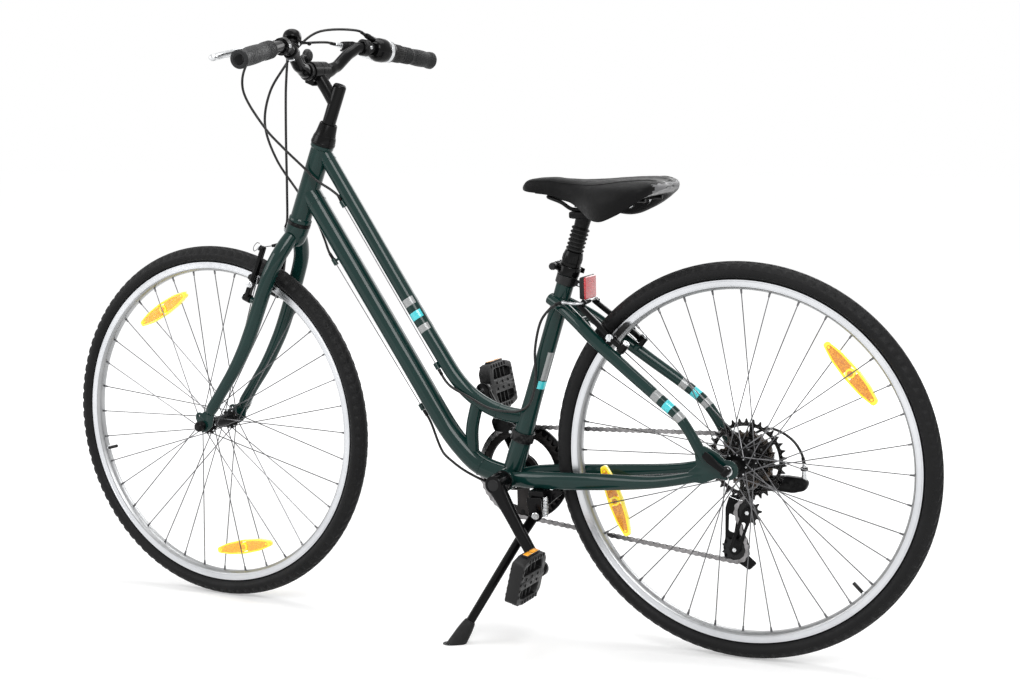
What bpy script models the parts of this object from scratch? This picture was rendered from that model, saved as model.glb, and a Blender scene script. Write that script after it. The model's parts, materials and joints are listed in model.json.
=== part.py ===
"""A step-through city bike on its kickstand, as separate named pieces.

Everything is modelled in the bike's own frame: the origin is on the rear axle, +X points forward,
+Y to the rider's left and +Z up, in metres. Empties on the joint axes then turn the steering, the
crank and the whole bike to the pose that it stands in.
"""

from math import acos, asin, atan2, ceil, cos, degrees, hypot, pi, radians, sin, sqrt, tan

import bmesh
import bpy
from mathutils import Matrix, Vector

# Frame geometry
WHEELBASE = 1.0876
HEAD_ANGLE = radians(68.35)
FORK_OFFSET = 0.0468
SEAT_ANGLE = radians(72.0)
CRANK_AXIS_FORWARD = 0.4443
CRANK_AXIS_DROP = 0.0610
LEAN = radians(3.31)
REST_STEER = radians(-3.12)
REST_CRANK = radians(-57.0)

# Clearances
CLEAR = 0.0003
RUNNING = 0.0006

# Head tube and steering
HEAD_BOTTOM = 0.4304
HEAD_TOP = 0.5864
HEAD_RADIUS = 0.0198
HEAD_BORE = 0.0165
STEERER_RADIUS = 0.0143
STEERER_BORE = 0.0130
STEERER_TOP = 0.6270
QUILL_RADIUS = 0.0127
STEM_TOP = 0.7050
STEM_JOINT = 0.6690
BAR_ALONG = 0.7085
BAR_FORWARD = 0.0582
BAR_RADIUS = 0.0111
BAR_CLAMP_RADIUS = 0.0127
BAR_HALF_WIDTH = 0.3090
BAR_RISE = 0.0500
BAR_SWEEP = 0.0466
GRIP_RADIUS = 0.0150
GRIP_END_RADIUS = 0.0168

# Seat tube and saddle
SEAT_TUBE_TOP = 0.4050
SEAT_TUBE_RADIUS = 0.0159
SEAT_TUBE_FOOT_RADIUS = 0.0185
SEAT_BORE = 0.0139
POST_RADIUS = 0.0136
POST_BOTTOM = 0.1600
SHAFT_RADIUS = 0.0098
SHAFT_BORE = 0.0102
SUSPENSION_TRAVEL = 0.0400
SADDLE_TOP = 0.4860

# Frame tubes
TOP_TUBE_RADIUS = 0.01425
DOWN_TUBE_RADIUS = 0.0190
STRUT_RADIUS = 0.0120
SHELL_RADIUS = 0.0205
SHELL_HALF = 0.0340
SHELL_BORE = 0.0170
DROPOUT_INNER = 0.0675
DROPOUT_THICK = 0.0060
FORK_INNER = 0.0500
FORK_TIP_THICK = 0.0050

# Wheels
TYRE_RADIUS = 0.3478
TYRE_HALF_WIDTH = 0.0194
RIM_RADIUS = 0.3175
RIM_HALF_WIDTH = 0.0123
RIM_INNER = 0.2998
WHEEL_SIDES = 28
SPOKES = 36
SPOKE_RADIUS = 0.0013
REAR_AXLE_RADIUS = 0.0050
FRONT_AXLE_RADIUS = 0.0045

# Drive
PITCH = 0.0127
RING_TEETH = 42
RING_SIDE = -0.0460
CRANK_LENGTH = 0.1700
CRANK_INNER = 0.0725
CRANK_THICK = 0.0130
SPINDLE_RADIUS = 0.0085
COGS = (34, 24, 22, 20, 18, 16, 14)
COG_FIRST_SIDE = -0.0240
COG_STEP = -0.0050
CHAIN_COG = 20
CHAIN_LINKS = 112
PULLEY_TEETH = 11
GUIDE_PULLEY = (0.0030, -0.0980)
CAGE_LENGTH = 0.0727
TOOTH_TIP = 0.0018
TOOTH_ROOT = 0.0054
PLATE_THICK = 0.0019

# Brakes
PIVOT_STUD_RADIUS = 0.0040
BRAKE_HUB_RADIUS = 0.0080
PAD_GAP = 0.0020
BRAKE_ANGLE = radians(3.2)

# Controls
LEVER_ANGLE = radians(24.0)
CABLE_RADIUS = 0.0024
WIRE_RADIUS = 0.0009
STOP_RADIUS = 0.0046
STOP_BORE = 0.0019
STOP_HALF = 0.0065

X = Vector((1.0, 0.0, 0.0))
Y = Vector((0.0, 1.0, 0.0))
Z = Vector((0.0, 0.0, 1.0))
REAR_AXLE = Vector((0.0, 0.0, 0.0))
FRONT_AXLE = Vector((WHEELBASE, 0.0, 0.0))
CRANK_AXIS = Vector((CRANK_AXIS_FORWARD, 0.0, -CRANK_AXIS_DROP))
HEAD_UP = Vector((-cos(HEAD_ANGLE), 0.0, sin(HEAD_ANGLE)))
HEAD_FORWARD = Vector((sin(HEAD_ANGLE), 0.0, cos(HEAD_ANGLE)))
STEER_POINT = FRONT_AXLE - X * (FORK_OFFSET / sin(HEAD_ANGLE))
AXLE_ALONG = -FORK_OFFSET / tan(HEAD_ANGLE)
SEAT_UP = Vector((-cos(SEAT_ANGLE), 0.0, sin(SEAT_ANGLE)))
SEAT_FORWARD = Vector((sin(SEAT_ANGLE), 0.0, cos(SEAT_ANGLE)))

# Colour, roughness and metallic value of each finish
FINISHES = {
    "frame_green": ((0.022, 0.050, 0.047), 0.22, 0.0),
    "black_metal": ((0.012, 0.012, 0.013), 0.35, 0.3),
    "black_plastic": ((0.014, 0.014, 0.015), 0.50, 0.0),
    "rubber": ((0.020, 0.020, 0.021), 0.75, 0.0),
    "tyre_rubber": ((0.030, 0.030, 0.031), 0.80, 0.0),
    "grip_rubber": ((0.050, 0.051, 0.054), 0.70, 0.0),
    "saddle_skin": ((0.022, 0.022, 0.023), 0.45, 0.0),
    "bright_metal": ((0.62, 0.63, 0.64), 0.25, 1.0),
    "rim_metal": ((0.70, 0.71, 0.72), 0.30, 1.0),
    "steel": ((0.30, 0.29, 0.28), 0.40, 1.0),
    "red_lens": ((0.45, 0.010, 0.020), 0.20, 0.0),
    "clear_plastic": ((0.60, 0.62, 0.63), 0.25, 0.0),
}

while bpy.data.objects:
    bpy.data.objects.remove(bpy.data.objects[0], do_unlink=True)
PARTS = bpy.data.collections.new("city_bike")
bpy.context.scene.collection.children.link(PARTS)
HOMES = {}


def on_head(along, forward=0.0, side=0.0):
    """A point given along the steering axis from the level of the front axle, ahead of it and to the left."""
    return STEER_POINT + HEAD_UP * along + HEAD_FORWARD * forward + Y * side


def on_seat(along, forward=0.0, side=0.0):
    """A point given along the seat tube from the crank axis, ahead of it and to the left."""
    return CRANK_AXIS + SEAT_UP * along + SEAT_FORWARD * forward + Y * side


def axes(z_axis, x_hint=None):
    """A rotation whose Z is z_axis and whose X is as near to x_hint as it can be."""
    z_axis = z_axis.normalized()
    if x_hint is None:
        x_hint = X if abs(z_axis.x) < 0.9 else Y
    y_axis = z_axis.cross(x_hint).normalized()
    x_axis = y_axis.cross(z_axis)
    return Matrix((x_axis, y_axis, z_axis)).transposed().to_4x4()


def placed(at, z_axis=Z, x_hint=None):
    return Matrix.Translation(at) @ axes(z_axis, x_hint)


def side_on(at):
    """The placing of an outline drawn forward and up: its thickness lies across the bike."""
    return placed(at, -Y, X)


def new_object(name, data, matrix=None):
    made = bpy.data.objects.new(name, data)
    PARTS.objects.link(made)
    made.matrix_world = matrix or Matrix()
    return made


def mesh_of(obj):
    """The object's evaluated mesh in the frame of the bike, welded and with its flat faces whole."""
    bpy.context.view_layer.update()
    graph = bpy.context.evaluated_depsgraph_get()
    mesh = bpy.data.meshes.new_from_object(obj.evaluated_get(graph))
    mesh.transform(obj.matrix_world)
    shape = bmesh.new()
    shape.from_mesh(mesh)
    bmesh.ops.remove_doubles(shape, verts=shape.verts, dist=1e-6)
    bmesh.ops.dissolve_limit(shape, angle_limit=radians(0.05), verts=shape.verts, edges=shape.edges)
    shape.to_mesh(mesh)
    shape.free()
    return mesh


def baked(obj):
    """Replaces the object by its evaluated mesh."""
    name = obj.name
    mesh = mesh_of(obj)
    bpy.data.objects.remove(obj, do_unlink=True)
    mesh.name = name
    return new_object(name, mesh)


def turned(name, profile, at, axis=Z, sides=16, ring=False):
    """A turned solid. The profile holds (radius, height) pairs; a ring's profile closes on itself."""
    points = list(profile)
    area = 0.0
    for (r0, h0), (r1, h1) in zip(points, points[1:] + points[:1]):
        area += r0 * h1 - r1 * h0
    if area > 0.0:
        points.reverse()
    mesh = bpy.data.meshes.new(name)
    edges = [(i, i + 1) for i in range(len(points) - 1)]
    if ring:
        edges.append((len(points) - 1, 0))
    mesh.from_pydata([(r, 0.0, h) for r, h in points], edges, [])
    made = new_object(name, mesh, placed(at, axis))
    screw = made.modifiers.new("turn", "SCREW")
    screw.steps = sides
    screw.render_steps = sides
    screw.use_merge_vertices = True
    screw.merge_threshold = 1e-5
    return baked(made)


def tube_ring(name, inner, outer, low, high, at, axis, sides=16):
    profile = ((outer, low), (outer, high), (inner, high), (inner, low))
    return turned(name, profile, at, axis, sides, ring=True)


def cylinder(name, radius, start, end, sides=12, end_radius=None):
    """A cylinder or a cone between two points."""
    along = end - start
    shape = bmesh.new()
    bmesh.ops.create_cone(
        shape,
        cap_ends=True,
        segments=sides,
        radius1=radius,
        radius2=radius if end_radius is None else end_radius,
        depth=along.length,
    )
    mesh = bpy.data.meshes.new(name)
    shape.to_mesh(mesh)
    shape.free()
    return baked(new_object(name, mesh, placed((start + end) / 2, along)))


def block(name, size, at, z_axis=Z, x_hint=None, bevel=0.0):
    """A box with its edges bevelled."""
    shape = bmesh.new()
    bmesh.ops.create_cube(shape, size=1.0)
    bmesh.ops.scale(shape, vec=size, verts=shape.verts)
    mesh = bpy.data.meshes.new(name)
    shape.to_mesh(mesh)
    shape.free()
    made = new_object(name, mesh, placed(at, z_axis, x_hint))
    if bevel:
        rounding = made.modifiers.new("edges", "BEVEL")
        rounding.width = bevel
        rounding.segments = 1
    return baked(made)


def ball(name, radius, at, sides=10):
    shape = bmesh.new()
    bmesh.ops.create_uvsphere(shape, u_segments=sides, v_segments=sides // 2, radius=radius)
    mesh = bpy.data.meshes.new(name)
    shape.to_mesh(mesh)
    shape.free()
    return baked(new_object(name, mesh, Matrix.Translation(at)))


def flowing(points, count):
    """Points evenly along a smooth curve through the given ones; each may carry a radius."""
    points = [tuple(p) for p in points]
    ends = [points[0]] + points + [points[-1]]
    fine = []
    for i in range(len(points) - 1):
        p0, p1, p2, p3 = ends[i : i + 4]
        for k in range(8):
            t = k / 8
            fine.append(
                tuple(
                    0.5
                    * (
                        2 * b
                        + (c - a) * t
                        + (2 * a - 5 * b + 4 * c - d) * t * t
                        + (3 * b - a - 3 * c + d) * t ** 3
                    )
                    for a, b, c, d in zip(p0, p1, p2, p3)
                )
            )
    fine.append(points[-1])
    lengths = [0.0]
    for a, b in zip(fine, fine[1:]):
        lengths.append(lengths[-1] + (Vector(b[:3]) - Vector(a[:3])).length)
    result = []
    k = 0
    for i in range(count):
        want = lengths[-1] * i / (count - 1)
        while k < len(lengths) - 2 and lengths[k + 1] < want:
            k += 1
        span = lengths[k + 1] - lengths[k]
        t = (want - lengths[k]) / span if span else 0.0
        result.append(tuple(a + (b - a) * t for a, b in zip(fine[k], fine[k + 1])))
    return result


def rod(name, points, radius=0.001, sides=8, cyclic=False):
    """A bent rod or wire. A point's fourth value is its own radius."""
    curve = bpy.data.curves.new(name, "CURVE")
    curve.dimensions = "3D"
    curve.bevel_depth = 1.0
    curve.bevel_resolution = (sides - 4) // 2
    curve.use_fill_caps = True
    spline = curve.splines.new("POLY")
    spline.points.add(len(points) - 1)
    for point, given in zip(spline.points, points):
        point.co = (given[0], given[1], given[2], 1.0)
        point.radius = given[3] if len(given) > 3 else radius
    spline.use_cyclic_u = cyclic
    return baked(new_object(name, curve))


def plate(name, outline, thickness, matrix, holes=(), bevel=0.0):
    """A flat plate: the outline lies in the matrix's XY plane and the thickness about it."""
    curve = bpy.data.curves.new(name, "CURVE")
    curve.dimensions = "2D"
    curve.fill_mode = "BOTH"
    curve.extrude = thickness / 2
    for edge in (outline, *holes):
        spline = curve.splines.new("POLY")
        spline.points.add(len(edge) - 1)
        for point, given in zip(spline.points, edge):
            point.co = (given[0], given[1], 0.0, 1.0)
        spline.use_cyclic_u = True
    made = baked(new_object(name, curve, matrix))
    if bevel:
        rounding = made.modifiers.new("edges", "BEVEL")
        rounding.width = bevel
        rounding.segments = 1
        rounding.angle_limit = radians(60)
        made = baked(made)
    return made


def loft(name, rings, closed=False):
    """A skin over rings of points with as many points each, capped at both ends."""
    shape = bmesh.new()
    made = [[shape.verts.new(p) for p in ring] for ring in rings]
    pairs = list(zip(made, made[1:]))
    if closed:
        pairs.append((made[-1], made[0]))
    for low, high in pairs:
        count = len(low)
        for i in range(count):
            j = (i + 1) % count
            shape.faces.new((low[i], low[j], high[j], high[i]))
    if not closed:
        shape.faces.new(list(reversed(made[0])))
        shape.faces.new(made[-1])
    bmesh.ops.recalc_face_normals(shape, faces=shape.faces)
    if shape.calc_volume(signed=True) < 0.0:
        bmesh.ops.reverse_faces(shape, faces=shape.faces)
    mesh = bpy.data.meshes.new(name)
    shape.to_mesh(mesh)
    shape.free()
    return new_object(name, mesh)


def oval_tube(name, stations, sides=12, across=Y):
    """A tube of oval section. A station is (point, half width along across, half height)."""
    rings = []
    for i, (centre, half_width, half_height) in enumerate(stations):
        before = stations[max(i - 1, 0)][0]
        after = stations[min(i + 1, len(stations) - 1)][0]
        along = (after - before).normalized()
        wide = (across - along * across.dot(along)).normalized()
        high = along.cross(wide)
        ring = []
        for k in range(sides):
            angle = 2 * pi * (k + 0.5) / sides
            ring.append(centre + wide * (half_width * cos(angle)) + high * (half_height * sin(angle)))
        rings.append(ring)
    return loft(name, rings)


def arc(centre, radius, start, end, count):
    """Points on an arc, in degrees."""
    found = []
    for k in range(count):
        angle = radians(start + (end - start) * k / (count - 1))
        found.append((centre[0] + radius * cos(angle), centre[1] + radius * sin(angle)))
    return found


def circle(centre, radius, count):
    return arc(centre, radius, 0, 360 * (count - 1) / count, count)


def together(name, pieces, cutters=(), also=()):
    """Joins the pieces into one solid and cuts the cutters out of it."""
    base = pieces[0]
    groups = ((list(pieces[1:]), "UNION"), (list(cutters), "DIFFERENCE"), (list(also), "UNION"))
    helpers = []
    for members, operation in groups:
        if not members:
            continue
        helper = bpy.data.collections.new("helper")
        bpy.context.scene.collection.children.link(helper)
        for member in members:
            helper.objects.link(member)
        boolean = base.modifiers.new(operation.lower(), "BOOLEAN")
        boolean.operation = operation
        boolean.operand_type = "COLLECTION"
        boolean.collection = helper
        boolean.solver = "EXACT"
        helpers.append(helper)
    mesh = mesh_of(base)
    for helper in helpers:
        for member in list(helper.objects):
            bpy.data.objects.remove(member, do_unlink=True)
        bpy.data.collections.remove(helper)
    bpy.data.objects.remove(base, do_unlink=True)
    mesh.name = name
    return new_object(name, mesh)


def mirrored(obj, name):
    """A copy on the other side of the bike."""
    mesh = obj.data.copy()
    mesh.name = name
    mesh.transform(Matrix.Diagonal((1.0, -1.0, 1.0, 1.0)))
    mesh.flip_normals()
    return new_object(name, mesh)


def turned_about(obj, at, axis, angle):
    """Turns a piece that is not yet parented about an axis."""
    move = Matrix.Translation(at) @ Matrix.Rotation(angle, 4, axis) @ Matrix.Translation(-at)
    obj.data.transform(move)
    return obj


def pivot(name, parent, at, axis=Z, angle=0.0, x_hint=None):
    """An empty on a joint's axis, which is its Z. It may stand turned at rest."""
    made = bpy.data.objects.new(name, None)
    made.empty_display_size = 0.05
    PARTS.objects.link(made)
    home = placed(at, axis, x_hint)
    HOMES[name] = home
    if parent is not None:
        made.parent = parent
        made.matrix_parent_inverse = HOMES[parent.name].inverted()
    made.matrix_basis = home @ Matrix.Rotation(angle, 4, "Z")
    return made


def finish_material(name):
    found = bpy.data.materials.get(name)
    if found:
        return found
    colour, roughness, metallic = FINISHES[name]
    material = bpy.data.materials.new(name)
    material.use_nodes = True
    shader = material.node_tree.nodes["Principled BSDF"]
    shader.inputs["Base Color"].default_value = (*colour, 1.0)
    shader.inputs["Roughness"].default_value = roughness
    shader.inputs["Metallic"].default_value = metallic
    material.diffuse_color = (*colour, 1.0)
    return material


def fit(obj, parent, finish, smooth=35.0):
    """Hangs a finished piece on its pivot and gives it its material."""
    obj.parent = parent
    obj.matrix_parent_inverse = HOMES[parent.name].inverted()
    obj.data.materials.clear()
    obj.data.materials.append(finish_material(finish))
    obj.data.shade_smooth()
    obj.data.set_sharp_from_angle(angle=radians(smooth))
    return obj


def between(start, end, share):
    return start + (end - start) * share


def bowed(start, end, shape):
    """Points off the line from start to end, as (share of its length, offset) in the bike's plane."""
    along = end - start
    off = Vector((-along.z, 0.0, along.x)).normalized()
    return [start + along * share + off * offset for share, offset in shape]


# Places that several pieces share
PEDAL_LEFT = CRANK_AXIS - X * CRANK_LENGTH
PEDAL_RIGHT = CRANK_AXIS + X * CRANK_LENGTH
RING_RADIUS = PITCH / (2 * sin(pi / RING_TEETH))
COG_RADIUS = PITCH / (2 * sin(pi / CHAIN_COG))
PULLEY_RADIUS = PITCH / (2 * sin(pi / PULLEY_TEETH))
COG_SIDE = COG_FIRST_SIDE + COG_STEP * COGS.index(CHAIN_COG)
STAND_PIVOT = CRANK_AXIS + Vector((-0.0723, 0.0470, -0.0500))
STAND_FOOT = Vector((0.4915, 0.1413, -0.3397))
BAR_CENTRE = on_head(BAR_ALONG, BAR_FORWARD)


def bar_point(across, side):
    """A point on the bar's centre line; across is its share of the half width."""
    stations = (
        (0.0, 0.0, 0.0),
        (0.110, 0.0, 0.0),
        (0.200, 0.216, 0.0),
        (0.290, 0.676, -0.034),
        (0.369, 0.928, -0.050),
        (0.453, 0.998, 0.080),
        (1.0, 0.812, 1.0),
    )
    for low, high in zip(stations, stations[1:]):
        if across <= high[0] or high is stations[-1]:
            t = (across - low[0]) / (high[0] - low[0])
            rise = low[1] + (high[1] - low[1]) * t
            sweep = low[2] + (high[2] - low[2]) * t
            break
    return on_head(BAR_ALONG + BAR_RISE * rise, BAR_FORWARD - BAR_SWEEP * sweep, side * across * BAR_HALF_WIDTH)


def grip_axis(side):
    """The bar's straight outer stretch: its end and its direction outward."""
    end = bar_point(1.0, side)
    return end, (end - bar_point(0.453, side)).normalized()


bike = pivot("bike", None, REAR_AXLE, Z)
steering = pivot("steering", bike, STEER_POINT, HEAD_UP, REST_STEER)
front_wheel = pivot("front_wheel", steering, FRONT_AXLE, Y, 0.0)
rear_wheel = pivot("rear_wheel", bike, REAR_AXLE, Y, 0.0)
freewheel_axis = pivot("freewheel_axis", bike, REAR_AXLE, Y)
crank = pivot("crank", bike, CRANK_AXIS, Y, REST_CRANK)


def make_frame():
    seat_low = on_seat(0.0)
    top_start = on_head(0.5790)
    top_end = on_seat(0.1180)
    top_shape = ((0.194, 0.0177), (0.461, 0.0421), (0.664, 0.0593), (0.779, 0.0668), (0.840, 0.0632))
    top_shape += ((0.896, 0.0510), (0.945, 0.0325))
    top_path = [top_start] + bowed(top_start, top_end, top_shape) + [top_end]
    down_start = on_head(0.4950)
    down_shape = ((0.370, 0.0232), (0.627, 0.0396), (0.720, 0.0460), (0.786, 0.0494))
    down_shape += ((0.851, 0.0478), (0.920, 0.0380))
    down_path = [down_start] + bowed(down_start, CRANK_AXIS, down_shape) + [CRANK_AXIS]
    head = turned(
        "head",
        (
            (0.0, HEAD_BOTTOM),
            (HEAD_RADIUS + 0.0022, HEAD_BOTTOM),
            (HEAD_RADIUS + 0.0022, HEAD_BOTTOM + 0.006),
            (HEAD_RADIUS, HEAD_BOTTOM + 0.009),
            (HEAD_RADIUS, HEAD_TOP - 0.009),
            (HEAD_RADIUS + 0.0022, HEAD_TOP - 0.006),
            (HEAD_RADIUS + 0.0022, HEAD_TOP),
            (0.0, HEAD_TOP),
        ),
        STEER_POINT,
        HEAD_UP,
        12,
    )
    seat = turned(
        "seat",
        (
            (0.0, 0.0),
            (SEAT_TUBE_FOOT_RADIUS, 0.0),
            (SEAT_TUBE_FOOT_RADIUS, 0.060),
            (SEAT_TUBE_RADIUS, 0.160),
            (SEAT_TUBE_RADIUS, SEAT_TUBE_TOP),
            (0.0, SEAT_TUBE_TOP),
        ),
        CRANK_AXIS,
        SEAT_UP,
        12,
    )
    shell = cylinder("shell", SHELL_RADIUS, CRANK_AXIS - Y * SHELL_HALF, CRANK_AXIS + Y * SHELL_HALF, 16)
    pieces = [head, seat, shell]
    pieces.append(rod("top", top_path, TOP_TUBE_RADIUS, 8))
    pieces.append(rod("down", down_path, DOWN_TUBE_RADIUS, 10))
    strut_top = bowed(top_start, top_end, ((0.862, 0.0560),))[0]
    strut_foot = bowed(down_start, CRANK_AXIS, ((0.882, 0.0380),))[0]
    strut_mid = bowed(strut_top, strut_foot, ((0.55, 0.0060),))[0]
    pieces.append(rod("strut", [strut_top, strut_mid, strut_foot], STRUT_RADIUS, 8))
    for side in (1, -1):
        pieces.append(chain_stay(side))
        pieces.append(seat_stay(side))
        pieces.append(dropout(side))
        boss_at = rear_brake_pivot(side) - REAR_BRAKE_AXIS * 0.0135
        pieces.append(
            cylinder("boss", 0.0060, boss_at, rear_brake_pivot(side) - REAR_BRAKE_AXIS * CLEAR, 8)
        )
        pieces.append(
            cylinder("stud", PIVOT_STUD_RADIUS, boss_at, rear_brake_pivot(side) + REAR_BRAKE_AXIS * 0.0185, 8)
        )
        pieces.append(
            cylinder(
                "stud_head",
                0.0065,
                rear_brake_pivot(side) + REAR_BRAKE_AXIS * 0.0173,
                rear_brake_pivot(side) + REAR_BRAKE_AXIS * 0.0205,
                6,
            )
        )
    bridge_left = seat_stay_point(0.128, 1)
    bridge_right = seat_stay_point(0.128, -1)
    pieces.append(rod("bridge", [bridge_left, bridge_right], 0.0065, 6))
    middle = (bridge_left + bridge_right) / 2
    pieces.append(plate("bridge_tab", circle((0, 0), 0.0095, 8), 0.0030, placed(middle - Z * 0.012, Y, X)))
    cutters = [cylinder("fender_hole", 0.0030, middle - Z * 0.013 - Y * 0.01, middle - Z * 0.013 + Y * 0.01, 6)]
    for (start, along), path in zip(cable_stops(), (top_path, top_path, down_path, down_path)):
        nearest = min(flowing(path, 60), key=lambda p: (Vector(p) - start).length)
        pieces.append(cylinder("stop", STOP_RADIUS, start - along * STOP_HALF, start + along * STOP_HALF, 6))
        pieces.append(cylinder("stop_foot", 0.0025, start, Vector(nearest), 4))
        cutters.append(cylinder("stop_bore", STOP_BORE, start - along * 0.02, start + along * 0.02, 5))
    cutters.append(cylinder("head_bore", HEAD_BORE, on_head(HEAD_BOTTOM - 0.02), on_head(HEAD_TOP + 0.02), 12))
    cutters.append(cylinder("seat_bore", SEAT_BORE, on_seat(POST_BOTTOM - 0.02), on_seat(SEAT_TUBE_TOP + 0.02), 12))
    reach = Y * (SHELL_HALF + 0.02)
    cutters.append(cylinder("shell_bore", SHELL_BORE, CRANK_AXIS - reach, CRANK_AXIS + reach, 12))
    fit(together("frame", pieces, cutters), bike, "frame_green")


def cable_stops():
    """Each stop's middle and the run of its wire: two below the top tube, two below the down tube."""
    top = (Vector((0.7765, 0.0080, 0.4350)), Vector((0.5880, 0.0080, 0.1385)))
    down = (Vector((0.8040, 0.0, 0.3250)), Vector((0.6270, 0.0, 0.0580)))
    found = []
    for start, end in (top, down):
        along = (end - start).normalized()
        found.append((start, along))
        found.append((end, along))
    return found


def chain_stay(side):
    path = (
        (0.020, 0.0, 0.0200, 0.0080, 0.0130),
        (0.110, 0.0020, 0.0305, 0.0086, 0.0153),
        (0.434, 0.0116, 0.0420, 0.0092, 0.0150),
        (0.689, 0.0152, 0.0575, 0.0096, 0.0105),
        (0.858, 0.0084, 0.0660, 0.0092, 0.0095),
        (0.900, 0.0062, 0.0685, 0.0050, 0.0085),
    )
    stations = []
    for share, drop, out, half_width, half_height in path:
        centre = bowed(CRANK_AXIS, REAR_AXLE, ((share, drop),))[0] + Y * (side * out)
        stations.append((centre, half_width, half_height))
    return oval_tube("chain_stay", stations, 8)


SEAT_STAY_PATH = (
    (-0.040, 0.0, 0.010),
    (0.036, -0.0061, 0.0190),
    (0.128, -0.0098, 0.0340),
    (0.239, -0.0097, 0.0450),
    (0.412, -0.0114, 0.0550),
    (0.600, -0.0143, 0.0655),
    (0.708, -0.0138, 0.0675),
    (0.779, -0.0058, 0.0670),
    (0.887, 0.0119, 0.0680),
    (0.915, 0.0150, 0.0690),
)


def seat_stay_point(share, side):
    start = on_seat(0.3400)
    for low, high in zip(SEAT_STAY_PATH, SEAT_STAY_PATH[1:]):
        if share <= high[0]:
            break
    t = (share - low[0]) / (high[0] - low[0])
    offset = low[1] + (high[1] - low[1]) * t
    out = low[2] + (high[2] - low[2]) * t
    return bowed(start, REAR_AXLE, ((share, offset),))[0] + Y * (side * out)


def seat_stay(side):
    radii = (0.0110, 0.0118, 0.0118, 0.0115, 0.0110, 0.0104, 0.0098, 0.0092, 0.0088, 0.0050)
    points = []
    for (share, _, _), radius in zip(SEAT_STAY_PATH, radii):
        points.append((*seat_stay_point(share, side), radius))
    return rod("seat_stay", points, sides=8)


def dropout(side):
    """A rear dropout: an open slot for the axle below two arms to the stays."""
    slot = (REAR_AXLE_RADIUS + CLEAR) / cos(radians(22.5))
    outline = [(slot, -0.0165), (0.0180, -0.0140), (0.0450, -0.0260), (0.0700, -0.0240), (0.0720, -0.0080)]
    outline += [(0.0560, 0.0040), (0.0600, 0.0300), (0.0440, 0.0400), (0.0200, 0.0300)]
    outline += arc((0.0, 0.0), 0.0180, 75, 215, 5) + [(-slot, -0.0165)]
    outline += arc((0.0, 0.0), slot, 180, 0, 5)
    middle = side * (DROPOUT_INNER + DROPOUT_THICK / 2)
    return plate("dropout", outline, DROPOUT_THICK, side_on(REAR_AXLE + Y * middle))


REAR_BRAKE_AXIS = Vector((-0.645, 0.0, 0.764)).normalized()
REAR_BRAKE_UP = Y.cross(REAR_BRAKE_AXIS).normalized()
REAR_BRAKE_SHARE = 0.3480


def rear_brake_pivot(side):
    """Where the rear brake's arm starts on its stud."""
    stay = seat_stay_point(REAR_BRAKE_SHARE, side)
    return stay + REAR_BRAKE_AXIS * 0.0135 + Y * (side * (0.0440 - stay.y * side))



FORK_BRAKE_ALONG = 0.2609
FORK_BRAKE_SIDE = 0.0450
FORK_BRAKE_FORWARD = 0.0263
STAND_AXIS = Vector((-0.27, 1.0, -0.20)).normalized()


def make_headset():
    """The pressed-in upper cup and its cover, which the steerer turns in."""
    profile = (
        (0.0230, HEAD_TOP + CLEAR),
        (0.0232, HEAD_TOP + 0.0050),
        (0.0215, HEAD_TOP + 0.0150),
        (0.0165, STEERER_TOP + 0.0010),
        (STEERER_RADIUS + RUNNING, STEERER_TOP + 0.0010),
        (STEERER_RADIUS + RUNNING, HEAD_TOP + CLEAR),
    )
    cup = turned("headset_upper_cup", profile, STEER_POINT, HEAD_UP, 12, ring=True)
    fit(cup, bike, "black_metal")


def fork_blade(side):
    path = (
        (0.4000, 0.0, 0.0140, 0.0140),
        (0.3800, 0.0, 0.0270, 0.0150),
        (0.3550, 0.0, 0.0400, 0.0148),
        (0.3200, 0.0010, 0.0475, 0.0144),
        (0.2070, 0.0020, 0.0520, 0.0138),
        (0.1620, 0.0060, 0.0520, 0.0130),
        (0.1150, 0.0140, 0.0525, 0.0120),
        (0.0620, 0.0275, 0.0525, 0.0112),
        (0.0160, 0.0390, 0.0525, 0.0100),
        (0.0120, 0.0400, 0.0525, 0.0060),
    )
    points = []
    for along, forward, out, radius in path:
        points.append((*on_head(along, forward, side * out), radius))
    return rod("blade", points, sides=8)


def fork_tip(side):
    """The plate at the foot of a blade: a slot for the axle and an eyelet ahead of it."""
    slot = (FRONT_AXLE_RADIUS + CLEAR) / cos(radians(22.5))
    outline = [(slot, -0.0130), (0.0120, -0.0090), (0.0140, 0.0020), (0.0200, 0.0080)]
    outline += arc((0.0140, 0.0150), 0.0070, -30, 110, 4)
    outline += [(0.0030, 0.0300), (0.0000, 0.0440), (-0.0160, 0.0440), (-0.0180, 0.0250), (-0.0210, 0.0080)]
    outline += [(-0.0150, -0.0040), (-slot, -0.0130)]
    outline += arc((0.0, 0.0), slot, 180, 0, 5)
    middle = side * (FORK_INNER + FORK_TIP_THICK / 2)
    matrix = placed(FRONT_AXLE + Y * middle, -Y, HEAD_FORWARD)
    eyelet = circle((0.0140, 0.0150), 0.0027, 6)
    return plate("fork_tip", outline, FORK_TIP_THICK, matrix, (eyelet,))


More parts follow.
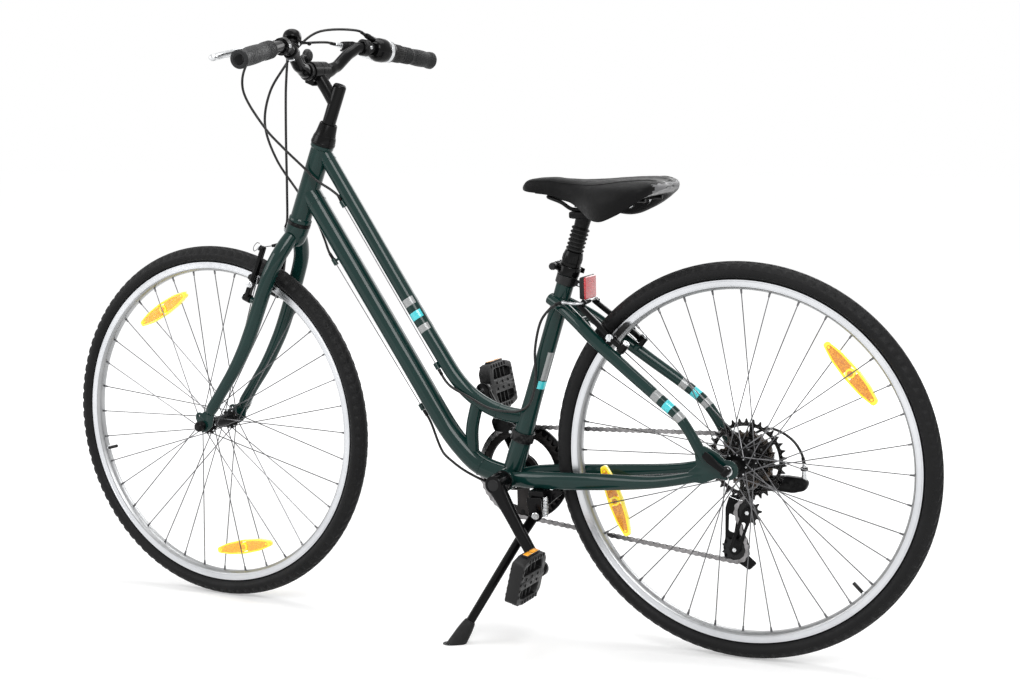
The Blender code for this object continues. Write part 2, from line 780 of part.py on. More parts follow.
def make_fork():
    steerer = turned(
        "steerer",
        (
            (0.0, 0.3840),
            (0.0150, 0.3840),
            (0.0200, 0.3950),
            (0.0215, 0.4080),
            (0.0222, HEAD_BOTTOM - CLEAR),
            (STEERER_RADIUS, HEAD_BOTTOM - CLEAR),
            (STEERER_RADIUS, STEERER_TOP),
            (0.0, STEERER_TOP),
        ),
        STEER_POINT,
        HEAD_UP,
        12,
    )
    pieces = [steerer]
    for side in (1, -1):
        out = side * FORK_BRAKE_SIDE
        pieces.append(fork_blade(side))
        pieces.append(fork_tip(side))
        start = on_head(FORK_BRAKE_ALONG, 0.0020, out)
        seat = on_head(FORK_BRAKE_ALONG, FORK_BRAKE_FORWARD - CLEAR, out)
        end = on_head(FORK_BRAKE_ALONG, FORK_BRAKE_FORWARD + 0.0205, out)
        pieces.append(cylinder("boss", 0.0060, start, seat, 8))
        pieces.append(cylinder("stud", PIVOT_STUD_RADIUS, start, end, 8))
        pieces.append(cylinder("stud_head", 0.0065, end - HEAD_FORWARD * 0.0032, end, 6))
    bore = cylinder("steerer_bore", STEERER_BORE, on_head(0.5000), on_head(STEERER_TOP + 0.02), 12)
    hole = cylinder("crown_hole", 0.0035, on_head(0.4050, -0.04), on_head(0.4050, 0.04), 6)
    fit(together("fork", pieces, (bore, hole)), steering, "frame_green")


def make_stem():
    quill = turned(
        "quill",
        (
            (0.0, 0.5200),
            (0.0110, 0.5200),
            (QUILL_RADIUS, 0.5240),
            (QUILL_RADIUS, STEM_TOP - 0.0050),
            (0.0100, STEM_TOP),
            (0.0, STEM_TOP),
        ),
        STEER_POINT,
        HEAD_UP,
        12,
    )
    arm = cylinder("arm", 0.0130, on_head(STEM_JOINT), BAR_CENTRE, 10, 0.0125)
    clamp = cylinder("clamp", 0.0190, BAR_CENTRE - Y * 0.0240, BAR_CENTRE + Y * 0.0240, 12)
    lug = block("lug", (0.012, 0.028, 0.020), BAR_CENTRE - HEAD_UP * 0.0190, HEAD_FORWARD, HEAD_UP, 0.002)
    bore = cylinder("bore", BAR_CLAMP_RADIUS + RUNNING, BAR_CENTRE - Y * 0.04, BAR_CENTRE + Y * 0.04, 12)
    socket = cylinder("socket", 0.0040, on_head(STEM_TOP - 0.012), on_head(STEM_TOP + 0.01), 6)
    fit(together("stem", (quill, arm, clamp, lug), (bore, socket)), steering, "black_metal")


def make_bar():
    points = []
    for side in (-1, 1):
        half = []
        for across, radius in (
            (1.0, BAR_RADIUS),
            (0.453, BAR_RADIUS),
            (0.369, BAR_RADIUS),
            (0.290, BAR_RADIUS),
            (0.200, BAR_RADIUS),
            (0.140, BAR_CLAMP_RADIUS),
            (0.110, BAR_CLAMP_RADIUS),
        ):
            half.append((*bar_point(across, side), radius))
        points += half if side < 0 else list(reversed(half))
    fit(rod("handlebar", points, sides=10), steering, "black_metal")


GRIP_GAP = 0.0004
LEFT_GRIP_LENGTH = 0.1260
RIGHT_GRIP_LENGTH = 0.0860
RING_WIDTH = 0.0250
SHIFTER_WIDTH = 0.0480


def make_grips():
    for side, name, length in ((1, "grip_left", LEFT_GRIP_LENGTH), (-1, "grip_right", RIGHT_GRIP_LENGTH)):
        end, out = grip_axis(side)
        bore = BAR_RADIUS + RUNNING
        profile = (
            (0.0, 0.0040),
            (0.0120, 0.0040),
            (GRIP_END_RADIUS, 0.0010),
            (GRIP_END_RADIUS, -0.0060),
            (GRIP_RADIUS, -0.0120),
            (GRIP_RADIUS + 0.0012, -length * 0.55),
            (GRIP_RADIUS + 0.0014, -length + 0.0040),
            (GRIP_RADIUS + 0.0014, -length),
            (bore, -length),
            (bore, GRIP_GAP),
            (0.0, GRIP_GAP),
        )
        fit(turned(name, profile, end, out, 10), steering, "grip_rubber")


def lever_frame(side):
    """The brake lever's pivot, its axis and its rest direction."""
    bar = bar_point(0.430, side)
    out = (grip_axis(side)[1]).normalized()
    reach = (HEAD_FORWARD * 0.930 - HEAD_UP * 0.367).normalized()
    return bar, out, reach


LEVER_PIVOT_REACH = 0.0270
LEVER_LENGTH = 0.1520


def lever_pivot(side):
    bar, out, reach = lever_frame(side)
    at = bar + reach * LEVER_PIVOT_REACH - out * 0.0120
    axis = out.cross(reach).normalized() * side
    return at, axis


def barrel_line(side):
    """The adjuster that the lever's cable leaves through: its two ends."""
    bar, out, reach = lever_frame(side)
    start = bar + reach * 0.0240 - out * 0.0280
    return start, start - out * 0.0220


lever_pivots = {}
for hand_side, hand in ((1, "left"), (-1, "right")):
    lever_at, lever_axis = lever_pivot(hand_side)
    lever_pivots[hand] = pivot("brake_lever_" + hand + "_axis", steering, lever_at, lever_axis)


def make_lever(side, hand):
    bar, out, reach = lever_frame(side)
    at, axis = lever_pivot(side)
    ring = cylinder("ring", 0.0160, bar - out * 0.0080, bar + out * 0.0060, 12)
    ear_high = block("ear", (0.024, 0.026, 0.0030), at + axis * 0.0072 - out * 0.002, axis, reach)
    ear_low = block("ear", (0.024, 0.026, 0.0030), at - axis * 0.0072 - out * 0.002, axis, reach)
    neck = block("neck", (0.0110, 0.0280, 0.0174), bar + reach * 0.0103 - out * 0.0150, axis, reach)
    mount = block("mount", (0.0180, 0.0070, 0.0174), bar + reach * 0.0190 - out * 0.0265, axis, reach)
    barrel_start, barrel_end = barrel_line(side)
    barrel = cylinder("barrel", 0.0048, barrel_start, barrel_end, 6, 0.0036)
    pin = cylinder("pin", 0.0024, at - axis * 0.0105, at + axis * 0.0105, 6)
    bar_run = [bar_point(across, side) for across in (1.0, 0.453, 0.369, 0.290, 0.200)]
    bore = rod("bore", bar_run, BAR_RADIUS + RUNNING, 10)
    pieces = (ring, ear_high, ear_low, neck, mount, barrel)
    body = together("brake_lever_bracket_" + hand, pieces, (bore,), (pin,))
    fit(body, steering, "black_metal")
    along = (reach * 0.20 + out).normalized()
    tip = at + reach * 0.0520 + out * LEVER_LENGTH
    path = [
        at + out * 0.0080 + reach * 0.0020,
        at + out * 0.0240 + reach * 0.0080,
        at + out * 0.0480 + reach * 0.0230,
        at + out * 0.0850 + reach * 0.0400,
        at + out * 0.1200 + reach * 0.0490,
        tip,
    ]
    widths = (0.0030, 0.0036, 0.0036, 0.0034, 0.0034, 0.0040)
    heights = (0.0050, 0.0058, 0.0062, 0.0062, 0.0062, 0.0064)
    flat = along.cross(axis).normalized()
    blade = oval_tube("blade", list(zip(path, widths, heights)), 6, flat)
    knob = ball("knob", 0.0082, tip, 6)
    eye = cylinder("eye", 0.0090, at - axis * 0.0053, at + axis * 0.0053, 10)
    hole = cylinder("hole", 0.0030, at - axis * 0.02, at + axis * 0.02, 8)
    lever = together("brake_lever_" + hand, (blade, knob, eye), (hole,))
    fit(lever, lever_pivots[hand], "bright_metal")


def spout_line():
    """The shifter's cable outlet: its two ends."""
    end, out = grip_axis(-1)
    inner = -(RIGHT_GRIP_LENGTH + GRIP_GAP + RING_WIDTH + GRIP_GAP + SHIFTER_WIDTH)
    nose = end + out * (inner + 0.0080) + HEAD_UP * 0.0150 + HEAD_FORWARD * 0.0090
    return nose, nose - out * 0.0230 + HEAD_UP * 0.0060 + HEAD_FORWARD * 0.0030


def make_shifter():
    end, out = grip_axis(-1)
    ring_low = -(RIGHT_GRIP_LENGTH + GRIP_GAP)
    ring_high = ring_low - RING_WIDTH
    body_low = ring_high - GRIP_GAP
    body_high = body_low - SHIFTER_WIDTH
    bore = BAR_RADIUS + RUNNING
    profile = []
    ribs = 10
    for k in range(ribs * 2):
        profile.append((0.0176 if k % 2 else 0.0164, 2 * pi * k / (ribs * 2)))
    outline = [(r * cos(a), r * sin(a)) for r, a in profile]
    matrix = placed(end + out * ((ring_low + ring_high) / 2), out)
    ring = plate("shifter_ring", outline, RING_WIDTH, matrix, (circle((0, 0), bore, 12),))
    fit(ring, shifter_axis, "black_plastic")
    drum = turned(
        "drum",
        (
            (0.0, body_low),
            (0.0195, body_low),
            (0.0215, body_low - 0.0060),
            (0.0215, body_low - 0.0180),
            (0.0230, body_low - 0.0220),
            (0.0230, body_high + 0.0120),
            (0.0170, body_high),
            (0.0, body_high),
        ),
        end,
        out,
        12,
    )
    nose, tip = spout_line()
    spout = cylinder("spout", 0.0062, nose, tip, 8, 0.0045)
    window = block("window", (0.018, 0.024, 0.010), nose + out * 0.0120 - HEAD_UP * 0.0010, HEAD_UP, out, 0.002)
    hole = cylinder("hole", bore, end + out * (body_high - 0.02), end + out * (body_low + 0.02), 12)
    body = together("shifter_body", (drum, spout, window), (hole,))
    fit(body, steering, "black_plastic")


SHIFTER_AT, SHIFTER_OUT = grip_axis(-1)
shifter_axis = pivot("shifter_axis", steering, SHIFTER_AT, SHIFTER_OUT)
BELL_ACROSS = 0.300


def bell_place():
    bar = bar_point(BELL_ACROSS, 1)
    up = (HEAD_UP * 0.86 + HEAD_FORWARD * 0.51).normalized()
    along = (bar_point(BELL_ACROSS + 0.03, 1) - bar_point(BELL_ACROSS - 0.03, 1)).normalized()
    up = (up - along * up.dot(along)).normalized()
    return bar, up, along


BELL_BAR, BELL_UP, BELL_ALONG = bell_place()
BELL_LEVER_AT = BELL_BAR + BELL_UP * 0.0205 + BELL_UP.cross(BELL_ALONG) * 0.0140
bell_lever_axis = pivot("bell_lever_axis", steering, BELL_LEVER_AT, BELL_UP)


def make_bell():
    dome = turned(
        "dome",
        (
            (0.0, 0.0270),
            (0.0165, 0.0270),
            (0.0172, 0.0320),
            (0.0165, 0.0390),
            (0.0120, 0.0440),
            (0.0, 0.0460),
        ),
        BELL_BAR,
        BELL_UP,
        10,
    )
    neck = cylinder("neck", 0.0075, BELL_BAR + BELL_UP * 0.0115, BELL_BAR + BELL_UP * 0.0280, 8)
    ring = cylinder("ring", 0.0145, BELL_BAR - BELL_ALONG * 0.0060, BELL_BAR + BELL_ALONG * 0.0060, 10)
    aside = BELL_UP.cross(BELL_ALONG)
    stud = cylinder("stud", 0.0018, BELL_LEVER_AT - BELL_UP * 0.0075, BELL_LEVER_AT + BELL_UP * 0.0045, 6)
    arm = cylinder("arm", 0.0030, BELL_BAR + BELL_UP * 0.0135, BELL_LEVER_AT - BELL_UP * 0.0055, 6)
    bar_run = [bar_point(across, 1) for across in (0.453, 0.369, 0.290, 0.200, 0.110)]
    bore = rod("bore", bar_run, BAR_RADIUS + RUNNING, 10)
    fit(together("bell", (dome, neck, ring, arm), (bore,), (stud,)), steering, "black_plastic")
    eye = cylinder("eye", 0.0046, BELL_LEVER_AT - BELL_UP * 0.0010, BELL_LEVER_AT + BELL_UP * 0.0030, 8)
    tip = BELL_LEVER_AT + aside * 0.0150 - BELL_ALONG * 0.0120 + BELL_UP * 0.001
    thumb = cylinder("thumb", 0.0022, BELL_LEVER_AT + aside * 0.002 + BELL_UP * 0.001, tip, 6)
    pad = ball("pad", 0.0042, tip, 6)
    hole = cylinder("hole", 0.0022, BELL_LEVER_AT - BELL_UP * 0.01, BELL_LEVER_AT + BELL_UP * 0.01, 6)
    fit(together("bell_lever", (eye, thumb, pad), (hole,)), bell_lever_axis, "black_plastic")


REFLECTOR_SIDE = 0.0290


def make_front_reflector():
    """A round reflector on an arm whose ring grips the bar beside the stem."""
    bar = BAR_CENTRE + Y * REFLECTOR_SIDE
    ring = cylinder("ring", 0.0162, bar - Y * 0.0040, bar + Y * 0.0040, 12)
    middle = BAR_CENTRE + HEAD_UP * 0.0200 + HEAD_FORWARD * 0.0290
    bend = bar - Y * 0.0020 + HEAD_UP * 0.0200 + HEAD_FORWARD * 0.0220
    arm = rod("arm", [bar + HEAD_UP * 0.0095 + HEAD_FORWARD * 0.0105, bend, middle], 0.0035, 6)
    facing = (X * 0.97 + Z * 0.10).normalized()
    disc = turned(
        "disc",
        ((0.0, -0.0060), (0.0100, -0.0060), (0.0132, -0.0020), (0.0132, 0.0030), (0.0, 0.0052)),
        middle,
        facing,
        12,
    )
    bore = cylinder("bore", BAR_CLAMP_RADIUS + RUNNING * 1.5, bar - Y * 0.02, bar + Y * 0.02, 12)
    fit(together("front_reflector", (ring, arm, disc), (bore,)), steering, "clear_plastic")



def tyre_profile():
    half = (
        (RIM_RADIUS - 0.0065, 0.0092),
        (RIM_RADIUS + 0.0014, 0.0094),
        (TYRE_RADIUS - TYRE_HALF_WIDTH, TYRE_HALF_WIDTH),
        (TYRE_RADIUS - 0.0083, 0.0158),
        (TYRE_RADIUS, 0.0060),
    )
    inner = ((TYRE_RADIUS - 0.0148, 0.0142), (RIM_RADIUS - 0.0040, 0.0072))
    profile = [(r, h) for r, h in half]
    profile += [(r, -h) for r, h in reversed(half)]
    profile += [(r, -h) for r, h in reversed(inner)]
    profile += list(inner)
    return profile


def rim_profile():
    edge = RIM_HALF_WIDTH - 0.0027
    half = (
        (RIM_INNER, 0.0065),
        (RIM_INNER + 0.0052, RIM_HALF_WIDTH - 0.0005),
        (RIM_RADIUS, RIM_HALF_WIDTH),
        (RIM_RADIUS, edge),
        (RIM_RADIUS - 0.0082, edge),
    )
    return [(r, h) for r, h in half] + [(r, -h) for r, h in reversed(half)]


def around(centre, radius, angle, side=0.0):
    """A point about an axle: the angle runs from forward to up, in degrees."""
    return centre + X * (radius * cos(radians(angle))) + Z * (radius * sin(radians(angle))) + Y * side


def make_wheel(end, centre, parent, hub, flanges, valve_angle, reflector_angles):
    """A tyre, a rim with its valve, and a hub laced with crossed spokes."""
    fit(turned("tyre_" + end, tyre_profile(), centre, Y, WHEEL_SIDES, ring=True), parent, "tyre_rubber")
    rim = turned("rim", rim_profile(), centre, Y, WHEEL_SIDES, ring=True)
    valve = cylinder(
        "valve",
        0.0032,
        around(centre, RIM_INNER + 0.004, valve_angle),
        around(centre, RIM_INNER - 0.024, valve_angle),
        6,
    )
    fit(together("rim_" + end, (rim, valve)), parent, "rim_metal")
    pieces = [turned("hub", hub, centre, Y, 10, ring=True)]
    rim_end = (RIM_INNER - 0.0003) * cos(pi / WHEEL_SIDES) - CLEAR
    per_side = SPOKES // 2
    for flange, hole_radius, offset, stagger in flanges:
        for k in range(per_side):
            hole = 360 / per_side * k + stagger
            lead = 60 if k % 2 == 0 else -60
            head = offset if k % 2 == 0 else -offset
            start = around(centre, hole_radius, hole, flange + head)
            target = around(centre, rim_end, hole + lead, head * 0.8)
            pieces.append(cylinder("spoke", SPOKE_RADIUS, start, target, 3))
    for angle in reflector_angles:
        middle = around(centre, REFLECTOR_RADIUS, angle)
        radial = (middle - centre).normalized()
        pieces.append(plate("reflector", REFLECTOR_EDGE, 0.0120, placed(middle, Y, radial.cross(Y))))
    fit(together("spokes_" + end, pieces), parent, "bright_metal")


REFLECTOR_RADIUS = 0.2530
REFLECTOR_EDGE = [(-0.0660, 0.0050), (-0.0660, -0.0050), (-0.0380, -0.0115), (0.0, -0.0140), (0.0380, -0.0115)]
REFLECTOR_EDGE += [(-x, -y) for x, y in REFLECTOR_EDGE]
FRONT_FLANGE = 0.0345
FRONT_FLANGE_RADIUS = 0.0195
REAR_FLANGE_LEFT = 0.0350
REAR_FLANGE_RIGHT = -0.0180
REAR_FLANGE_RADIUS = 0.0220
FLANGE_THICK = 0.0030


def make_front_hub():
    bore = FRONT_AXLE_RADIUS + RUNNING
    half = (
        (bore, 0.0400),
        (0.0090, 0.0400),
        (0.0110, FRONT_FLANGE + FLANGE_THICK / 2),
        (FRONT_FLANGE_RADIUS, FRONT_FLANGE + FLANGE_THICK / 2),
        (FRONT_FLANGE_RADIUS, FRONT_FLANGE - FLANGE_THICK / 2),
        (0.0125, FRONT_FLANGE - FLANGE_THICK / 2 - 0.003),
    )
    hub = [(r, h) for r, h in half] + [(r, -h) for r, h in reversed(half)]
    hole_radius = FRONT_FLANGE_RADIUS - 0.0025
    flanges = ((FRONT_FLANGE, hole_radius, 0.0018, 0.0), (-FRONT_FLANGE, hole_radius, 0.0018, 10.0))
    make_wheel("front", FRONT_AXLE, front_wheel, hub, flanges, -14.8, (59.6, -101.9))
    nut = FORK_INNER + FORK_TIP_THICK + CLEAR
    inside = FORK_INNER - CLEAR
    cone = 0.0400 + RUNNING
    profile = [(0.0, nut + 0.0160), (0.0060, nut + 0.0160), (0.0098, nut + 0.0120), (0.0098, nut)]
    profile += [(FRONT_AXLE_RADIUS, nut), (FRONT_AXLE_RADIUS, inside), (0.0085, inside), (0.0085, cone)]
    profile += [(FRONT_AXLE_RADIUS, cone), (FRONT_AXLE_RADIUS, -cone), (0.0085, -cone), (0.0085, -inside)]
    profile += [(FRONT_AXLE_RADIUS, -inside), (FRONT_AXLE_RADIUS, -nut), (0.0098, -nut), (0.0098, -nut - 0.0050)]
    profile += [(0.0, -nut - 0.0050)]
    fit(turned("front_axle", profile, FRONT_AXLE, Y, 8), steering, "bright_metal")
    qr_lever("front_qr_lever", FRONT_AXLE, nut + 0.0050, -1, Vector((-0.60, 0.0, 0.80)), steering)


QR_BARREL_RADIUS = 0.0060


def qr_lever(name, axle, axle_end, side, direction, parent):
    """A cam lever whose barrel lies across the axle's end."""
    at = axle + Y * (side * (axle_end + CLEAR + QR_BARREL_RADIUS))
    across = direction.cross(Y).normalized() * side
    joint = pivot(name + "_axis", parent, at, across)
    barrel = cylinder("barrel", QR_BARREL_RADIUS, at - across * 0.0080, at + across * 0.0080, 10)
    path = [
        at + direction * 0.0030 + Y * (side * 0.0010),
        at + direction * 0.0180 + Y * (side * 0.0030),
        at + direction * 0.0360 + Y * (side * 0.0010),
        at + direction * 0.0480 - Y * (side * 0.0010),
    ]
    arm = oval_tube("arm", list(zip(path, (0.0068, 0.0062, 0.0075, 0.0060), (0.0040, 0.0030, 0.0026, 0.0022))), 6, across)
    fit(together(name, (barrel, arm)), joint, "bright_metal")


def make_rear_hub():
    bore = REAR_AXLE_RADIUS + RUNNING
    left = REAR_FLANGE_LEFT
    right = REAR_FLANGE_RIGHT
    thick = FLANGE_THICK / 2
    hub = (
        (bore, left + 0.0080),
        (0.0105, left + 0.0080),
        (0.0130, left + thick),
        (REAR_FLANGE_RADIUS, left + thick),
        (REAR_FLANGE_RADIUS, left - thick),
        (0.0150, left - thick - 0.0030),
        (0.0150, right + thick + 0.0030),
        (REAR_FLANGE_RADIUS, right + thick),
        (REAR_FLANGE_RADIUS, right - thick),
        (bore, right - thick),
    )
    hole_radius = REAR_FLANGE_RADIUS - 0.0025
    flanges = ((left, hole_radius, 0.0018, 0.0), (right, hole_radius, 0.0012, 10.0))
    make_wheel("rear", REAR_AXLE, rear_wheel, hub, flanges, -135.4, (139.2, -20.4))
    inside = DROPOUT_INNER - CLEAR
    outside = DROPOUT_INNER + DROPOUT_THICK + CLEAR
    cone = left + 0.0080 + RUNNING
    free = COG_FIRST_SIDE + COG_STEP * (len(COGS) - 1) - 0.0050 - RUNNING
    hanger = outside + HANGER_THICK + CLEAR
    profile = [(0.0, outside + 0.0030), (0.0095, outside + 0.0030), (0.0095, outside)]
    profile += [(REAR_AXLE_RADIUS, outside), (REAR_AXLE_RADIUS, inside), (0.0090, inside), (0.0090, cone)]
    profile += [(REAR_AXLE_RADIUS, cone), (REAR_AXLE_RADIUS, free), (0.0085, free), (0.0085, -inside)]
    profile += [(REAR_AXLE_RADIUS, -inside), (REAR_AXLE_RADIUS, -hanger), (0.0090, -hanger)]
    profile += [(0.0090, -hanger - 0.0080), (0.0060, -hanger - 0.0110), (0.0, -hanger - 0.0110)]
    fit(turned("rear_axle", profile, REAR_AXLE, Y, 8), bike, "bright_metal")
    qr_lever("rear_qr_lever", REAR_AXLE, outside + 0.0030, 1, Vector((0.817, 0.0, 0.577)), bike)
    guard = (
        (0.0150, right - thick - 0.0012),
        (0.0740, right - thick - 0.0007),
        (0.0740, right - thick - 0.0021),
        (0.0150, right - thick - 0.0026),
    )
    fit(turned("spoke_protector", guard, REAR_AXLE, Y, 16, ring=True), rear_wheel, "clear_plastic")


HANGER_THICK = 0.0032


def sprocket(teeth, first_angle):
    """A tooth outline; a chain pin rests in the gap at first_angle."""
    radius = PITCH / (2 * sin(pi / teeth))
    outline = []
    for k in range(teeth):
        gap = radians(first_angle) + 2 * pi * k / teeth
        tip = gap + pi / teeth
        outline.append(((radius - TOOTH_ROOT) * cos(gap), (radius - TOOTH_ROOT) * sin(gap)))
        outline.append(((radius + TOOTH_TIP) * cos(tip), (radius + TOOTH_TIP) * sin(tip)))
    return outline


def tangent(a, b):
    """The directed line from one wheel of the chain's path to the next. A wheel is (x, z, radius, turn)."""
    dx = b[0] - a[0]
    dz = b[1] - a[1]
    reach = hypot(dx, dz)
    heading = atan2(dz, dx) - asin((b[3] * b[2] - a[3] * a[2]) / reach)
    nx = -sin(heading)
    nz = cos(heading)
    start = (a[0] - a[3] * nx * a[2], a[1] - a[3] * nz * a[2])
    end = (b[0] - b[3] * nx * b[2], b[1] - b[3] * nz * b[2])
    return start, end


def chain_route(cage_angle):
    """The chain's path as runs of (length, place at a distance along it)."""
    lower = (
        GUIDE_PULLEY[0] + CAGE_LENGTH * cos(cage_angle),
        GUIDE_PULLEY[1] + CAGE_LENGTH * sin(cage_angle),
    )
    wheels = (
        (CRANK_AXIS.x, CRANK_AXIS.z, RING_RADIUS, -1, RING_SIDE),
        (lower[0], lower[1], PULLEY_RADIUS, -1, COG_SIDE),
        (GUIDE_PULLEY[0], GUIDE_PULLEY[1], PULLEY_RADIUS, 1, COG_SIDE),
        (0.0, 0.0, COG_RADIUS, -1, COG_SIDE),
    )
    count = len(wheels)
    lines = [tangent(wheels[i], wheels[(i + 1) % count]) for i in range(count)]
    runs = []
    for i, wheel in enumerate(wheels):
        arrive = lines[i - 1][1]
        leave = lines[i][0]
        start = atan2(arrive[1] - wheel[1], arrive[0] - wheel[0])
        end = atan2(leave[1] - wheel[1], leave[0] - wheel[0])
        sweep = (end - start) * wheel[3]
        while sweep < 0:
            sweep += 2 * pi
        runs.append(("arc", sweep * wheel[2], wheel, start))
        line_start, line_end = lines[i]
        length = hypot(line_end[0] - line_start[0], line_end[1] - line_start[1])
        runs.append(("line", length, (line_start, line_end, wheel[4], wheels[(i + 1) % count][4])))
    return runs, lower


def chain_place(runs, distance):
    """The point (x, z, side) on the path."""
    total = sum(run[1] for run in runs)
    distance %= total
    for run in runs:
        if distance <= run[1]:
            break
        distance -= run[1]
    if run[0] == "arc":
        wheel, start = run[2], run[3]
        angle = start + wheel[3] * distance / wheel[2]
        return (wheel[0] + wheel[2] * cos(angle), wheel[1] + wheel[2] * sin(angle), wheel[4])
    start, end, side_start, side_end = run[2]
    t = distance / run[1]
    return (
        start[0] + (end[0] - start[0]) * t,
        start[1] + (end[1] - start[1]) * t,
        side_start + (side_end - side_start) * t,
    )


def chain_pins(cage_angle):
    """Pins one pitch apart along the path, and what is left over after the last."""
    runs, lower = chain_route(cage_angle)
    total = sum(run[1] for run in runs)
    along = 0.5 * runs[0][1]
    first = along
    pins = [chain_place(runs, along)]
    for _ in range(CHAIN_LINKS):
        low = along + PITCH * 0.99
        high = along + PITCH * 1.05
        here = pins[-1]
        for _ in range(24):
            middle = (low + high) / 2
            there = chain_place(runs, middle)
            if hypot(there[0] - here[0], there[1] - here[1]) < PITCH:
                low = middle
            else:
                high = middle
        along = (low + high) / 2
        pins.append(chain_place(runs, along))
    return pins[:-1], first + total - along, lower


def solve_cage():
    """The cage angle at which a whole number of links closes the chain."""
    low = radians(-120.0)
    high = radians(-25.0)
    for _ in range(30):
        middle = (low + high) / 2
        if chain_pins(middle)[1] > 0.0:
            low = middle
        else:
            high = middle
    return (low + high) / 2


CAGE_ANGLE = solve_cage()
CHAIN_PINS, CHAIN_SLACK, LOWER_PULLEY = chain_pins(CAGE_ANGLE)
print("Cage angle", round(degrees(CAGE_ANGLE), 2), "and what is left over", round(CHAIN_SLACK * 1000, 4), "mm")
KNUCKLE = (0.0180, -0.0800)


def pin_angle(centre, radius):
    """The angle, in degrees, of a chain pin that lies on a sprocket."""
    best = min(CHAIN_PINS, key=lambda pin: abs(hypot(pin[0] - centre[0], pin[1] - centre[1]) - radius))
    return degrees(atan2(best[1] - centre[1], best[0] - centre[0]))


def make_chain():
    """Two rows of plates that step in and out by turns, joined by a roller on each pin."""
    count = len(CHAIN_PINS)
    shape = bmesh.new()
    strips = {1: [], -1: []}
    for i in range(count):
        here = Vector((CHAIN_PINS[i][0], CHAIN_PINS[i][2], CHAIN_PINS[i][1]))
        after = Vector((CHAIN_PINS[(i + 1) % count][0], CHAIN_PINS[(i + 1) % count][2], CHAIN_PINS[(i + 1) % count][1]))
        along = (after - here).normalized()
        up = Y.cross(along).normalized() * -1.0
        near = CHAIN_INNER_GAP if i % 2 == 0 else CHAIN_INNER_GAP + CHAIN_PLATE
        for side in (1, -1):
            for middle in (here + along * ROLLER_HALF, after - along * ROLLER_HALF):
                ring = []
                for out, high in ((near, 1), (near + CHAIN_PLATE, 1), (near + CHAIN_PLATE, -1), (near, -1)):
                    ring.append(shape.verts.new(middle + Y * (side * out) + up * (high * CHAIN_HALF_HEIGHT)))
                strips[side].append(ring)
    for side in (1, -1):
        rings = strips[side]
        for i, ring in enumerate(rings):
            following = rings[(i + 1) % len(rings)]
            for k in range(4):
                m = (k + 1) % 4
                if k == 3 and i % 2 == 1:
                    continue
                shape.faces.new((ring[k], ring[m], following[m], following[k]))
    for i in range(1, len(strips[1]), 2):
        j = (i + 1) % len(strips[1])
        left = (strips[1][i][3], strips[1][i][0], strips[1][j][0], strips[1][j][3])
        right = (strips[-1][i][3], strips[-1][i][0], strips[-1][j][0], strips[-1][j][3])
        for k in range(4):
            m = (k + 1) % 4
            shape.faces.new((left[k], left[m], right[m], right[k]))
    bmesh.ops.recalc_face_normals(shape, faces=shape.faces)
    if shape.calc_volume(signed=True) < 0.0:
        bmesh.ops.reverse_faces(shape, faces=shape.faces)
    mesh = bpy.data.meshes.new("chain")
    shape.to_mesh(mesh)
    shape.free()
    fit(new_object("chain", mesh), bike, "steel")


CHAIN_INNER_GAP = 0.0017
CHAIN_PLATE = 0.0009
CHAIN_HALF_HEIGHT = 0.0036
ROLLER_HALF = 0.0013


def make_freewheel():
    pieces = []
    last = COG_FIRST_SIDE + COG_STEP * (len(COGS) - 1)
    inner_end = COG_FIRST_SIDE + 0.0008
    body = cylinder("body", 0.0185, Y * inner_end, Y * (last - 0.0050), 10)
    pieces.append(body)
    for k, teeth in enumerate(COGS):
        side = COG_FIRST_SIDE + COG_STEP * k
        angle = pin_angle((0.0, 0.0), COG_RADIUS) if teeth == CHAIN_COG else 0.0
        pieces.append(plate("cog", sprocket(teeth, angle), PLATE_THICK, side_on(Y * side)))
    bore = cylinder("bore", REAR_AXLE_RADIUS + RUNNING, Y * 0.01, Y * (last - 0.02), 12)
    fit(together("freewheel", pieces, (bore,)), freewheel_axis, "steel")


def make_bottom_bracket():
    out = SHELL_HALF + CLEAR
    bore = SPINDLE_RADIUS + RUNNING * 1.5
    half = ((bore, out + 0.0026), (0.0190, out + 0.0022), (0.0190, out), (SHELL_BORE - CLEAR, out))
    profile = [(r, h) for r, h in half] + [(r, -h) for r, h in reversed(half)]
    fit(turned("bottom_bracket", profile, CRANK_AXIS, Y, 12, ring=True), bike, "black_metal")


def crank_arm(side, direction):
    hub = CRANK_AXIS
    eye = CRANK_AXIS + direction * CRANK_LENGTH
    middle = CRANK_INNER + CRANK_THICK / 2
    stations = (
        (0.0, middle - 0.0120, 0.0078, 0.0165),
        (0.020, middle - 0.0115, 0.0078, 0.0150),
        (0.060, middle - 0.0070, 0.0072, 0.0125),
        (0.150, middle, 0.0065, 0.0112),
        (CRANK_LENGTH, middle, 0.0065, 0.0125),
    )
    path = [(hub + direction * along + Y * (side * out), thick, high) for along, out, thick, high in stations]
    pieces = [oval_tube("arm", path, 8)]
    pieces.append(cylinder("eye", 0.0140, eye + Y * (side * CRANK_INNER), eye + Y * (side * (CRANK_INNER + CRANK_THICK)), 10))
    pieces.append(cylinder("spindle", 0.0045, eye + Y * (side * CRANK_INNER), eye + Y * (side * PEDAL_OUTER), 8))
    return pieces


PEDAL_OUTER = 0.1790
CRANK_BOSS_IN = 0.0536
CRANK_BOSS_OUT = 0.0745


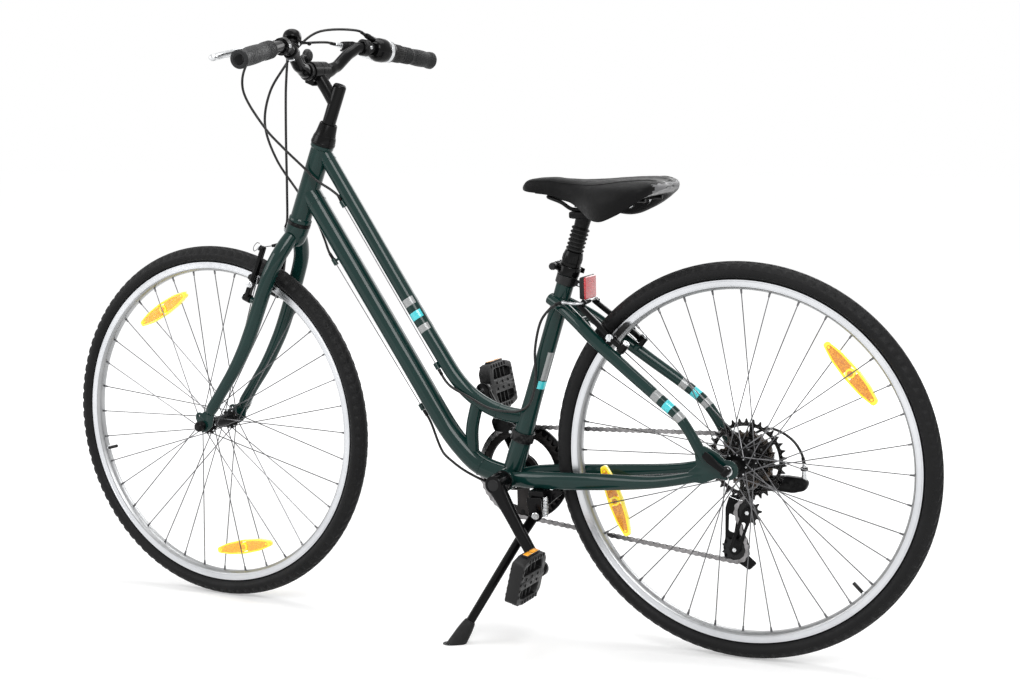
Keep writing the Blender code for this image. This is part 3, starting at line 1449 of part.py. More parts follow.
def make_cranks():
    left = crank_arm(1, -X)
    left.append(cylinder("boss", 0.0185, CRANK_AXIS + Y * 0.0420, CRANK_AXIS + Y * CRANK_BOSS_OUT, 12, 0.0165))
    bore = cylinder("bore", SPINDLE_RADIUS + CLEAR, CRANK_AXIS + Y * 0.03, CRANK_AXIS + Y * (0.0640 + CLEAR), 12)
    fit(together("crank_arm_left", left, (bore,)), crank, "black_metal")
    right = crank_arm(-1, X)
    right.append(cylinder("boss", 0.0185, CRANK_AXIS - Y * CRANK_BOSS_IN, CRANK_AXIS - Y * CRANK_BOSS_OUT, 12, 0.0165))
    right.append(cylinder("spindle", SPINDLE_RADIUS, CRANK_AXIS - Y * 0.0600, CRANK_AXIS + Y * 0.0640, 12))
    fit(together("crank_arm_right", right), crank, "black_metal")


def window(start, end, inner, outer):
    """A window in a chainring, between two of its arms."""
    return arc((0, 0), outer, start, end, 4) + arc((0, 0), inner, end - 8, start + 8, 2)


def make_chainring():
    """The toothed ring with its guard outside it, on four arms."""
    at = CRANK_AXIS + Y * RING_SIDE
    angle = pin_angle((CRANK_AXIS.x, CRANK_AXIS.z), RING_RADIUS)
    windows = [window(12 + 90 * k, 78 + 90 * k, 0.0340, 0.0680) for k in range(4)]
    ring = plate("ring", sprocket(RING_TEETH, angle), PLATE_THICK, side_on(at), windows)
    turned_about(ring, at, Y, -REST_CRANK)
    guard_at = at - Y * 0.0062
    guard = plate("guard", circle((0, 0), 0.0920, 24), 0.0024, side_on(guard_at), windows)
    turned_about(guard, at, Y, -REST_CRANK)
    pieces = [ring, guard]
    pieces.append(cylinder("boss", 0.0240, at + Y * 0.0010, CRANK_AXIS - Y * (CRANK_BOSS_IN - CLEAR), 12))
    bore = cylinder("bore", SPINDLE_RADIUS + CLEAR, at + Y * 0.02, at - Y * 0.02, 12)
    fit(together("chainring", pieces, (bore,)), crank, "black_metal")


def make_pedal(side, centre, parent, name):
    """A flat pedal: a cage about the barrel that turns on the spindle."""
    inner = CRANK_INNER + CRANK_THICK + 0.0050
    outer = PEDAL_OUTER + 0.0075
    outline = [(-0.0300, inner), (0.0300, inner), (0.0440, inner + 0.016), (0.0440, outer - 0.026), (0.0370, outer)]
    outline += [(-0.0370, outer), (-0.0440, outer - 0.026), (-0.0440, inner + 0.016)]
    windows = []
    for end in (1, -1):
        edges = [(0.0125, inner + 0.0150), (0.0350, inner + 0.0200), (0.0350, outer - 0.0280), (0.0300, outer - 0.0120)]
        edges += [(0.0125, outer - 0.0120)]
        windows.append([(x * end, y) for x, y in edges])
    matrix = placed(centre, Z * side, X)
    cage = plate("cage", outline, 0.0240, matrix, windows)
    barrel = cylinder("barrel", 0.0125, centre + Y * (side * (inner - 0.003)), centre + Y * (side * (outer - 0.004)), 8)
    lens_left = block("lens", (0.006, 0.050, 0.012), centre + Y * (side * (inner + outer) / 2) + X * 0.0445)
    lens_right = block("lens", (0.006, 0.050, 0.012), centre + Y * (side * (inner + outer) / 2) - X * 0.0445)
    bore = cylinder("bore", 0.0045 + RUNNING, centre, centre + Y * (side * (PEDAL_OUTER + 0.0010)), 8)
    fit(together(name, (cage, barrel, lens_left, lens_right), (bore,)), parent, "black_plastic")


def make_chain_keeper():
    """A band on the seat tube that carries a plate beside the top of the chain."""
    low = 0.0740
    high = 0.0920
    band = cylinder("band", 0.0215, on_seat(low), on_seat(high), 12)
    middle = on_seat((low + high) / 2)
    plate_at = Vector((CRANK_AXIS.x + 0.0320, RING_SIDE + 0.0072, CRANK_AXIS.z + RING_RADIUS + 0.0060))
    arm = rod("arm", flowing([middle - Y * 0.0190, middle - Y * 0.030 + X * 0.018, plate_at - X * 0.010], 4), 0.0045, 6)
    outline = [(-0.0200, -0.0200), (0.0200, -0.0160), (0.0260, 0.0020), (0.0160, 0.0160), (-0.0180, 0.0120)]
    guide = plate("guide", outline, 0.0022, side_on(plate_at))
    cover = block("cover", (0.040, 0.0130, 0.0030), plate_at + Z * 0.0125 - Y * 0.0060)
    bore = cylinder("bore", SEAT_TUBE_FOOT_RADIUS + CLEAR, on_seat(low - 0.02), on_seat(high + 0.02), 12)
    fit(together("chain_keeper", (band, arm, guide, cover), (bore,)), bike, "black_metal")


derailleur_slide = pivot("derailleur_slide", bike, Vector((0.0, -0.0680, -0.0450)), Y)
CAGE_PIVOT = Vector((KNUCKLE[0], COG_SIDE, KNUCKLE[1]))
derailleur_cage_axis = pivot("derailleur_cage_axis", derailleur_slide, CAGE_PIVOT, Y)
GUIDE_AT = Vector((GUIDE_PULLEY[0], COG_SIDE, GUIDE_PULLEY[1]))
LOWER_AT = Vector((LOWER_PULLEY[0], COG_SIDE, LOWER_PULLEY[1]))
jockey_upper_axis = pivot("jockey_upper_axis", derailleur_cage_axis, GUIDE_AT, Y)
jockey_lower_axis = pivot("jockey_lower_axis", derailleur_cage_axis, LOWER_AT, Y)
HANGER_FOOT = -0.0360


def make_derailleur():
    out = DROPOUT_INNER + DROPOUT_THICK + CLEAR
    outline = arc((0.0, 0.0), 0.0115, 160, 0, 6) + [(0.0060, -0.0130), (-0.0050, HANGER_FOOT), (-0.0300, HANGER_FOOT)]
    outline += [(-0.0280, -0.0220), (-0.0120, -0.0080)]
    hole = circle((0.0, 0.0), REAR_AXLE_RADIUS + CLEAR, 12)
    side = -(out + HANGER_THICK / 2)
    hanger = plate("hanger", outline, HANGER_THICK, side_on(Y * side), (hole,))
    boss = block("boss", (0.0240, 0.0160, 0.0120), Vector((-0.0175, -0.0690, HANGER_FOOT + 0.0060)))
    fit(together("derailleur_bracket", (hanger, boss)), bike, "black_metal")
    top = HANGER_FOOT - CLEAR
    shape = [(-0.0050, top), (-0.0320, top), (-0.0600, -0.0340), (-0.0900, -0.0360), (-0.0980, -0.0440)]
    shape += [(-0.0920, -0.0580), (-0.0700, -0.0640), (-0.0400, -0.0620), (-0.0100, -0.0660), (0.0060, -0.0560)]
    body = plate("body", shape, 0.0130, side_on(Y * -0.0690))
    knuckle_at = Vector((KNUCKLE[0], 0.0, KNUCKLE[1]))
    knuckle = cylinder("knuckle", 0.0135, knuckle_at - Y * 0.0470, knuckle_at - Y * 0.0740, 12)
    link = plate("link", [(-0.0300, -0.0400), (0.0100, -0.0480), (0.0280, -0.0720), (0.0100, -0.0880), (-0.0100, -0.0640), (-0.0340, -0.0560)], 0.0110, side_on(Y * -0.0680))
    barrel_at = Vector((-0.0890, -0.0690, -0.0400))
    barrel = cylinder("barrel", 0.0045, barrel_at, barrel_at + Z * 0.0270, 8)
    collar = cylinder("collar", 0.0062, barrel_at + Z * 0.0170, barrel_at + Z * 0.0230, 8)
    fit(together("derailleur_linkage", (body, knuckle, link, barrel, collar)), derailleur_slide, "black_metal")
    along = (LOWER_AT - GUIDE_AT).normalized()
    across = along.cross(Y) * -1.0
    if across.x < 0:
        across = across * -1.0
    outer = ((-0.0130, 0.0433), (0.0111, 0.0427), (0.0632, 0.0254), (0.0788, 0.0244), (0.0996, 0.0143))
    outer += ((0.0965, -0.0142), (0.1003, -0.0344), (0.0826, -0.0433), (0.0749, -0.0218), (0.0521, -0.0090))
    outer += ((0.0364, 0.0060), (0.0150, 0.0060), (0.0100, -0.0090), (-0.0057, -0.0108), (-0.0123, -0.0020))
    outer += ((-0.0269, 0.0142),)
    matrix = placed(GUIDE_AT, along.cross(across), along)
    face = matrix.to_3x3() @ Vector((0.0, 0.0, 1.0))
    outward = -0.0055 if face.y > 0 else 0.0055
    far = Matrix.Translation((0.0, 0.0, outward))
    near = Matrix.Translation((0.0, 0.0, -outward))
    flip = 1.0 if (matrix.to_3x3() @ Vector((0.0, 1.0, 0.0))).dot(across) > 0 else -1.0
    outer_plate = plate("outer", [(a, b * flip) for a, b in outer], 0.0016, matrix @ far)
    inner_outline = arc((0.0, 0.0), 0.0095, 90, 270, 5) + arc((CAGE_LENGTH, 0.0), 0.0095, -90, 90, 5)
    inner_plate = plate("inner", inner_outline, 0.0016, matrix @ near)
    pieces = [outer_plate, inner_plate]
    for at in (GUIDE_AT, LOWER_AT):
        pieces.append(cylinder("bolt", 0.0025, at - Y * 0.0075, at + Y * 0.0072, 6))
    fit(together("derailleur_cage", pieces), derailleur_cage_axis, "black_metal")
    for name, at, parent in (
        ("jockey_wheel_upper", GUIDE_AT, jockey_upper_axis),
        ("jockey_wheel_lower", LOWER_AT, jockey_lower_axis),
    ):
        angle = pin_angle((at.x, at.z), PULLEY_RADIUS)
        teeth = plate("teeth", sprocket(PULLEY_TEETH, angle), PLATE_THICK, side_on(at))
        hub = cylinder("hub", 0.0075, at - Y * 0.0042, at + Y * 0.0042, 8)
        bore = cylinder("bore", 0.0025 + RUNNING, at - Y * 0.02, at + Y * 0.02, 8)
        fit(together(name, (teeth, hub), (bore,)), parent, "black_plastic")


def brake_arm(name, at, up, axis, side, height, top_out, wheel, pad_up, parent, anchor):
    """A cantilever arm on its stud, with its pad facing the rim's side."""
    matrix = placed(at, (Y * side).cross(up), Y * side)
    face = 0.0080
    middle = Matrix.Translation(axis * face)
    path = ((0.0, -0.0060, 0.0060), (0.0, 0.0, 0.0080), (0.0030, 0.0120, 0.0065), (0.0015, pad_up, 0.0075))
    path += ((top_out * 0.45, height * 0.62, 0.0055), (top_out, height, 0.0050))
    outline = [(x + w, y) for x, y, w in path] + [(x - w, y) for x, y, w in reversed(path)]
    arm = plate("arm", outline, 0.0090, middle @ matrix)
    hub = cylinder("hub", BRAKE_HUB_RADIUS, at, at + axis * 0.0165, 10)
    pad_side = RIM_HALF_WIDTH + PAD_GAP + 0.0050
    pad_at = at + up * pad_up + axis * face + Y * (side * pad_side - at.y)
    radial = (pad_at - wheel - Y * (side * pad_side)).normalized()
    pad = block("pad", (0.0580, 0.0100, 0.0100), pad_at, radial, radial.cross(Y))
    post = cylinder("post", 0.0045, pad_at + Y * (side * 0.003), pad_at + Y * (abs(at.y) - pad_side + 0.0130) * side, 6)
    top = at + up * (height - 0.0060) + Y * (side * top_out) + axis * face
    pieces = [arm, hub, pad, post]
    if anchor:
        pieces.append(cylinder("anchor", 0.0055, top, top + axis * 0.0110, 6))
    else:
        pieces.append(block("holder", (0.0100, 0.0060, 0.0120), holder_place(at, up, axis, side, height, top_out), axis, up))
    bore = cylinder("bore", PIVOT_STUD_RADIUS + CLEAR, at - axis * 0.02, at + axis * 0.03, 8)
    cutters = [bore]
    if not anchor:
        seat = holder_place(at, up, axis, side, height, top_out)
        cutters.append(cylinder("wire_hole", 0.0018, seat - Y * 0.02, seat + Y * 0.02, 5))
    fit(together(name, pieces, cutters), parent, "black_metal")


def holder_place(at, up, axis, side, height, top_out):
    """The middle of the block at an arm's top that the cable's bent pipe rests in."""
    return at + up * (height - 0.0060) + Y * (side * top_out) + axis * 0.0165


def make_brakes():
    for side, hand, top_out in ((1, "left", -0.0030), (-1, "right", FRONT_HOLDER_OUT)):
        at = on_head(FORK_BRAKE_ALONG, FORK_BRAKE_FORWARD, side * FORK_BRAKE_SIDE)
        axis = HEAD_FORWARD
        joint = pivot("front_brake_" + hand + "_axis", steering, at, axis)
        name = "front_brake_arm_" + hand
        brake_arm(name, at, HEAD_UP, axis, side, FRONT_ARM, top_out, FRONT_AXLE, 0.0293, joint, hand == "left")
    for side, hand, top_out in ((1, "left", REAR_HOLDER_OUT), (-1, "right", -0.0160)):
        at = rear_brake_pivot(side)
        joint = pivot("rear_brake_" + hand + "_axis", bike, at, REAR_BRAKE_AXIS)
        name = "rear_brake_arm_" + hand
        up = REAR_BRAKE_UP
        brake_arm(name, at, up, REAR_BRAKE_AXIS, side, REAR_ARM, top_out, REAR_AXLE, 0.0274, joint, hand == "right")


def make_cables():
    """Each cable is one held piece: housing, bare wire and bent pipe follow one another by their radius."""
    housing = CABLE_RADIUS
    wire = WIRE_RADIUS
    pipe = 0.0028
    stops = cable_stops()
    gap = STOP_HALF + RUNNING

    def run(points, radius, count):
        return [(*p[:3], radius) for p in flowing([tuple(p) for p in points], count)]

    def left_turn(point):
        """Where a point of the straight-ahead steering lies at rest."""
        turn = Matrix.Rotation(REST_STEER, 3, HEAD_UP)
        return STEER_POINT + turn @ (point - STEER_POINT)

    start, end = barrel_line(-1)
    leave = (end - start).normalized()
    first = left_turn(end + leave * 0.0012)
    ahead = left_turn(end + leave * 0.025)
    points = [first, ahead, (0.9180, -0.0250, 0.7300), (0.9430, 0.0200, 0.7180), (0.9595, 0.0400, 0.6900)]
    points += [(0.9629, 0.0450, 0.6495), (0.9243, 0.0350, 0.5780), (0.8864, 0.0300, 0.5384)]
    points += [(0.8500, 0.0270, 0.5060), (0.8215, 0.0250, 0.4800), (0.7990, 0.0130, 0.4620)]
    points += [stops[0][0] - stops[0][1] * 0.018, stops[0][0] - stops[0][1] * gap]
    path = run(points, housing, 12)
    path.append((*(stops[0][0] - stops[0][1] * (gap - 0.0003)), wire))
    path.append((*(stops[1][0] + stops[1][1] * (gap - 0.0003)), wire))
    points = [stops[1][0] + stops[1][1] * gap, stops[1][0] + stops[1][1] * 0.030]
    points += [(0.5560, 0.0150, 0.1030), (0.5150, 0.0200, 0.0860), (0.4750, 0.0220, 0.0690)]
    points += [(0.4347, 0.0240, 0.0655)]
    points += [(0.4135, 0.0250, 0.0680), (0.3922, 0.0250, 0.0817), (0.3790, 0.0240, 0.1261), (0.3797, 0.0220, 0.1805)]
    points += [(0.3656, 0.0260, 0.2318), (0.3459, 0.0340, 0.2545), (0.3296, 0.0380, 0.2660), (0.3188, 0.0385, 0.2698)]
    path += run(points, housing, 13)
    seat = holder_place(rear_brake_pivot(1), REAR_BRAKE_UP, REAR_BRAKE_AXIS, 1, REAR_ARM, REAR_HOLDER_OUT)
    far = rear_brake_pivot(-1) + REAR_BRAKE_UP * (REAR_ARM - 0.0060) + REAR_BRAKE_AXIS * 0.0165 + Y * 0.0160
    path += bent_pipe(seat, Vector((0.3130, 0.0395, 0.2710)), SEAT_FORWARD, 1, far, pipe)
    fit(rod("rear_brake_cable", path, sides=6), bike, "rubber")

    start, end = spout_line()
    leave = (end - start).normalized()
    first = left_turn(end + leave * 0.0012)
    ahead = left_turn(end + leave * 0.020)
    points = [first, ahead, (0.8700, -0.0850, 0.7550), (0.8908, -0.0450, 0.7300), (0.9065, -0.0150, 0.6918)]
    points += [(0.9261, 0.0100, 0.6442), (0.9440, 0.0050, 0.5827), (0.9340, -0.0140, 0.5166), (0.8990, -0.0285, 0.4550)]
    points += [(0.8600, -0.0300, 0.4000), (0.8330, -0.0140, 0.3640)]
    points += [stops[2][0] - stops[2][1] * 0.022, stops[2][0] - stops[2][1] * gap]
    path = run(points, housing, 12)
    path.append((*(stops[2][0] - stops[2][1] * (gap - 0.0003)), wire))
    path.append((*(stops[3][0] + stops[3][1] * (gap - 0.0003)), wire))
    points = [stops[3][0] + stops[3][1] * gap, stops[3][0] + stops[3][1] * 0.030]
    points += [(0.5852, 0.0, -0.0249), (0.5668, 0.0, -0.0406), (0.5357, -0.0020, -0.0600), (0.4800, -0.0160, -0.0850)]
    points += [(0.4443, -0.0230, -0.0885), (0.3950, -0.0305, -0.0770), (0.3290, -0.0360, -0.0725)]
    points += [(0.2500, -0.0420, -0.0660), (0.1362, -0.0575, -0.0495), (0.0700, -0.0740, -0.0360)]
    points += [(0.0450, -0.0835, -0.0130), (0.0150, -0.0830, 0.0260), (-0.0200, -0.0790, 0.0450)]
    points += [(-0.0496, -0.0720, 0.0404), (-0.0720, -0.0700, 0.0250), (-0.0850, -0.0690, 0.0050)]
    points.append((-0.0890, -0.0690, -0.0116))
    path += run(points, housing, 20)
    fit(rod("shift_cable", path, sides=6), bike, "rubber")

    start, end = barrel_line(1)
    leave = (end - start).normalized()
    points = [end + leave * 0.0012, end + leave * 0.020, (0.8871, 0.0201, 0.6400), (0.9050, -0.0006, 0.5535)]
    points += [(0.9140, -0.0110, 0.4580)]
    at = on_head(FORK_BRAKE_ALONG, FORK_BRAKE_FORWARD, -FORK_BRAKE_SIDE)
    seat = holder_place(at, HEAD_UP, HEAD_FORWARD, -1, FRONT_ARM, FRONT_HOLDER_OUT)
    top = seat + HEAD_UP * 0.0320 + HEAD_FORWARD * 0.0060 - Y * 0.0060
    path = run(points + [top + HEAD_UP * 0.0100], housing, 10)
    far = on_head(FORK_BRAKE_ALONG + FRONT_ARM - 0.0060, FORK_BRAKE_FORWARD + 0.0165, FORK_BRAKE_SIDE - 0.0030)
    path += bent_pipe(seat, top, HEAD_UP, -1, far, pipe)
    fit(rod("front_brake_cable", path, sides=6), steering, "rubber")


def bent_pipe(seat, top, up, side, far, radius):
    """The bent pipe into a brake arm's top, then its sleeve and the bare wire to the other arm's bolt."""
    corner = seat + Y * (side * 0.0120) + (top - seat) * 0.25
    face = seat + Y * (side * (0.0030 + RUNNING))
    inner = seat - Y * (side * (0.0030 + CLEAR))
    gap = far - seat
    sleeve = seat + gap.normalized() * 0.0280
    bolt = far - gap.normalized() * (0.0055 + CLEAR)
    path = [(*p[:3], radius) for p in flowing([tuple(top), tuple(corner), tuple(face + Y * (side * 0.0010))], 4)]
    path.append((*face, radius))
    path.append((*face, WIRE_RADIUS))
    path.append((*inner, WIRE_RADIUS))
    path.append((*(inner + gap.normalized() * 0.0010), 0.0036))
    path.append((*sleeve, 0.0032))
    path.append((*(sleeve + gap.normalized() * 0.0020), WIRE_RADIUS))
    path.append((*bolt, WIRE_RADIUS))
    return path


FRONT_ARM = 0.1070
REAR_ARM = 0.1120
FRONT_HOLDER_OUT = -0.0170
REAR_HOLDER_OUT = -0.0060


CLAMP_LOW = 0.3965
CLAMP_HIGH = 0.4130
BAND_LOW = 0.3790
BAND_HIGH = 0.3950
NUT_LOW = CLAMP_HIGH + CLEAR
NUT_HIGH = 0.4395
BOOT_HIGH = 0.4850
HEAD_ALONG = 0.5070
post_slide = pivot("post_slide", bike, on_seat(SEAT_TUBE_TOP), SEAT_UP)
suspension_slide = pivot("suspension_slide", post_slide, on_seat(NUT_HIGH), SEAT_UP)
CLAMP_BOLT = on_seat((CLAMP_LOW + CLAMP_HIGH) / 2, 0.0245)
clamp_lever_axis = pivot("clamp_lever_axis", bike, CLAMP_BOLT - Y * 0.0180, SEAT_UP)


def make_seat_clamp():
    ring = cylinder("ring", 0.0200, on_seat(CLAMP_LOW), on_seat(CLAMP_HIGH), 12)
    ears = block("ears", (0.0120, 0.0160, 0.0140), CLAMP_BOLT - SEAT_FORWARD * 0.0020, SEAT_UP, SEAT_FORWARD)
    bolt = cylinder("bolt", 0.0028, CLAMP_BOLT - Y * 0.0125, CLAMP_BOLT + Y * 0.0120, 6)
    nut = cylinder("nut", 0.0068, CLAMP_BOLT + Y * 0.0110, CLAMP_BOLT + Y * 0.0240, 8, 0.0060)
    bore = cylinder("bore", SEAT_TUBE_RADIUS + CLEAR, on_seat(CLAMP_LOW - 0.01), on_seat(CLAMP_HIGH + 0.01), 12)
    slit = block("slit", (0.0300, 0.0016, 0.0300), CLAMP_BOLT, SEAT_UP, SEAT_FORWARD)
    fit(together("seat_clamp", (ring, ears, nut), (bore, slit), (bolt,)), bike, "black_metal")
    at = CLAMP_BOLT - Y * 0.0180
    barrel = cylinder("barrel", 0.0050, at - SEAT_UP * 0.0065, at + SEAT_UP * 0.0065, 10)
    path = [at - SEAT_FORWARD * 0.002, at - SEAT_FORWARD * 0.0160 - Y * 0.0080, at - SEAT_FORWARD * 0.0420 - Y * 0.0100]
    arm = oval_tube("arm", list(zip(path, (0.0050, 0.0055, 0.0045), (0.0026, 0.0022, 0.0018))), 6, SEAT_UP)
    fit(together("seat_clamp_lever", (barrel, arm)), clamp_lever_axis, "black_metal")


def make_rear_reflector():
    ring = cylinder("ring", 0.0190, on_seat(BAND_LOW), on_seat(BAND_HIGH), 12)
    middle = on_seat(0.3880, -0.0450)
    arm = block("arm", (0.0220, 0.0100, 0.0100), on_seat((BAND_LOW + BAND_HIGH) / 2, -0.0280), SEAT_UP, SEAT_FORWARD)
    back = -X
    holder = block("holder", (0.0380, 0.0460, 0.0080), middle + X * 0.0055, back, Z)
    lens = block("lens", (0.0420, 0.0500, 0.0070), middle, back, Z, 0.0025)
    bore = cylinder("bore", SEAT_TUBE_RADIUS + CLEAR, on_seat(BAND_LOW - 0.01), on_seat(BAND_HIGH + 0.01), 12)
    fit(together("rear_reflector", (ring, arm, holder, lens), (bore,)), bike, "red_lens")


def make_seatpost():
    profile = (
        (0.0, POST_BOTTOM),
        (POST_RADIUS, POST_BOTTOM),
        (POST_RADIUS, NUT_LOW),
        (0.0178, NUT_LOW),
        (0.0178, NUT_HIGH - 0.0080),
        (0.0160, NUT_HIGH),
        (SHAFT_BORE, NUT_HIGH),
        (SHAFT_BORE, SHAFT_BOTTOM - SUSPENSION_TRAVEL - 0.0050),
        (0.0, SHAFT_BOTTOM - SUSPENSION_TRAVEL - 0.0050),
    )
    fit(turned("seatpost", profile, CRANK_AXIS, SEAT_UP, 12), post_slide, "black_metal")
    head = cylinder("head", 0.0130, on_seat(BOOT_HIGH + CLEAR), on_seat(HEAD_ALONG), 12, 0.0145)
    shaft = cylinder("shaft", SHAFT_RADIUS, on_seat(SHAFT_BOTTOM), on_seat(HEAD_ALONG - 0.002), 12)
    rail = rail_middle()
    cradle = block("cradle", (0.0440, 0.0580, 0.0120), rail - Z * (RAIL_RADIUS + CLEAR + 0.0060))
    yoke = block("yoke", (0.0300, 0.0520, 0.0044), rail + Z * (RAIL_RADIUS + CLEAR + 0.0022) - X * 0.0030)
    column = cylinder("column", 0.0100, rail - Z * 0.0080, rail + Z * 0.0050, 8)
    fit(together("seatpost_shaft", (shaft, head, cradle, yoke, column)), suspension_slide, "black_metal")
    ribs = 6
    low = NUT_HIGH + CLEAR
    step = (BOOT_HIGH - low) / ribs
    profile = [(0.0108, BOOT_HIGH), (0.0108, low)]
    for k in range(ribs):
        profile += [(0.0128, low + step * k), (0.0162, low + step * (k + 0.5))]
    profile.append((0.0128, BOOT_HIGH))
    boot = turned("seatpost_boot", profile, CRANK_AXIS, SEAT_UP, 10, ring=True)
    fit(boot, suspension_slide, "rubber", 20.0)


SHAFT_BOTTOM = 0.3300
RAIL_RADIUS = 0.0035
RAIL_SIDE = 0.0220
RAIL_HEIGHT = 0.4330


def rail_middle():
    level = (RAIL_HEIGHT + CRANK_AXIS_DROP) / SEAT_UP.z
    point = on_seat(level)
    return Vector((point.x, 0.0, RAIL_HEIGHT))


# Saddle stations: forward place, half width, top, skirt's lower edge
SADDLE_STATIONS = (
    (0.4040, 0.0060, 0.4720, 0.4650),
    (0.3930, 0.0165, 0.4815, 0.4625),
    (0.3500, 0.0225, 0.4870, 0.4580),
    (0.3200, 0.0255, 0.4850, 0.4510),
    (0.2940, 0.0350, 0.4835, 0.4420),
    (0.2700, 0.0530, 0.4835, 0.4300),
    (0.2480, 0.0710, 0.4845, 0.4190),
    (0.2240, 0.0850, 0.4860, 0.4170),
    (0.1960, 0.0915, 0.4875, 0.4270),
    (0.1680, 0.0900, 0.4880, 0.4420),
    (0.1460, 0.0800, 0.4870, 0.4570),
    (0.1320, 0.0600, 0.4830, 0.4660),
    (0.1270, 0.0400, 0.4770, 0.4690),
)
SADDLE_DEPTH = 0.0290


def make_saddle():
    rings = []
    for x, wide, top, low in SADDLE_STATIONS:
        height = top - low
        under = max(low + 0.0020, min(top - SADDLE_DEPTH, top - height * 0.45))
        skirt = min(0.0060, wide * 0.35)
        half = [
            (0.0, top - 0.0015 * min(1.0, wide / 0.05)),
            (wide * 0.36, top),
            (wide * 0.66, top - height * 0.06),
            (wide * 0.88, top - height * 0.22),
            (wide, top - height * 0.50),
            (wide * 0.985, low + height * 0.18),
            (wide * 0.94, low),
            (wide * 0.94 - skirt, low + 0.0010),
            (wide * 0.60, under),
            (0.0, under),
        ]
        ring = [Vector((x, y, z)) for y, z in half]
        ring += [Vector((x, -y, z)) for y, z in reversed(half[1:-1])]
        rings.append(ring)
    fit(loft("saddle_cushion", rings), suspension_slide, "saddle_skin", 60.0)
    base = []
    for x, wide, top, low in SADDLE_STATIONS[2:11]:
        height = top - low
        under = max(low + 0.0020, min(top - SADDLE_DEPTH, top - height * 0.45)) - CLEAR * 2
        out = wide * 0.56
        ring = [(out, under), (-out, under), (-out * 0.95, under - BASE_THICK), (out * 0.95, under - BASE_THICK)]
        base.append([Vector((x, y, z)) for y, z in ring])
    fit(loft("saddle_base", base), suspension_slide, "black_plastic")
    middle = rail_middle()
    half = [
        (0.3560, 0.0000, saddle_floor(0.3560)),
        (0.3520, 0.0085, saddle_floor(0.3520)),
        (0.3220, 0.0190, 0.4440),
        (0.3060, RAIL_SIDE, 0.4350),
        (middle.x + 0.0160, RAIL_SIDE, RAIL_HEIGHT),
        (middle.x - 0.0200, RAIL_SIDE, RAIL_HEIGHT),
        (0.2350, 0.0250, 0.4360),
        (0.2050, 0.0320, 0.4450),
        (0.1700, 0.0380, saddle_floor(0.1700)),
        (0.1560, 0.0390, saddle_floor(0.1560)),
    ]
    path = [(x, y, z) for x, y, z in reversed(half)] + [(x, -y, z) for x, y, z in half[1:]]
    fit(rod("saddle_rails", path, RAIL_RADIUS, 6), suspension_slide, "black_metal")


BASE_THICK = 0.0035


def saddle_floor(x):
    """The height of a rail's centre where it lies against the saddle's base."""
    for high, low in zip(SADDLE_STATIONS, SADDLE_STATIONS[1:]):
        if x >= low[0]:
            break
    t = (x - low[0]) / (high[0] - low[0])
    found = []
    for station in (low, high):
        height = station[2] - station[3]
        found.append(max(station[3] + 0.0020, min(station[2] - SADDLE_DEPTH, station[2] - height * 0.45)))
    return found[0] + (found[1] - found[0]) * t - CLEAR * 3 - BASE_THICK - RAIL_RADIUS


stand_axis = pivot("stand_axis", bike, STAND_PIVOT, STAND_AXIS)


def ground_plane():
    """World up in the frame of the bike, and the height of the ground along it."""
    up = Vector((0.0, -sin(LEAN), cos(LEAN)))
    bpy.context.view_layer.update()
    for _ in range(4):
        lows = []
        for name in ("tyre_rear", "tyre_front"):
            obj = bpy.data.objects[name]
            points = [obj.matrix_world @ v.co for v in obj.data.vertices]
            lows.append(min(points, key=lambda p: p.dot(up)))
        tilt = (lows[1] - lows[0]).dot(up) / WHEELBASE
        up = (up - X * tilt).normalized()
    return up, lows[0].dot(up)


def stand_on_ground():
    """Leans the bike onto its stand, with the origin on the ground below the middle of its outline."""
    up = ground_plane()[0]
    bike.matrix_basis = up.rotation_difference(Z).to_matrix().to_4x4()
    bpy.context.view_layer.update()
    points = [obj.matrix_world @ v.co for obj in PARTS.objects if obj.type == "MESH" for v in obj.data.vertices]
    low = Vector([min(p[i] for p in points) for i in range(3)])
    high = Vector([max(p[i] for p in points) for i in range(3)])
    shift = Vector(((low.x + high.x) / 2, (low.y + high.y) / 2, low.z))
    bike.matrix_basis = Matrix.Translation(-shift) @ bike.matrix_basis
    bpy.context.view_layer.update()


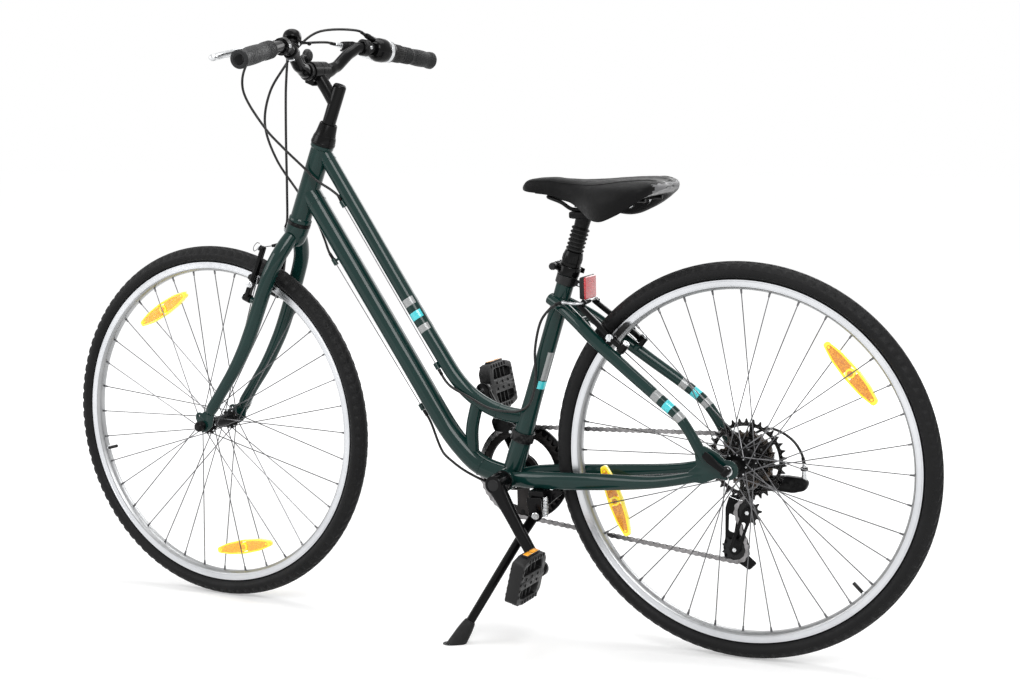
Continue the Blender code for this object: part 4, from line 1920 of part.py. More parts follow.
def make_stand():
    up, floor = ground_plane()
    down = (STAND_FOOT - STAND_PIVOT).normalized()
    wide = (STAND_AXIS - down * STAND_AXIS.dot(down)).normalized()
    reach = (floor - STAND_PIVOT.dot(up)) / down.dot(up)
    sole = STAND_PIVOT + down * reach
    square = (down - STAND_AXIS * down.dot(STAND_AXIS)).normalized()
    stations = [(STAND_PIVOT, 0.0052, 0.0090), (STAND_PIVOT + square * 0.0300, 0.0052, 0.0088)]
    stations.append((STAND_PIVOT + square * 0.0440 + (STAND_FOOT - STAND_PIVOT - square * 0.044) * 0.06, 0.0052, 0.0084))
    stations.append((STAND_PIVOT + down * (reach - 0.030), 0.0050, 0.0080))
    leg = oval_tube("leg", stations, 8, wide)
    eye = cylinder("eye", 0.0120, STAND_PIVOT - STAND_AXIS * 0.0055, STAND_PIVOT + STAND_AXIS * 0.0055, 10)
    foot_stations = []
    for along, half in ((reach - 0.045, 0.0095), (reach - 0.030, 0.0125), (reach + 0.020, 0.0165)):
        foot_stations.append((STAND_PIVOT + down * along, half, half * 1.05))
    foot = oval_tube("foot", foot_stations, 8, wide)
    cut = block("ground", (0.20, 0.20, 0.06), sole - up * 0.03, up, X)
    hole = cylinder("hole", 0.0047, STAND_PIVOT - STAND_AXIS * 0.02, STAND_PIVOT + STAND_AXIS * 0.02, 8)
    fit(together("kickstand_leg", (leg, eye, foot), (cut, hole)), stand_axis, "black_metal")
    top = stay_underside()
    body = block("body", (0.0300, 0.0310, 0.0130), top + (STAND_PIVOT - top).normalized() * 0.0070)
    cheek_high = STAND_PIVOT + STAND_AXIS * 0.0086
    cheek_low = STAND_PIVOT - STAND_AXIS * 0.0086
    pieces = [body]
    for cheek in (cheek_high, cheek_low):
        pieces.append(cylinder("cheek", 0.0125, cheek - STAND_AXIS * 0.0025, cheek + STAND_AXIS * 0.0025, 10))
        matrix = placed(cheek, STAND_AXIS, X)
        web = [(-0.0125, 0.0), (0.0125, 0.0), (0.0130, 0.0360), (-0.0130, 0.0360)]
        facing = matrix.to_3x3() @ Vector((0.0, 1.0, 0.0))
        if facing.z < 0:
            web = [(x, -y) for x, y in web]
        pieces.append(plate("web", web, 0.0050, matrix))
    pin = cylinder("pin", 0.0040, cheek_low - STAND_AXIS * 0.0045, cheek_high + STAND_AXIS * 0.0045, 6)
    gusset = [(-0.0120, 0.0), (-0.0450, 0.0), (-0.0420, -0.0060), (-0.0150, -0.0280)]
    pieces.append(plate("gusset", gusset, 0.0040, side_on(top - Z * 0.0010 - Y * 0.003)))
    stay_cut = block("stay_cut", (0.16, 0.10, 0.06), top + stay_normal() * 0.0300, stay_normal(), X)
    relief = block("relief", (0.08, 0.02, 0.04), STAND_PIVOT + Y * 0.0275 + Z * 0.0300)
    fit(together("kickstand_bracket", pieces, (stay_cut, relief), (pin,)), bike, "black_metal")


def make_stand_spring():
    """The coil spring that holds the stand up or down, hooked behind its leg."""
    low = STAND_PIVOT + Vector((-0.0220, 0.0095, -0.0030))
    high = STAND_PIVOT + Vector((-0.0230, 0.0095, 0.0310))
    along = (high - low).normalized()
    frame = axes(along, X)
    length = (high - low).length
    turns = 4
    radius = 0.0042
    wire = 0.0008
    points = []
    steps = turns * 8
    for k in range(steps + 1):
        angle = 2 * pi * k / 8
        level = length * k / steps
        points.append(low + frame.to_3x3() @ Vector((radius * cos(angle), radius * sin(angle), level)))
    pitch = length / turns
    print("Spring gap", round((pitch - 2 * wire) * 1000, 2), "mm")
    fit(rod("kickstand_spring", points, wire, 6), bike, "bright_metal")


def stay_run():
    """Two points along the middle of the left chain stay's underside."""
    flat = cos(pi / 8)
    near = bowed(CRANK_AXIS, REAR_AXLE, ((0.110, 0.0020 + 0.0153 * flat),))[0]
    far = bowed(CRANK_AXIS, REAR_AXLE, ((0.434, 0.0116 + 0.0150 * flat),))[0]
    return near, far


def stay_underside():
    """The point below the left chain stay that the kickstand's bracket is fixed to."""
    near, far = stay_run()
    return near + (far - near) * 0.17 - stay_normal() * CLEAR + Y * 0.0395


def stay_normal():
    near, far = stay_run()
    return Y.cross((far - near).normalized()).normalized()


make_frame()
make_headset()
make_fork()
make_stem()
make_bar()
make_grips()
for hand_side, hand in ((1, "left"), (-1, "right")):
    make_lever(hand_side, hand)
make_shifter()
make_bell()
make_front_reflector()
make_front_hub()
make_rear_hub()
make_freewheel()
make_chain()
make_bottom_bracket()
make_cranks()
make_chainring()
pedal_left_axis = pivot("pedal_left_axis", crank, PEDAL_LEFT, Y, radians(-46.6))
pedal_right_axis = pivot("pedal_right_axis", crank, PEDAL_RIGHT, Y, radians(-22.0))
make_pedal(1, PEDAL_LEFT, pedal_left_axis, "pedal_left")
make_pedal(-1, PEDAL_RIGHT, pedal_right_axis, "pedal_right")
make_chain_keeper()
make_derailleur()
make_brakes()
make_seat_clamp()
make_rear_reflector()
make_seatpost()
make_saddle()
make_stand()
make_stand_spring()
make_cables()
stand_on_ground()
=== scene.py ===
"""The looks of the step-through city bike, standing on its kickstand in a pale studio.

The shapes are drawn in the bike's own frame, as the solids are: the origin is on the rear axle, +X points
forward, +Y to the rider's left and +Z up, in metres. Each is then set to the pose that the bike stands in.
"""

import json
from math import asin, atan2, cos, degrees, hypot, pi, radians, sin

import bmesh
import bpy
from mathutils import Matrix, Vector, noise

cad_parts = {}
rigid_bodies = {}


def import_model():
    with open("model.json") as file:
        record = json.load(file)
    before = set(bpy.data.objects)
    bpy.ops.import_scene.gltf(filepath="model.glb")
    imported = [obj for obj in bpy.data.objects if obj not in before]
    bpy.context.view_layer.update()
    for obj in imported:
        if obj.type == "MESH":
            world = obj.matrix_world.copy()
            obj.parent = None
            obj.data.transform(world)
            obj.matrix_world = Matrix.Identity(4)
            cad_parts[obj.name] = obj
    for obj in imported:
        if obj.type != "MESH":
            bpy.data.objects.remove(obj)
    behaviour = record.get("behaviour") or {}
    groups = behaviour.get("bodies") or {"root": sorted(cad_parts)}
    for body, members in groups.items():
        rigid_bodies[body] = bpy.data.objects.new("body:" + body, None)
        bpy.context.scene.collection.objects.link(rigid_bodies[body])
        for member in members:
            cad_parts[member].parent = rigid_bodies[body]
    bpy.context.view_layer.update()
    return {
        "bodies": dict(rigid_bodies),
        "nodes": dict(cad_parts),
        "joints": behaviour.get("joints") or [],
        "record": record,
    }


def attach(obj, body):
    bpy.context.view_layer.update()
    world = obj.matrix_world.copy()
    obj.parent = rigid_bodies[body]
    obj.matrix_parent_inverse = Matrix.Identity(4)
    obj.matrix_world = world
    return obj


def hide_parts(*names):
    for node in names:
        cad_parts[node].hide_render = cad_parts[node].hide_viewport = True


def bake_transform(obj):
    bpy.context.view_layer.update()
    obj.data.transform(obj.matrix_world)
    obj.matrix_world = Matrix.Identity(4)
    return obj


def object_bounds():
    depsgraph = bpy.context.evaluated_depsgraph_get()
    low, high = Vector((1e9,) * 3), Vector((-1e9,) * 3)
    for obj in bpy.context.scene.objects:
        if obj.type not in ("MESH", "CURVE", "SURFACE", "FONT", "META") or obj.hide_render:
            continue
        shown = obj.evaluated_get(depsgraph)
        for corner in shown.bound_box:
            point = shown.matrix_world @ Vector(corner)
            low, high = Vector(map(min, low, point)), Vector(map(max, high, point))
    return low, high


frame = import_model()

# Frame geometry
WHEELBASE = 1.0876
HEAD_ANGLE = radians(68.35)
FORK_OFFSET = 0.0468
SEAT_ANGLE = radians(72.0)
CRANK_AXIS_FORWARD = 0.4443
CRANK_AXIS_DROP = 0.0610
REST_STEER = radians(-3.12)
REST_CRANK = radians(-57.0)
# Clearances
CLEAR = 0.0003
RUNNING = 0.0006
# Head tube and steering
HEAD_BOTTOM = 0.4304
HEAD_TOP = 0.5864
HEAD_RADIUS = 0.0198
HEAD_BORE = 0.0165
STEERER_RADIUS = 0.0143
STEERER_TOP = 0.6270
QUILL_RADIUS = 0.0127
STEM_TOP = 0.7050
STEM_JOINT = 0.6690
BAR_ALONG = 0.7085
BAR_FORWARD = 0.0582
BAR_RADIUS = 0.0111
BAR_CLAMP_RADIUS = 0.0127
BAR_HALF_WIDTH = 0.3090
BAR_RISE = 0.0500
BAR_SWEEP = 0.0466
GRIP_RADIUS = 0.0150
GRIP_END_RADIUS = 0.0168
# Seat tube and saddle
SEAT_TUBE_TOP = 0.4050
SEAT_TUBE_RADIUS = 0.0159
SEAT_TUBE_FOOT_RADIUS = 0.0185
SEAT_BORE = 0.0139
POST_RADIUS = 0.0136
POST_BOTTOM = 0.1600
SHAFT_RADIUS = 0.0098
SHAFT_BORE = 0.0102
SUSPENSION_TRAVEL = 0.0400
# Frame tubes
TOP_TUBE_RADIUS = 0.01425
DOWN_TUBE_RADIUS = 0.0190
STRUT_RADIUS = 0.0120
SHELL_RADIUS = 0.0205
SHELL_HALF = 0.0340
SHELL_BORE = 0.0170
DROPOUT_INNER = 0.0675
DROPOUT_THICK = 0.0060
FORK_INNER = 0.0500
FORK_TIP_THICK = 0.0050
# Wheels
TYRE_RADIUS = 0.3478
RIM_RADIUS = 0.3175
RIM_HALF_WIDTH = 0.0123
RIM_INNER = 0.2998
SPOKES = 36
REAR_AXLE_RADIUS = 0.0050
FRONT_AXLE_RADIUS = 0.0045
# Drive
PITCH = 0.0127
RING_TEETH = 42
RING_SIDE = -0.0460
CRANK_LENGTH = 0.1700
CRANK_INNER = 0.0725
CRANK_THICK = 0.0130
SPINDLE_RADIUS = 0.0085
COGS = (34, 24, 22, 20, 18, 16, 14)
COG_FIRST_SIDE = -0.0240
COG_STEP = -0.0050
CHAIN_COG = 20
CHAIN_LINKS = 112
PULLEY_TEETH = 11
GUIDE_PULLEY = (0.0030, -0.0980)
CAGE_LENGTH = 0.0727
PLATE_THICK = 0.0019
# Brakes
PIVOT_STUD_RADIUS = 0.0040
BRAKE_HUB_RADIUS = 0.0080
PAD_GAP = 0.0020
CABLE_RADIUS = 0.0024
WIRE_RADIUS = 0.0009
STOP_RADIUS = 0.0046
STOP_BORE = 0.0019
STOP_HALF = 0.0065
# One seat stay: share of its length, bow in the bike's plane, and distance out from the middle
SEAT_STAY_PATH = (
    (-0.040, 0.0, 0.010),
    (0.036, -0.0061, 0.0190),
    (0.128, -0.0098, 0.0340),
    (0.239, -0.0097, 0.0450),
    (0.412, -0.0114, 0.0550),
    (0.600, -0.0143, 0.0655),
    (0.708, -0.0138, 0.0675),
    (0.779, -0.0058, 0.0670),
    (0.887, 0.0119, 0.0680),
    (0.915, 0.0150, 0.0690),
)
# Where the brake arms' studs sit on the seat stays and on the fork
REAR_BRAKE_SHARE = 0.3480
FORK_BRAKE_ALONG = 0.2609
FORK_BRAKE_SIDE = 0.0450
FORK_BRAKE_FORWARD = 0.0263
# Controls on the handlebar
GRIP_GAP = 0.0004
LEFT_GRIP_LENGTH = 0.1260
RIGHT_GRIP_LENGTH = 0.0860
RING_WIDTH = 0.0250
SHIFTER_WIDTH = 0.0480
LEVER_PIVOT_REACH = 0.0270
LEVER_LENGTH = 0.1520
BELL_ACROSS = 0.300
REFLECTOR_SIDE = 0.0290
# Wheel reflectors, hubs and release levers
REFLECTOR_RADIUS = 0.2530
FRONT_FLANGE = 0.0345
FRONT_FLANGE_RADIUS = 0.0195
REAR_FLANGE_LEFT = 0.0350
REAR_FLANGE_RIGHT = -0.0180
REAR_FLANGE_RADIUS = 0.0220
FLANGE_THICK = 0.0030
QR_BARREL_RADIUS = 0.0060
# Derailleur hanger, chain, cranks and pedals
HANGER_THICK = 0.0032
KNUCKLE = (0.0180, -0.0800)
CHAIN_INNER_GAP = 0.0017
CHAIN_PLATE = 0.0009
PEDAL_OUTER = 0.1790
CRANK_BOSS_IN = 0.0536
CRANK_BOSS_OUT = 0.0745
HANGER_FOOT = -0.0360
# Length of the brake arms, and how far out their cable holders sit
FRONT_ARM = 0.1070
REAR_ARM = 0.1120
FRONT_HOLDER_OUT = -0.0170
REAR_HOLDER_OUT = -0.0060
# Places along the seat tube and the post, from the crank's axis
CLAMP_LOW = 0.3965
CLAMP_HIGH = 0.4130
BAND_LOW = 0.3790
BAND_HIGH = 0.3950
NUT_HIGH = 0.4395
BOOT_HIGH = 0.4850
HEAD_ALONG = 0.5070
SHAFT_BOTTOM = 0.3300
# Saddle rails
RAIL_RADIUS = 0.0035
RAIL_SIDE = 0.0220
RAIL_HEIGHT = 0.4330
# Saddle stations: forward place, half width, top, skirt's lower edge
SADDLE_STATIONS = (
    (0.4040, 0.0060, 0.4720, 0.4650),
    (0.3930, 0.0165, 0.4815, 0.4625),
    (0.3500, 0.0225, 0.4870, 0.4580),
    (0.3200, 0.0255, 0.4850, 0.4510),
    (0.2940, 0.0350, 0.4835, 0.4420),
    (0.2700, 0.0530, 0.4835, 0.4300),
    (0.2480, 0.0710, 0.4845, 0.4190),
    (0.2240, 0.0850, 0.4860, 0.4170),
    (0.1960, 0.0915, 0.4875, 0.4270),
    (0.1680, 0.0900, 0.4880, 0.4420),
    (0.1460, 0.0800, 0.4870, 0.4570),
    (0.1320, 0.0600, 0.4830, 0.4660),
    (0.1270, 0.0400, 0.4770, 0.4690),
)
SADDLE_DEPTH = 0.0290
BASE_THICK = 0.0035
# How fine the round shapes are
ROUND = 28
# The pairs of knots that each round of a smooth curve mixes its points between
ROUNDS = (((0, 1), (1, 2), (2, 3)), ((0, 2), (1, 3)), ((1, 2),))
# Painted bands: where each one starts, and its paint
TOP_BANDS = ((0.3280, "stripe_grey"), (0.3565, "stripe_turquoise"), (0.3840, "stripe_grey"))
STAY_BANDS = ((0.2716, "stripe_grey"), (0.2975, "stripe_turquoise"), (0.3236, "stripe_grey"))
BAND_WIDTH = 0.0155
# The angles round the seat tube that its two stripes cover, in degrees
SEAT_BAND = (25.0, 115.0)
SEAT_LINE = (34.0, 80.0)
# Sections of a tyre round the wheel
TYRE_STEPS = 648
# Half of the tyre's outside from the rim to the crown: how far below the tread's top, and how far out
TYRE_EDGE = (
    (0.0368, 0.0092),
    (0.0300, 0.0094),
    (0.0289, 0.0100),
    (0.0270, 0.0135),
    (0.0240, 0.0170),
    (0.0205, 0.0190),
    (0.0175, 0.0194),
    (0.0145, 0.0190),
    (0.0125, 0.0182),
    (0.0121, 0.0184),
    (0.0085, 0.0163),
    (0.0052, 0.0132),
    (0.0048, 0.0122),
    (0.0036, 0.0100),
    (0.0016, 0.0065),
    (0.0006, 0.0035),
    (0.0004, 0.0025),
    (0.0, 0.0),
)
# Directions and points that the shapes are placed by
X = Vector((1.0, 0.0, 0.0))
Y = Vector((0.0, 1.0, 0.0))
Z = Vector((0.0, 0.0, 1.0))
REAR_AXLE = Vector((0.0, 0.0, 0.0))
FRONT_AXLE = Vector((WHEELBASE, 0.0, 0.0))
CRANK_AXIS = Vector((CRANK_AXIS_FORWARD, 0.0, -CRANK_AXIS_DROP))
HEAD_UP = Vector((-cos(HEAD_ANGLE), 0.0, sin(HEAD_ANGLE)))
HEAD_FORWARD = Vector((sin(HEAD_ANGLE), 0.0, cos(HEAD_ANGLE)))
STEER_POINT = FRONT_AXLE - X * (FORK_OFFSET / sin(HEAD_ANGLE))
SEAT_UP = Vector((-cos(SEAT_ANGLE), 0.0, sin(SEAT_ANGLE)))
SEAT_FORWARD = Vector((sin(SEAT_ANGLE), 0.0, cos(SEAT_ANGLE)))
# The stage: the floor's glow to the camera rises with the distance from the bike
FLOOR_REACH = 60.0
FLOOR_NEAR = 1.3
FLOOR_FAR = 3.4
FLOOR_LIFT_NEAR = 0.33
FLOOR_LIFT_FAR = 0.76
WORLD_LIGHT = 0.30
# Each lamp's name, place, aim, size and power in watts
LAMPS = (
    ("key", (-2.6, 3.4, 3.6), (0.0, 0.0, 0.5), (2.4, 2.4), 130.0),
    ("fill", (3.4, 2.6, 2.2), (0.0, 0.0, 0.5), (2.6, 2.0), 66.0),
    ("top", (0.0, -0.6, 4.4), (0.0, 0.0, 0.5), (3.6, 2.2), 85.0),
    ("rear", (-0.6, -4.0, 2.4), (0.0, 0.0, 0.6), (3.0, 1.6), 52.0),
)
# The camera as it stood for the photograph, in the frame of the bike
EYE = Vector((-1.0563114778, 2.9963387024, 0.7062741569))
EYE_RIGHT = Vector((-0.89609828, -0.44312646, -0.02543253))
EYE_DOWN = Vector((-0.04469793, 0.14709999, -0.98811117))
EYE_FORWARD = Vector((0.44159933, -0.88430794, -0.15162288))
FOCAL_PIXELS = 1873.9067
PICTURE_WIDTH = 1020
SENSOR_WIDTH = 36.0


def on_head(along, forward=0.0, side=0.0):
    """A point given along the steering axis from the level of the front axle, ahead of it and to the left."""
    return STEER_POINT + HEAD_UP * along + HEAD_FORWARD * forward + Y * side


def on_seat(along, forward=0.0, side=0.0):
    """A point given along the seat tube from the crank axis, ahead of it and to the left."""
    return CRANK_AXIS + SEAT_UP * along + SEAT_FORWARD * forward + Y * side


def axes(z_axis, x_hint=None):
    """A rotation whose Z is z_axis and whose X is as near to x_hint as it can be."""
    z_axis = z_axis.normalized()
    if x_hint is None:
        x_hint = X if abs(z_axis.x) < 0.9 else Y
    y_axis = z_axis.cross(x_hint).normalized()
    x_axis = y_axis.cross(z_axis)
    return Matrix((x_axis, y_axis, z_axis)).transposed().to_4x4()


def placed(at, z_axis=Z, x_hint=None):
    """A matrix at a point, with its Z along the axis and its X near the given side."""
    return Matrix.Translation(at) @ axes(z_axis, x_hint)


def side_on(at):
    """The placing of an outline drawn forward and up: its thickness lies across the bike."""
    return placed(at, -Y, X)


# How the bike stands: it leans on its kickstand, with the ground at height zero
BIKE = Matrix(
    (
        (1.0, 2.412e-06, -8.3477e-05, -0.543696821),
        (2.412e-06, 0.998331606, 0.057738274, -0.039612204),
        (8.3477e-05, -0.057738274, 0.998331606, 0.347566217),
        (0.0, 0.0, 0.0, 1.0),
    )
)
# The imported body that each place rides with
BODY = {
    "bike": "bike",
    "steering": "steering",
    "front_wheel": "front_wheel",
    "rear_wheel": "rear_wheel",
    "freewheel_axis": "freewheel",
    "crank": "crank",
    "pedal_left_axis": "left_pedal",
    "pedal_right_axis": "right_pedal",
    "derailleur_slide": "derailleur",
    "derailleur_cage_axis": "cage",
    "jockey_upper_axis": "upper_jockey",
    "jockey_lower_axis": "lower_jockey",
    "front_brake_left_axis": "front_arm_left",
    "front_brake_right_axis": "front_arm_right",
    "rear_brake_left_axis": "rear_arm_left",
    "rear_brake_right_axis": "rear_arm_right",
    "brake_lever_left_axis": "lever_left",
    "brake_lever_right_axis": "lever_right",
    "shifter_axis": "shifter",
    "bell_lever_axis": "bell_thumb",
    "post_slide": "post",
    "suspension_slide": "saddle",
    "clamp_lever_axis": "clamp_lever",
    "stand_axis": "stand",
    "front_qr_lever_axis": "front_lever",
    "rear_qr_lever_axis": "rear_lever",
}
HOMES = {"bike": Matrix()}
WORLD = {"bike": BIKE}
bike = "bike"


def pivot(name, parent, at, axis=Z, angle=0.0, x_hint=None):
    """A place that shapes ride with: where it lies as drawn, and where it lies at rest."""
    home = placed(at, axis, x_hint)
    HOMES[name] = home
    WORLD[name] = WORLD[parent] @ HOMES[parent].inverted() @ home @ Matrix.Rotation(angle, 4, "Z")
    return name


def arc(centre, radius, start, end, count):
    """Points on an arc, in degrees."""
    found = []
    for k in range(count):
        angle = radians(start + (end - start) * k / (count - 1))
        found.append((centre[0] + radius * cos(angle), centre[1] + radius * sin(angle)))
    return found


def circle(centre, radius, count):
    """Points round a circle."""
    return arc(centre, radius, 0, 360 * (count - 1) / count, count)


def bowed(start, end, shape):
    """Points off the line from start to end, as (share of its length, offset) in the bike's plane."""
    along = end - start
    off = Vector((-along.z, 0.0, along.x)).normalized()
    return [start + along * share + off * offset for share, offset in shape]


# Places that several pieces share
PEDAL_LEFT = CRANK_AXIS - X * CRANK_LENGTH
PEDAL_RIGHT = CRANK_AXIS + X * CRANK_LENGTH
RING_RADIUS = PITCH / (2 * sin(pi / RING_TEETH))
COG_RADIUS = PITCH / (2 * sin(pi / CHAIN_COG))
PULLEY_RADIUS = PITCH / (2 * sin(pi / PULLEY_TEETH))
COG_SIDE = COG_FIRST_SIDE + COG_STEP * COGS.index(CHAIN_COG)
STAND_PIVOT = CRANK_AXIS + Vector((-0.0723, 0.0470, -0.0500))
STAND_FOOT = Vector((0.4915, 0.1413, -0.3397))
BAR_CENTRE = on_head(BAR_ALONG, BAR_FORWARD)


def bar_point(across, side):
    """A point on the bar's centre line; across is its share of the half width."""
    stations = (
        (0.0, 0.0, 0.0),
        (0.110, 0.0, 0.0),
        (0.200, 0.216, 0.0),
        (0.290, 0.676, -0.034),
        (0.369, 0.928, -0.050),
        (0.453, 0.998, 0.080),
        (1.0, 0.812, 1.0),
    )
    for low, high in zip(stations, stations[1:]):
        if across <= high[0] or high is stations[-1]:
            t = (across - low[0]) / (high[0] - low[0])
            rise = low[1] + (high[1] - low[1]) * t
            sweep = low[2] + (high[2] - low[2]) * t
            break
    return on_head(BAR_ALONG + BAR_RISE * rise, BAR_FORWARD - BAR_SWEEP * sweep,
                   side * across * BAR_HALF_WIDTH)


def grip_axis(side):
    """The bar's straight outer stretch: its end and its direction outward."""
    end = bar_point(1.0, side)
    return end, (end - bar_point(0.453, side)).normalized()


steering = pivot("steering", bike, STEER_POINT, HEAD_UP, REST_STEER)
front_wheel = pivot("front_wheel", steering, FRONT_AXLE, Y, 0.0)
rear_wheel = pivot("rear_wheel", bike, REAR_AXLE, Y, 0.0)
freewheel_axis = pivot("freewheel_axis", bike, REAR_AXLE, Y)
crank = pivot("crank", bike, CRANK_AXIS, Y, REST_CRANK)


def cable_stops():
    """Each stop's middle and the run of its wire: two below the top tube, two below the down tube."""
    top = (Vector((0.7765, 0.0080, 0.4350)), Vector((0.5880, 0.0080, 0.1385)))
    down = (Vector((0.8040, 0.0, 0.3250)), Vector((0.6270, 0.0, 0.0580)))
    found = []
    for start, end in (top, down):
        along = (end - start).normalized()
        found.append((start, along))
        found.append((end, along))
    return found


def seat_stay_point(share, side):
    """A point along one seat stay: share 0 is at the seat tube and 1 at the rear axle."""
    start = on_seat(0.3400)
    for low, high in zip(SEAT_STAY_PATH, SEAT_STAY_PATH[1:]):
        if share <= high[0]:
            break
    t = (share - low[0]) / (high[0] - low[0])
    offset = low[1] + (high[1] - low[1]) * t
    out = low[2] + (high[2] - low[2]) * t
    return bowed(start, REAR_AXLE, ((share, offset),))[0] + Y * (side * out)


REAR_BRAKE_AXIS = Vector((-0.645, 0.0, 0.764)).normalized()
REAR_BRAKE_UP = Y.cross(REAR_BRAKE_AXIS).normalized()


def rear_brake_pivot(side):
    """Where the rear brake's arm starts on its stud."""
    stay = seat_stay_point(REAR_BRAKE_SHARE, side)
    return stay + REAR_BRAKE_AXIS * 0.0135 + Y * (side * (0.0440 - stay.y * side))


STAND_AXIS = Vector((-0.27, 1.0, -0.20)).normalized()


def lever_frame(side):
    """The brake lever's pivot, its axis and its rest direction."""
    bar = bar_point(0.430, side)
    out = (grip_axis(side)[1]).normalized()
    reach = (HEAD_FORWARD * 0.930 - HEAD_UP * 0.367).normalized()
    return bar, out, reach


def lever_pivot(side):
    """The point and the axis that a brake lever turns about."""
    bar, out, reach = lever_frame(side)
    at = bar + reach * LEVER_PIVOT_REACH - out * 0.0120
    axis = out.cross(reach).normalized() * side
    return at, axis


def barrel_line(side):
    """The adjuster that the lever's cable leaves through: its two ends."""
    bar, out, reach = lever_frame(side)
    start = bar + reach * 0.0240 - out * 0.0280
    return start, start - out * 0.0220


lever_pivots = {}
for hand_side, hand in ((1, "left"), (-1, "right")):
    lever_at, lever_axis = lever_pivot(hand_side)
    lever_pivots[hand] = pivot("brake_lever_" + hand + "_axis", steering, lever_at, lever_axis)


def spout_line():
    """The shifter's cable outlet: its two ends."""
    end, out = grip_axis(-1)
    inner = -(RIGHT_GRIP_LENGTH + GRIP_GAP + RING_WIDTH + GRIP_GAP + SHIFTER_WIDTH)
    nose = end + out * (inner + 0.0080) + HEAD_UP * 0.0150 + HEAD_FORWARD * 0.0090
    return nose, nose - out * 0.0230 + HEAD_UP * 0.0060 + HEAD_FORWARD * 0.0030


SHIFTER_AT, SHIFTER_OUT = grip_axis(-1)
shifter_axis = pivot("shifter_axis", steering, SHIFTER_AT, SHIFTER_OUT)


def bell_place():
    """The bell's place on the handlebar: its point, its up and the bar's run."""
    bar = bar_point(BELL_ACROSS, 1)
    up = (HEAD_UP * 0.86 + HEAD_FORWARD * 0.51).normalized()
    along = (bar_point(BELL_ACROSS + 0.03, 1) - bar_point(BELL_ACROSS - 0.03, 1)).normalized()
    up = (up - along * up.dot(along)).normalized()
    return bar, up, along


BELL_BAR, BELL_UP, BELL_ALONG = bell_place()
BELL_LEVER_AT = BELL_BAR + BELL_UP * 0.0205 + BELL_UP.cross(BELL_ALONG) * 0.0140
bell_lever_axis = pivot("bell_lever_axis", steering, BELL_LEVER_AT, BELL_UP)


def around(centre, radius, angle, side=0.0):
    """A point about an axle: the angle runs from forward to up, in degrees."""
    return centre + X * (radius * cos(radians(angle))) + Z * (radius * sin(radians(angle))) + Y * side


REFLECTOR_EDGE = [(-0.0660, 0.0050), (-0.0660, -0.0050), (-0.0380, -0.0115), (0.0, -0.0140),
                  (0.0380, -0.0115)]
REFLECTOR_EDGE += [(-x, -y) for x, y in REFLECTOR_EDGE]


def tangent(a, b):
    """The directed line from one wheel of the chain's path to the next. A wheel is (x, z, radius, turn)."""
    dx = b[0] - a[0]
    dz = b[1] - a[1]
    reach = hypot(dx, dz)
    heading = atan2(dz, dx) - asin((b[3] * b[2] - a[3] * a[2]) / reach)
    nx = -sin(heading)
    nz = cos(heading)
    start = (a[0] - a[3] * nx * a[2], a[1] - a[3] * nz * a[2])
    end = (b[0] - b[3] * nx * b[2], b[1] - b[3] * nz * b[2])
    return start, end


def chain_route(cage_angle):
    """The chain's path as runs of (length, place at a distance along it)."""
    lower = (
        GUIDE_PULLEY[0] + CAGE_LENGTH * cos(cage_angle),
        GUIDE_PULLEY[1] + CAGE_LENGTH * sin(cage_angle),
    )
    wheels = (
        (CRANK_AXIS.x, CRANK_AXIS.z, RING_RADIUS, -1, RING_SIDE),
        (lower[0], lower[1], PULLEY_RADIUS, -1, COG_SIDE),
        (GUIDE_PULLEY[0], GUIDE_PULLEY[1], PULLEY_RADIUS, 1, COG_SIDE),
        (0.0, 0.0, COG_RADIUS, -1, COG_SIDE),
    )
    count = len(wheels)
    lines = [tangent(wheels[i], wheels[(i + 1) % count]) for i in range(count)]
    runs = []
    for i, wheel in enumerate(wheels):
        arrive = lines[i - 1][1]
        leave = lines[i][0]
        start = atan2(arrive[1] - wheel[1], arrive[0] - wheel[0])
        end = atan2(leave[1] - wheel[1], leave[0] - wheel[0])
        sweep = (end - start) * wheel[3]
        while sweep < 0:
            sweep += 2 * pi
        runs.append(("arc", sweep * wheel[2], wheel, start))
        line_start, line_end = lines[i]
        length = hypot(line_end[0] - line_start[0], line_end[1] - line_start[1])
        runs.append(("line", length, (line_start, line_end, wheel[4], wheels[(i + 1) % count][4])))
    return runs, lower


def chain_place(runs, distance):
    """The point (x, z, side) on the path."""
    total = sum(run[1] for run in runs)
    distance %= total
    for run in runs:
        if distance <= run[1]:
            break
        distance -= run[1]
    if run[0] == "arc":
        wheel, start = run[2], run[3]
        angle = start + wheel[3] * distance / wheel[2]
        return (wheel[0] + wheel[2] * cos(angle), wheel[1] + wheel[2] * sin(angle), wheel[4])
    start, end, side_start, side_end = run[2]
    t = distance / run[1]
    return (
        start[0] + (end[0] - start[0]) * t,
        start[1] + (end[1] - start[1]) * t,
        side_start + (side_end - side_start) * t,
    )


def chain_pins(cage_angle):
    """Pins one pitch apart along the path, and what is left over after the last."""
    runs, lower = chain_route(cage_angle)
    total = sum(run[1] for run in runs)
    along = 0.5 * runs[0][1]
    first = along
    pins = [chain_place(runs, along)]
    for _ in range(CHAIN_LINKS):
        low = along + PITCH * 0.99
        high = along + PITCH * 1.05
        here = pins[-1]
        for _ in range(24):
            middle = (low + high) / 2
            there = chain_place(runs, middle)
            if hypot(there[0] - here[0], there[1] - here[1]) < PITCH:
                low = middle
            else:
                high = middle
        along = (low + high) / 2
        pins.append(chain_place(runs, along))
    return pins[:-1], first + total - along, lower


def solve_cage():
    """The cage angle at which a whole number of links closes the chain."""
    low = radians(-120.0)
    high = radians(-25.0)
    for _ in range(30):
        middle = (low + high) / 2
        if chain_pins(middle)[1] > 0.0:
            low = middle
        else:
            high = middle
    return (low + high) / 2


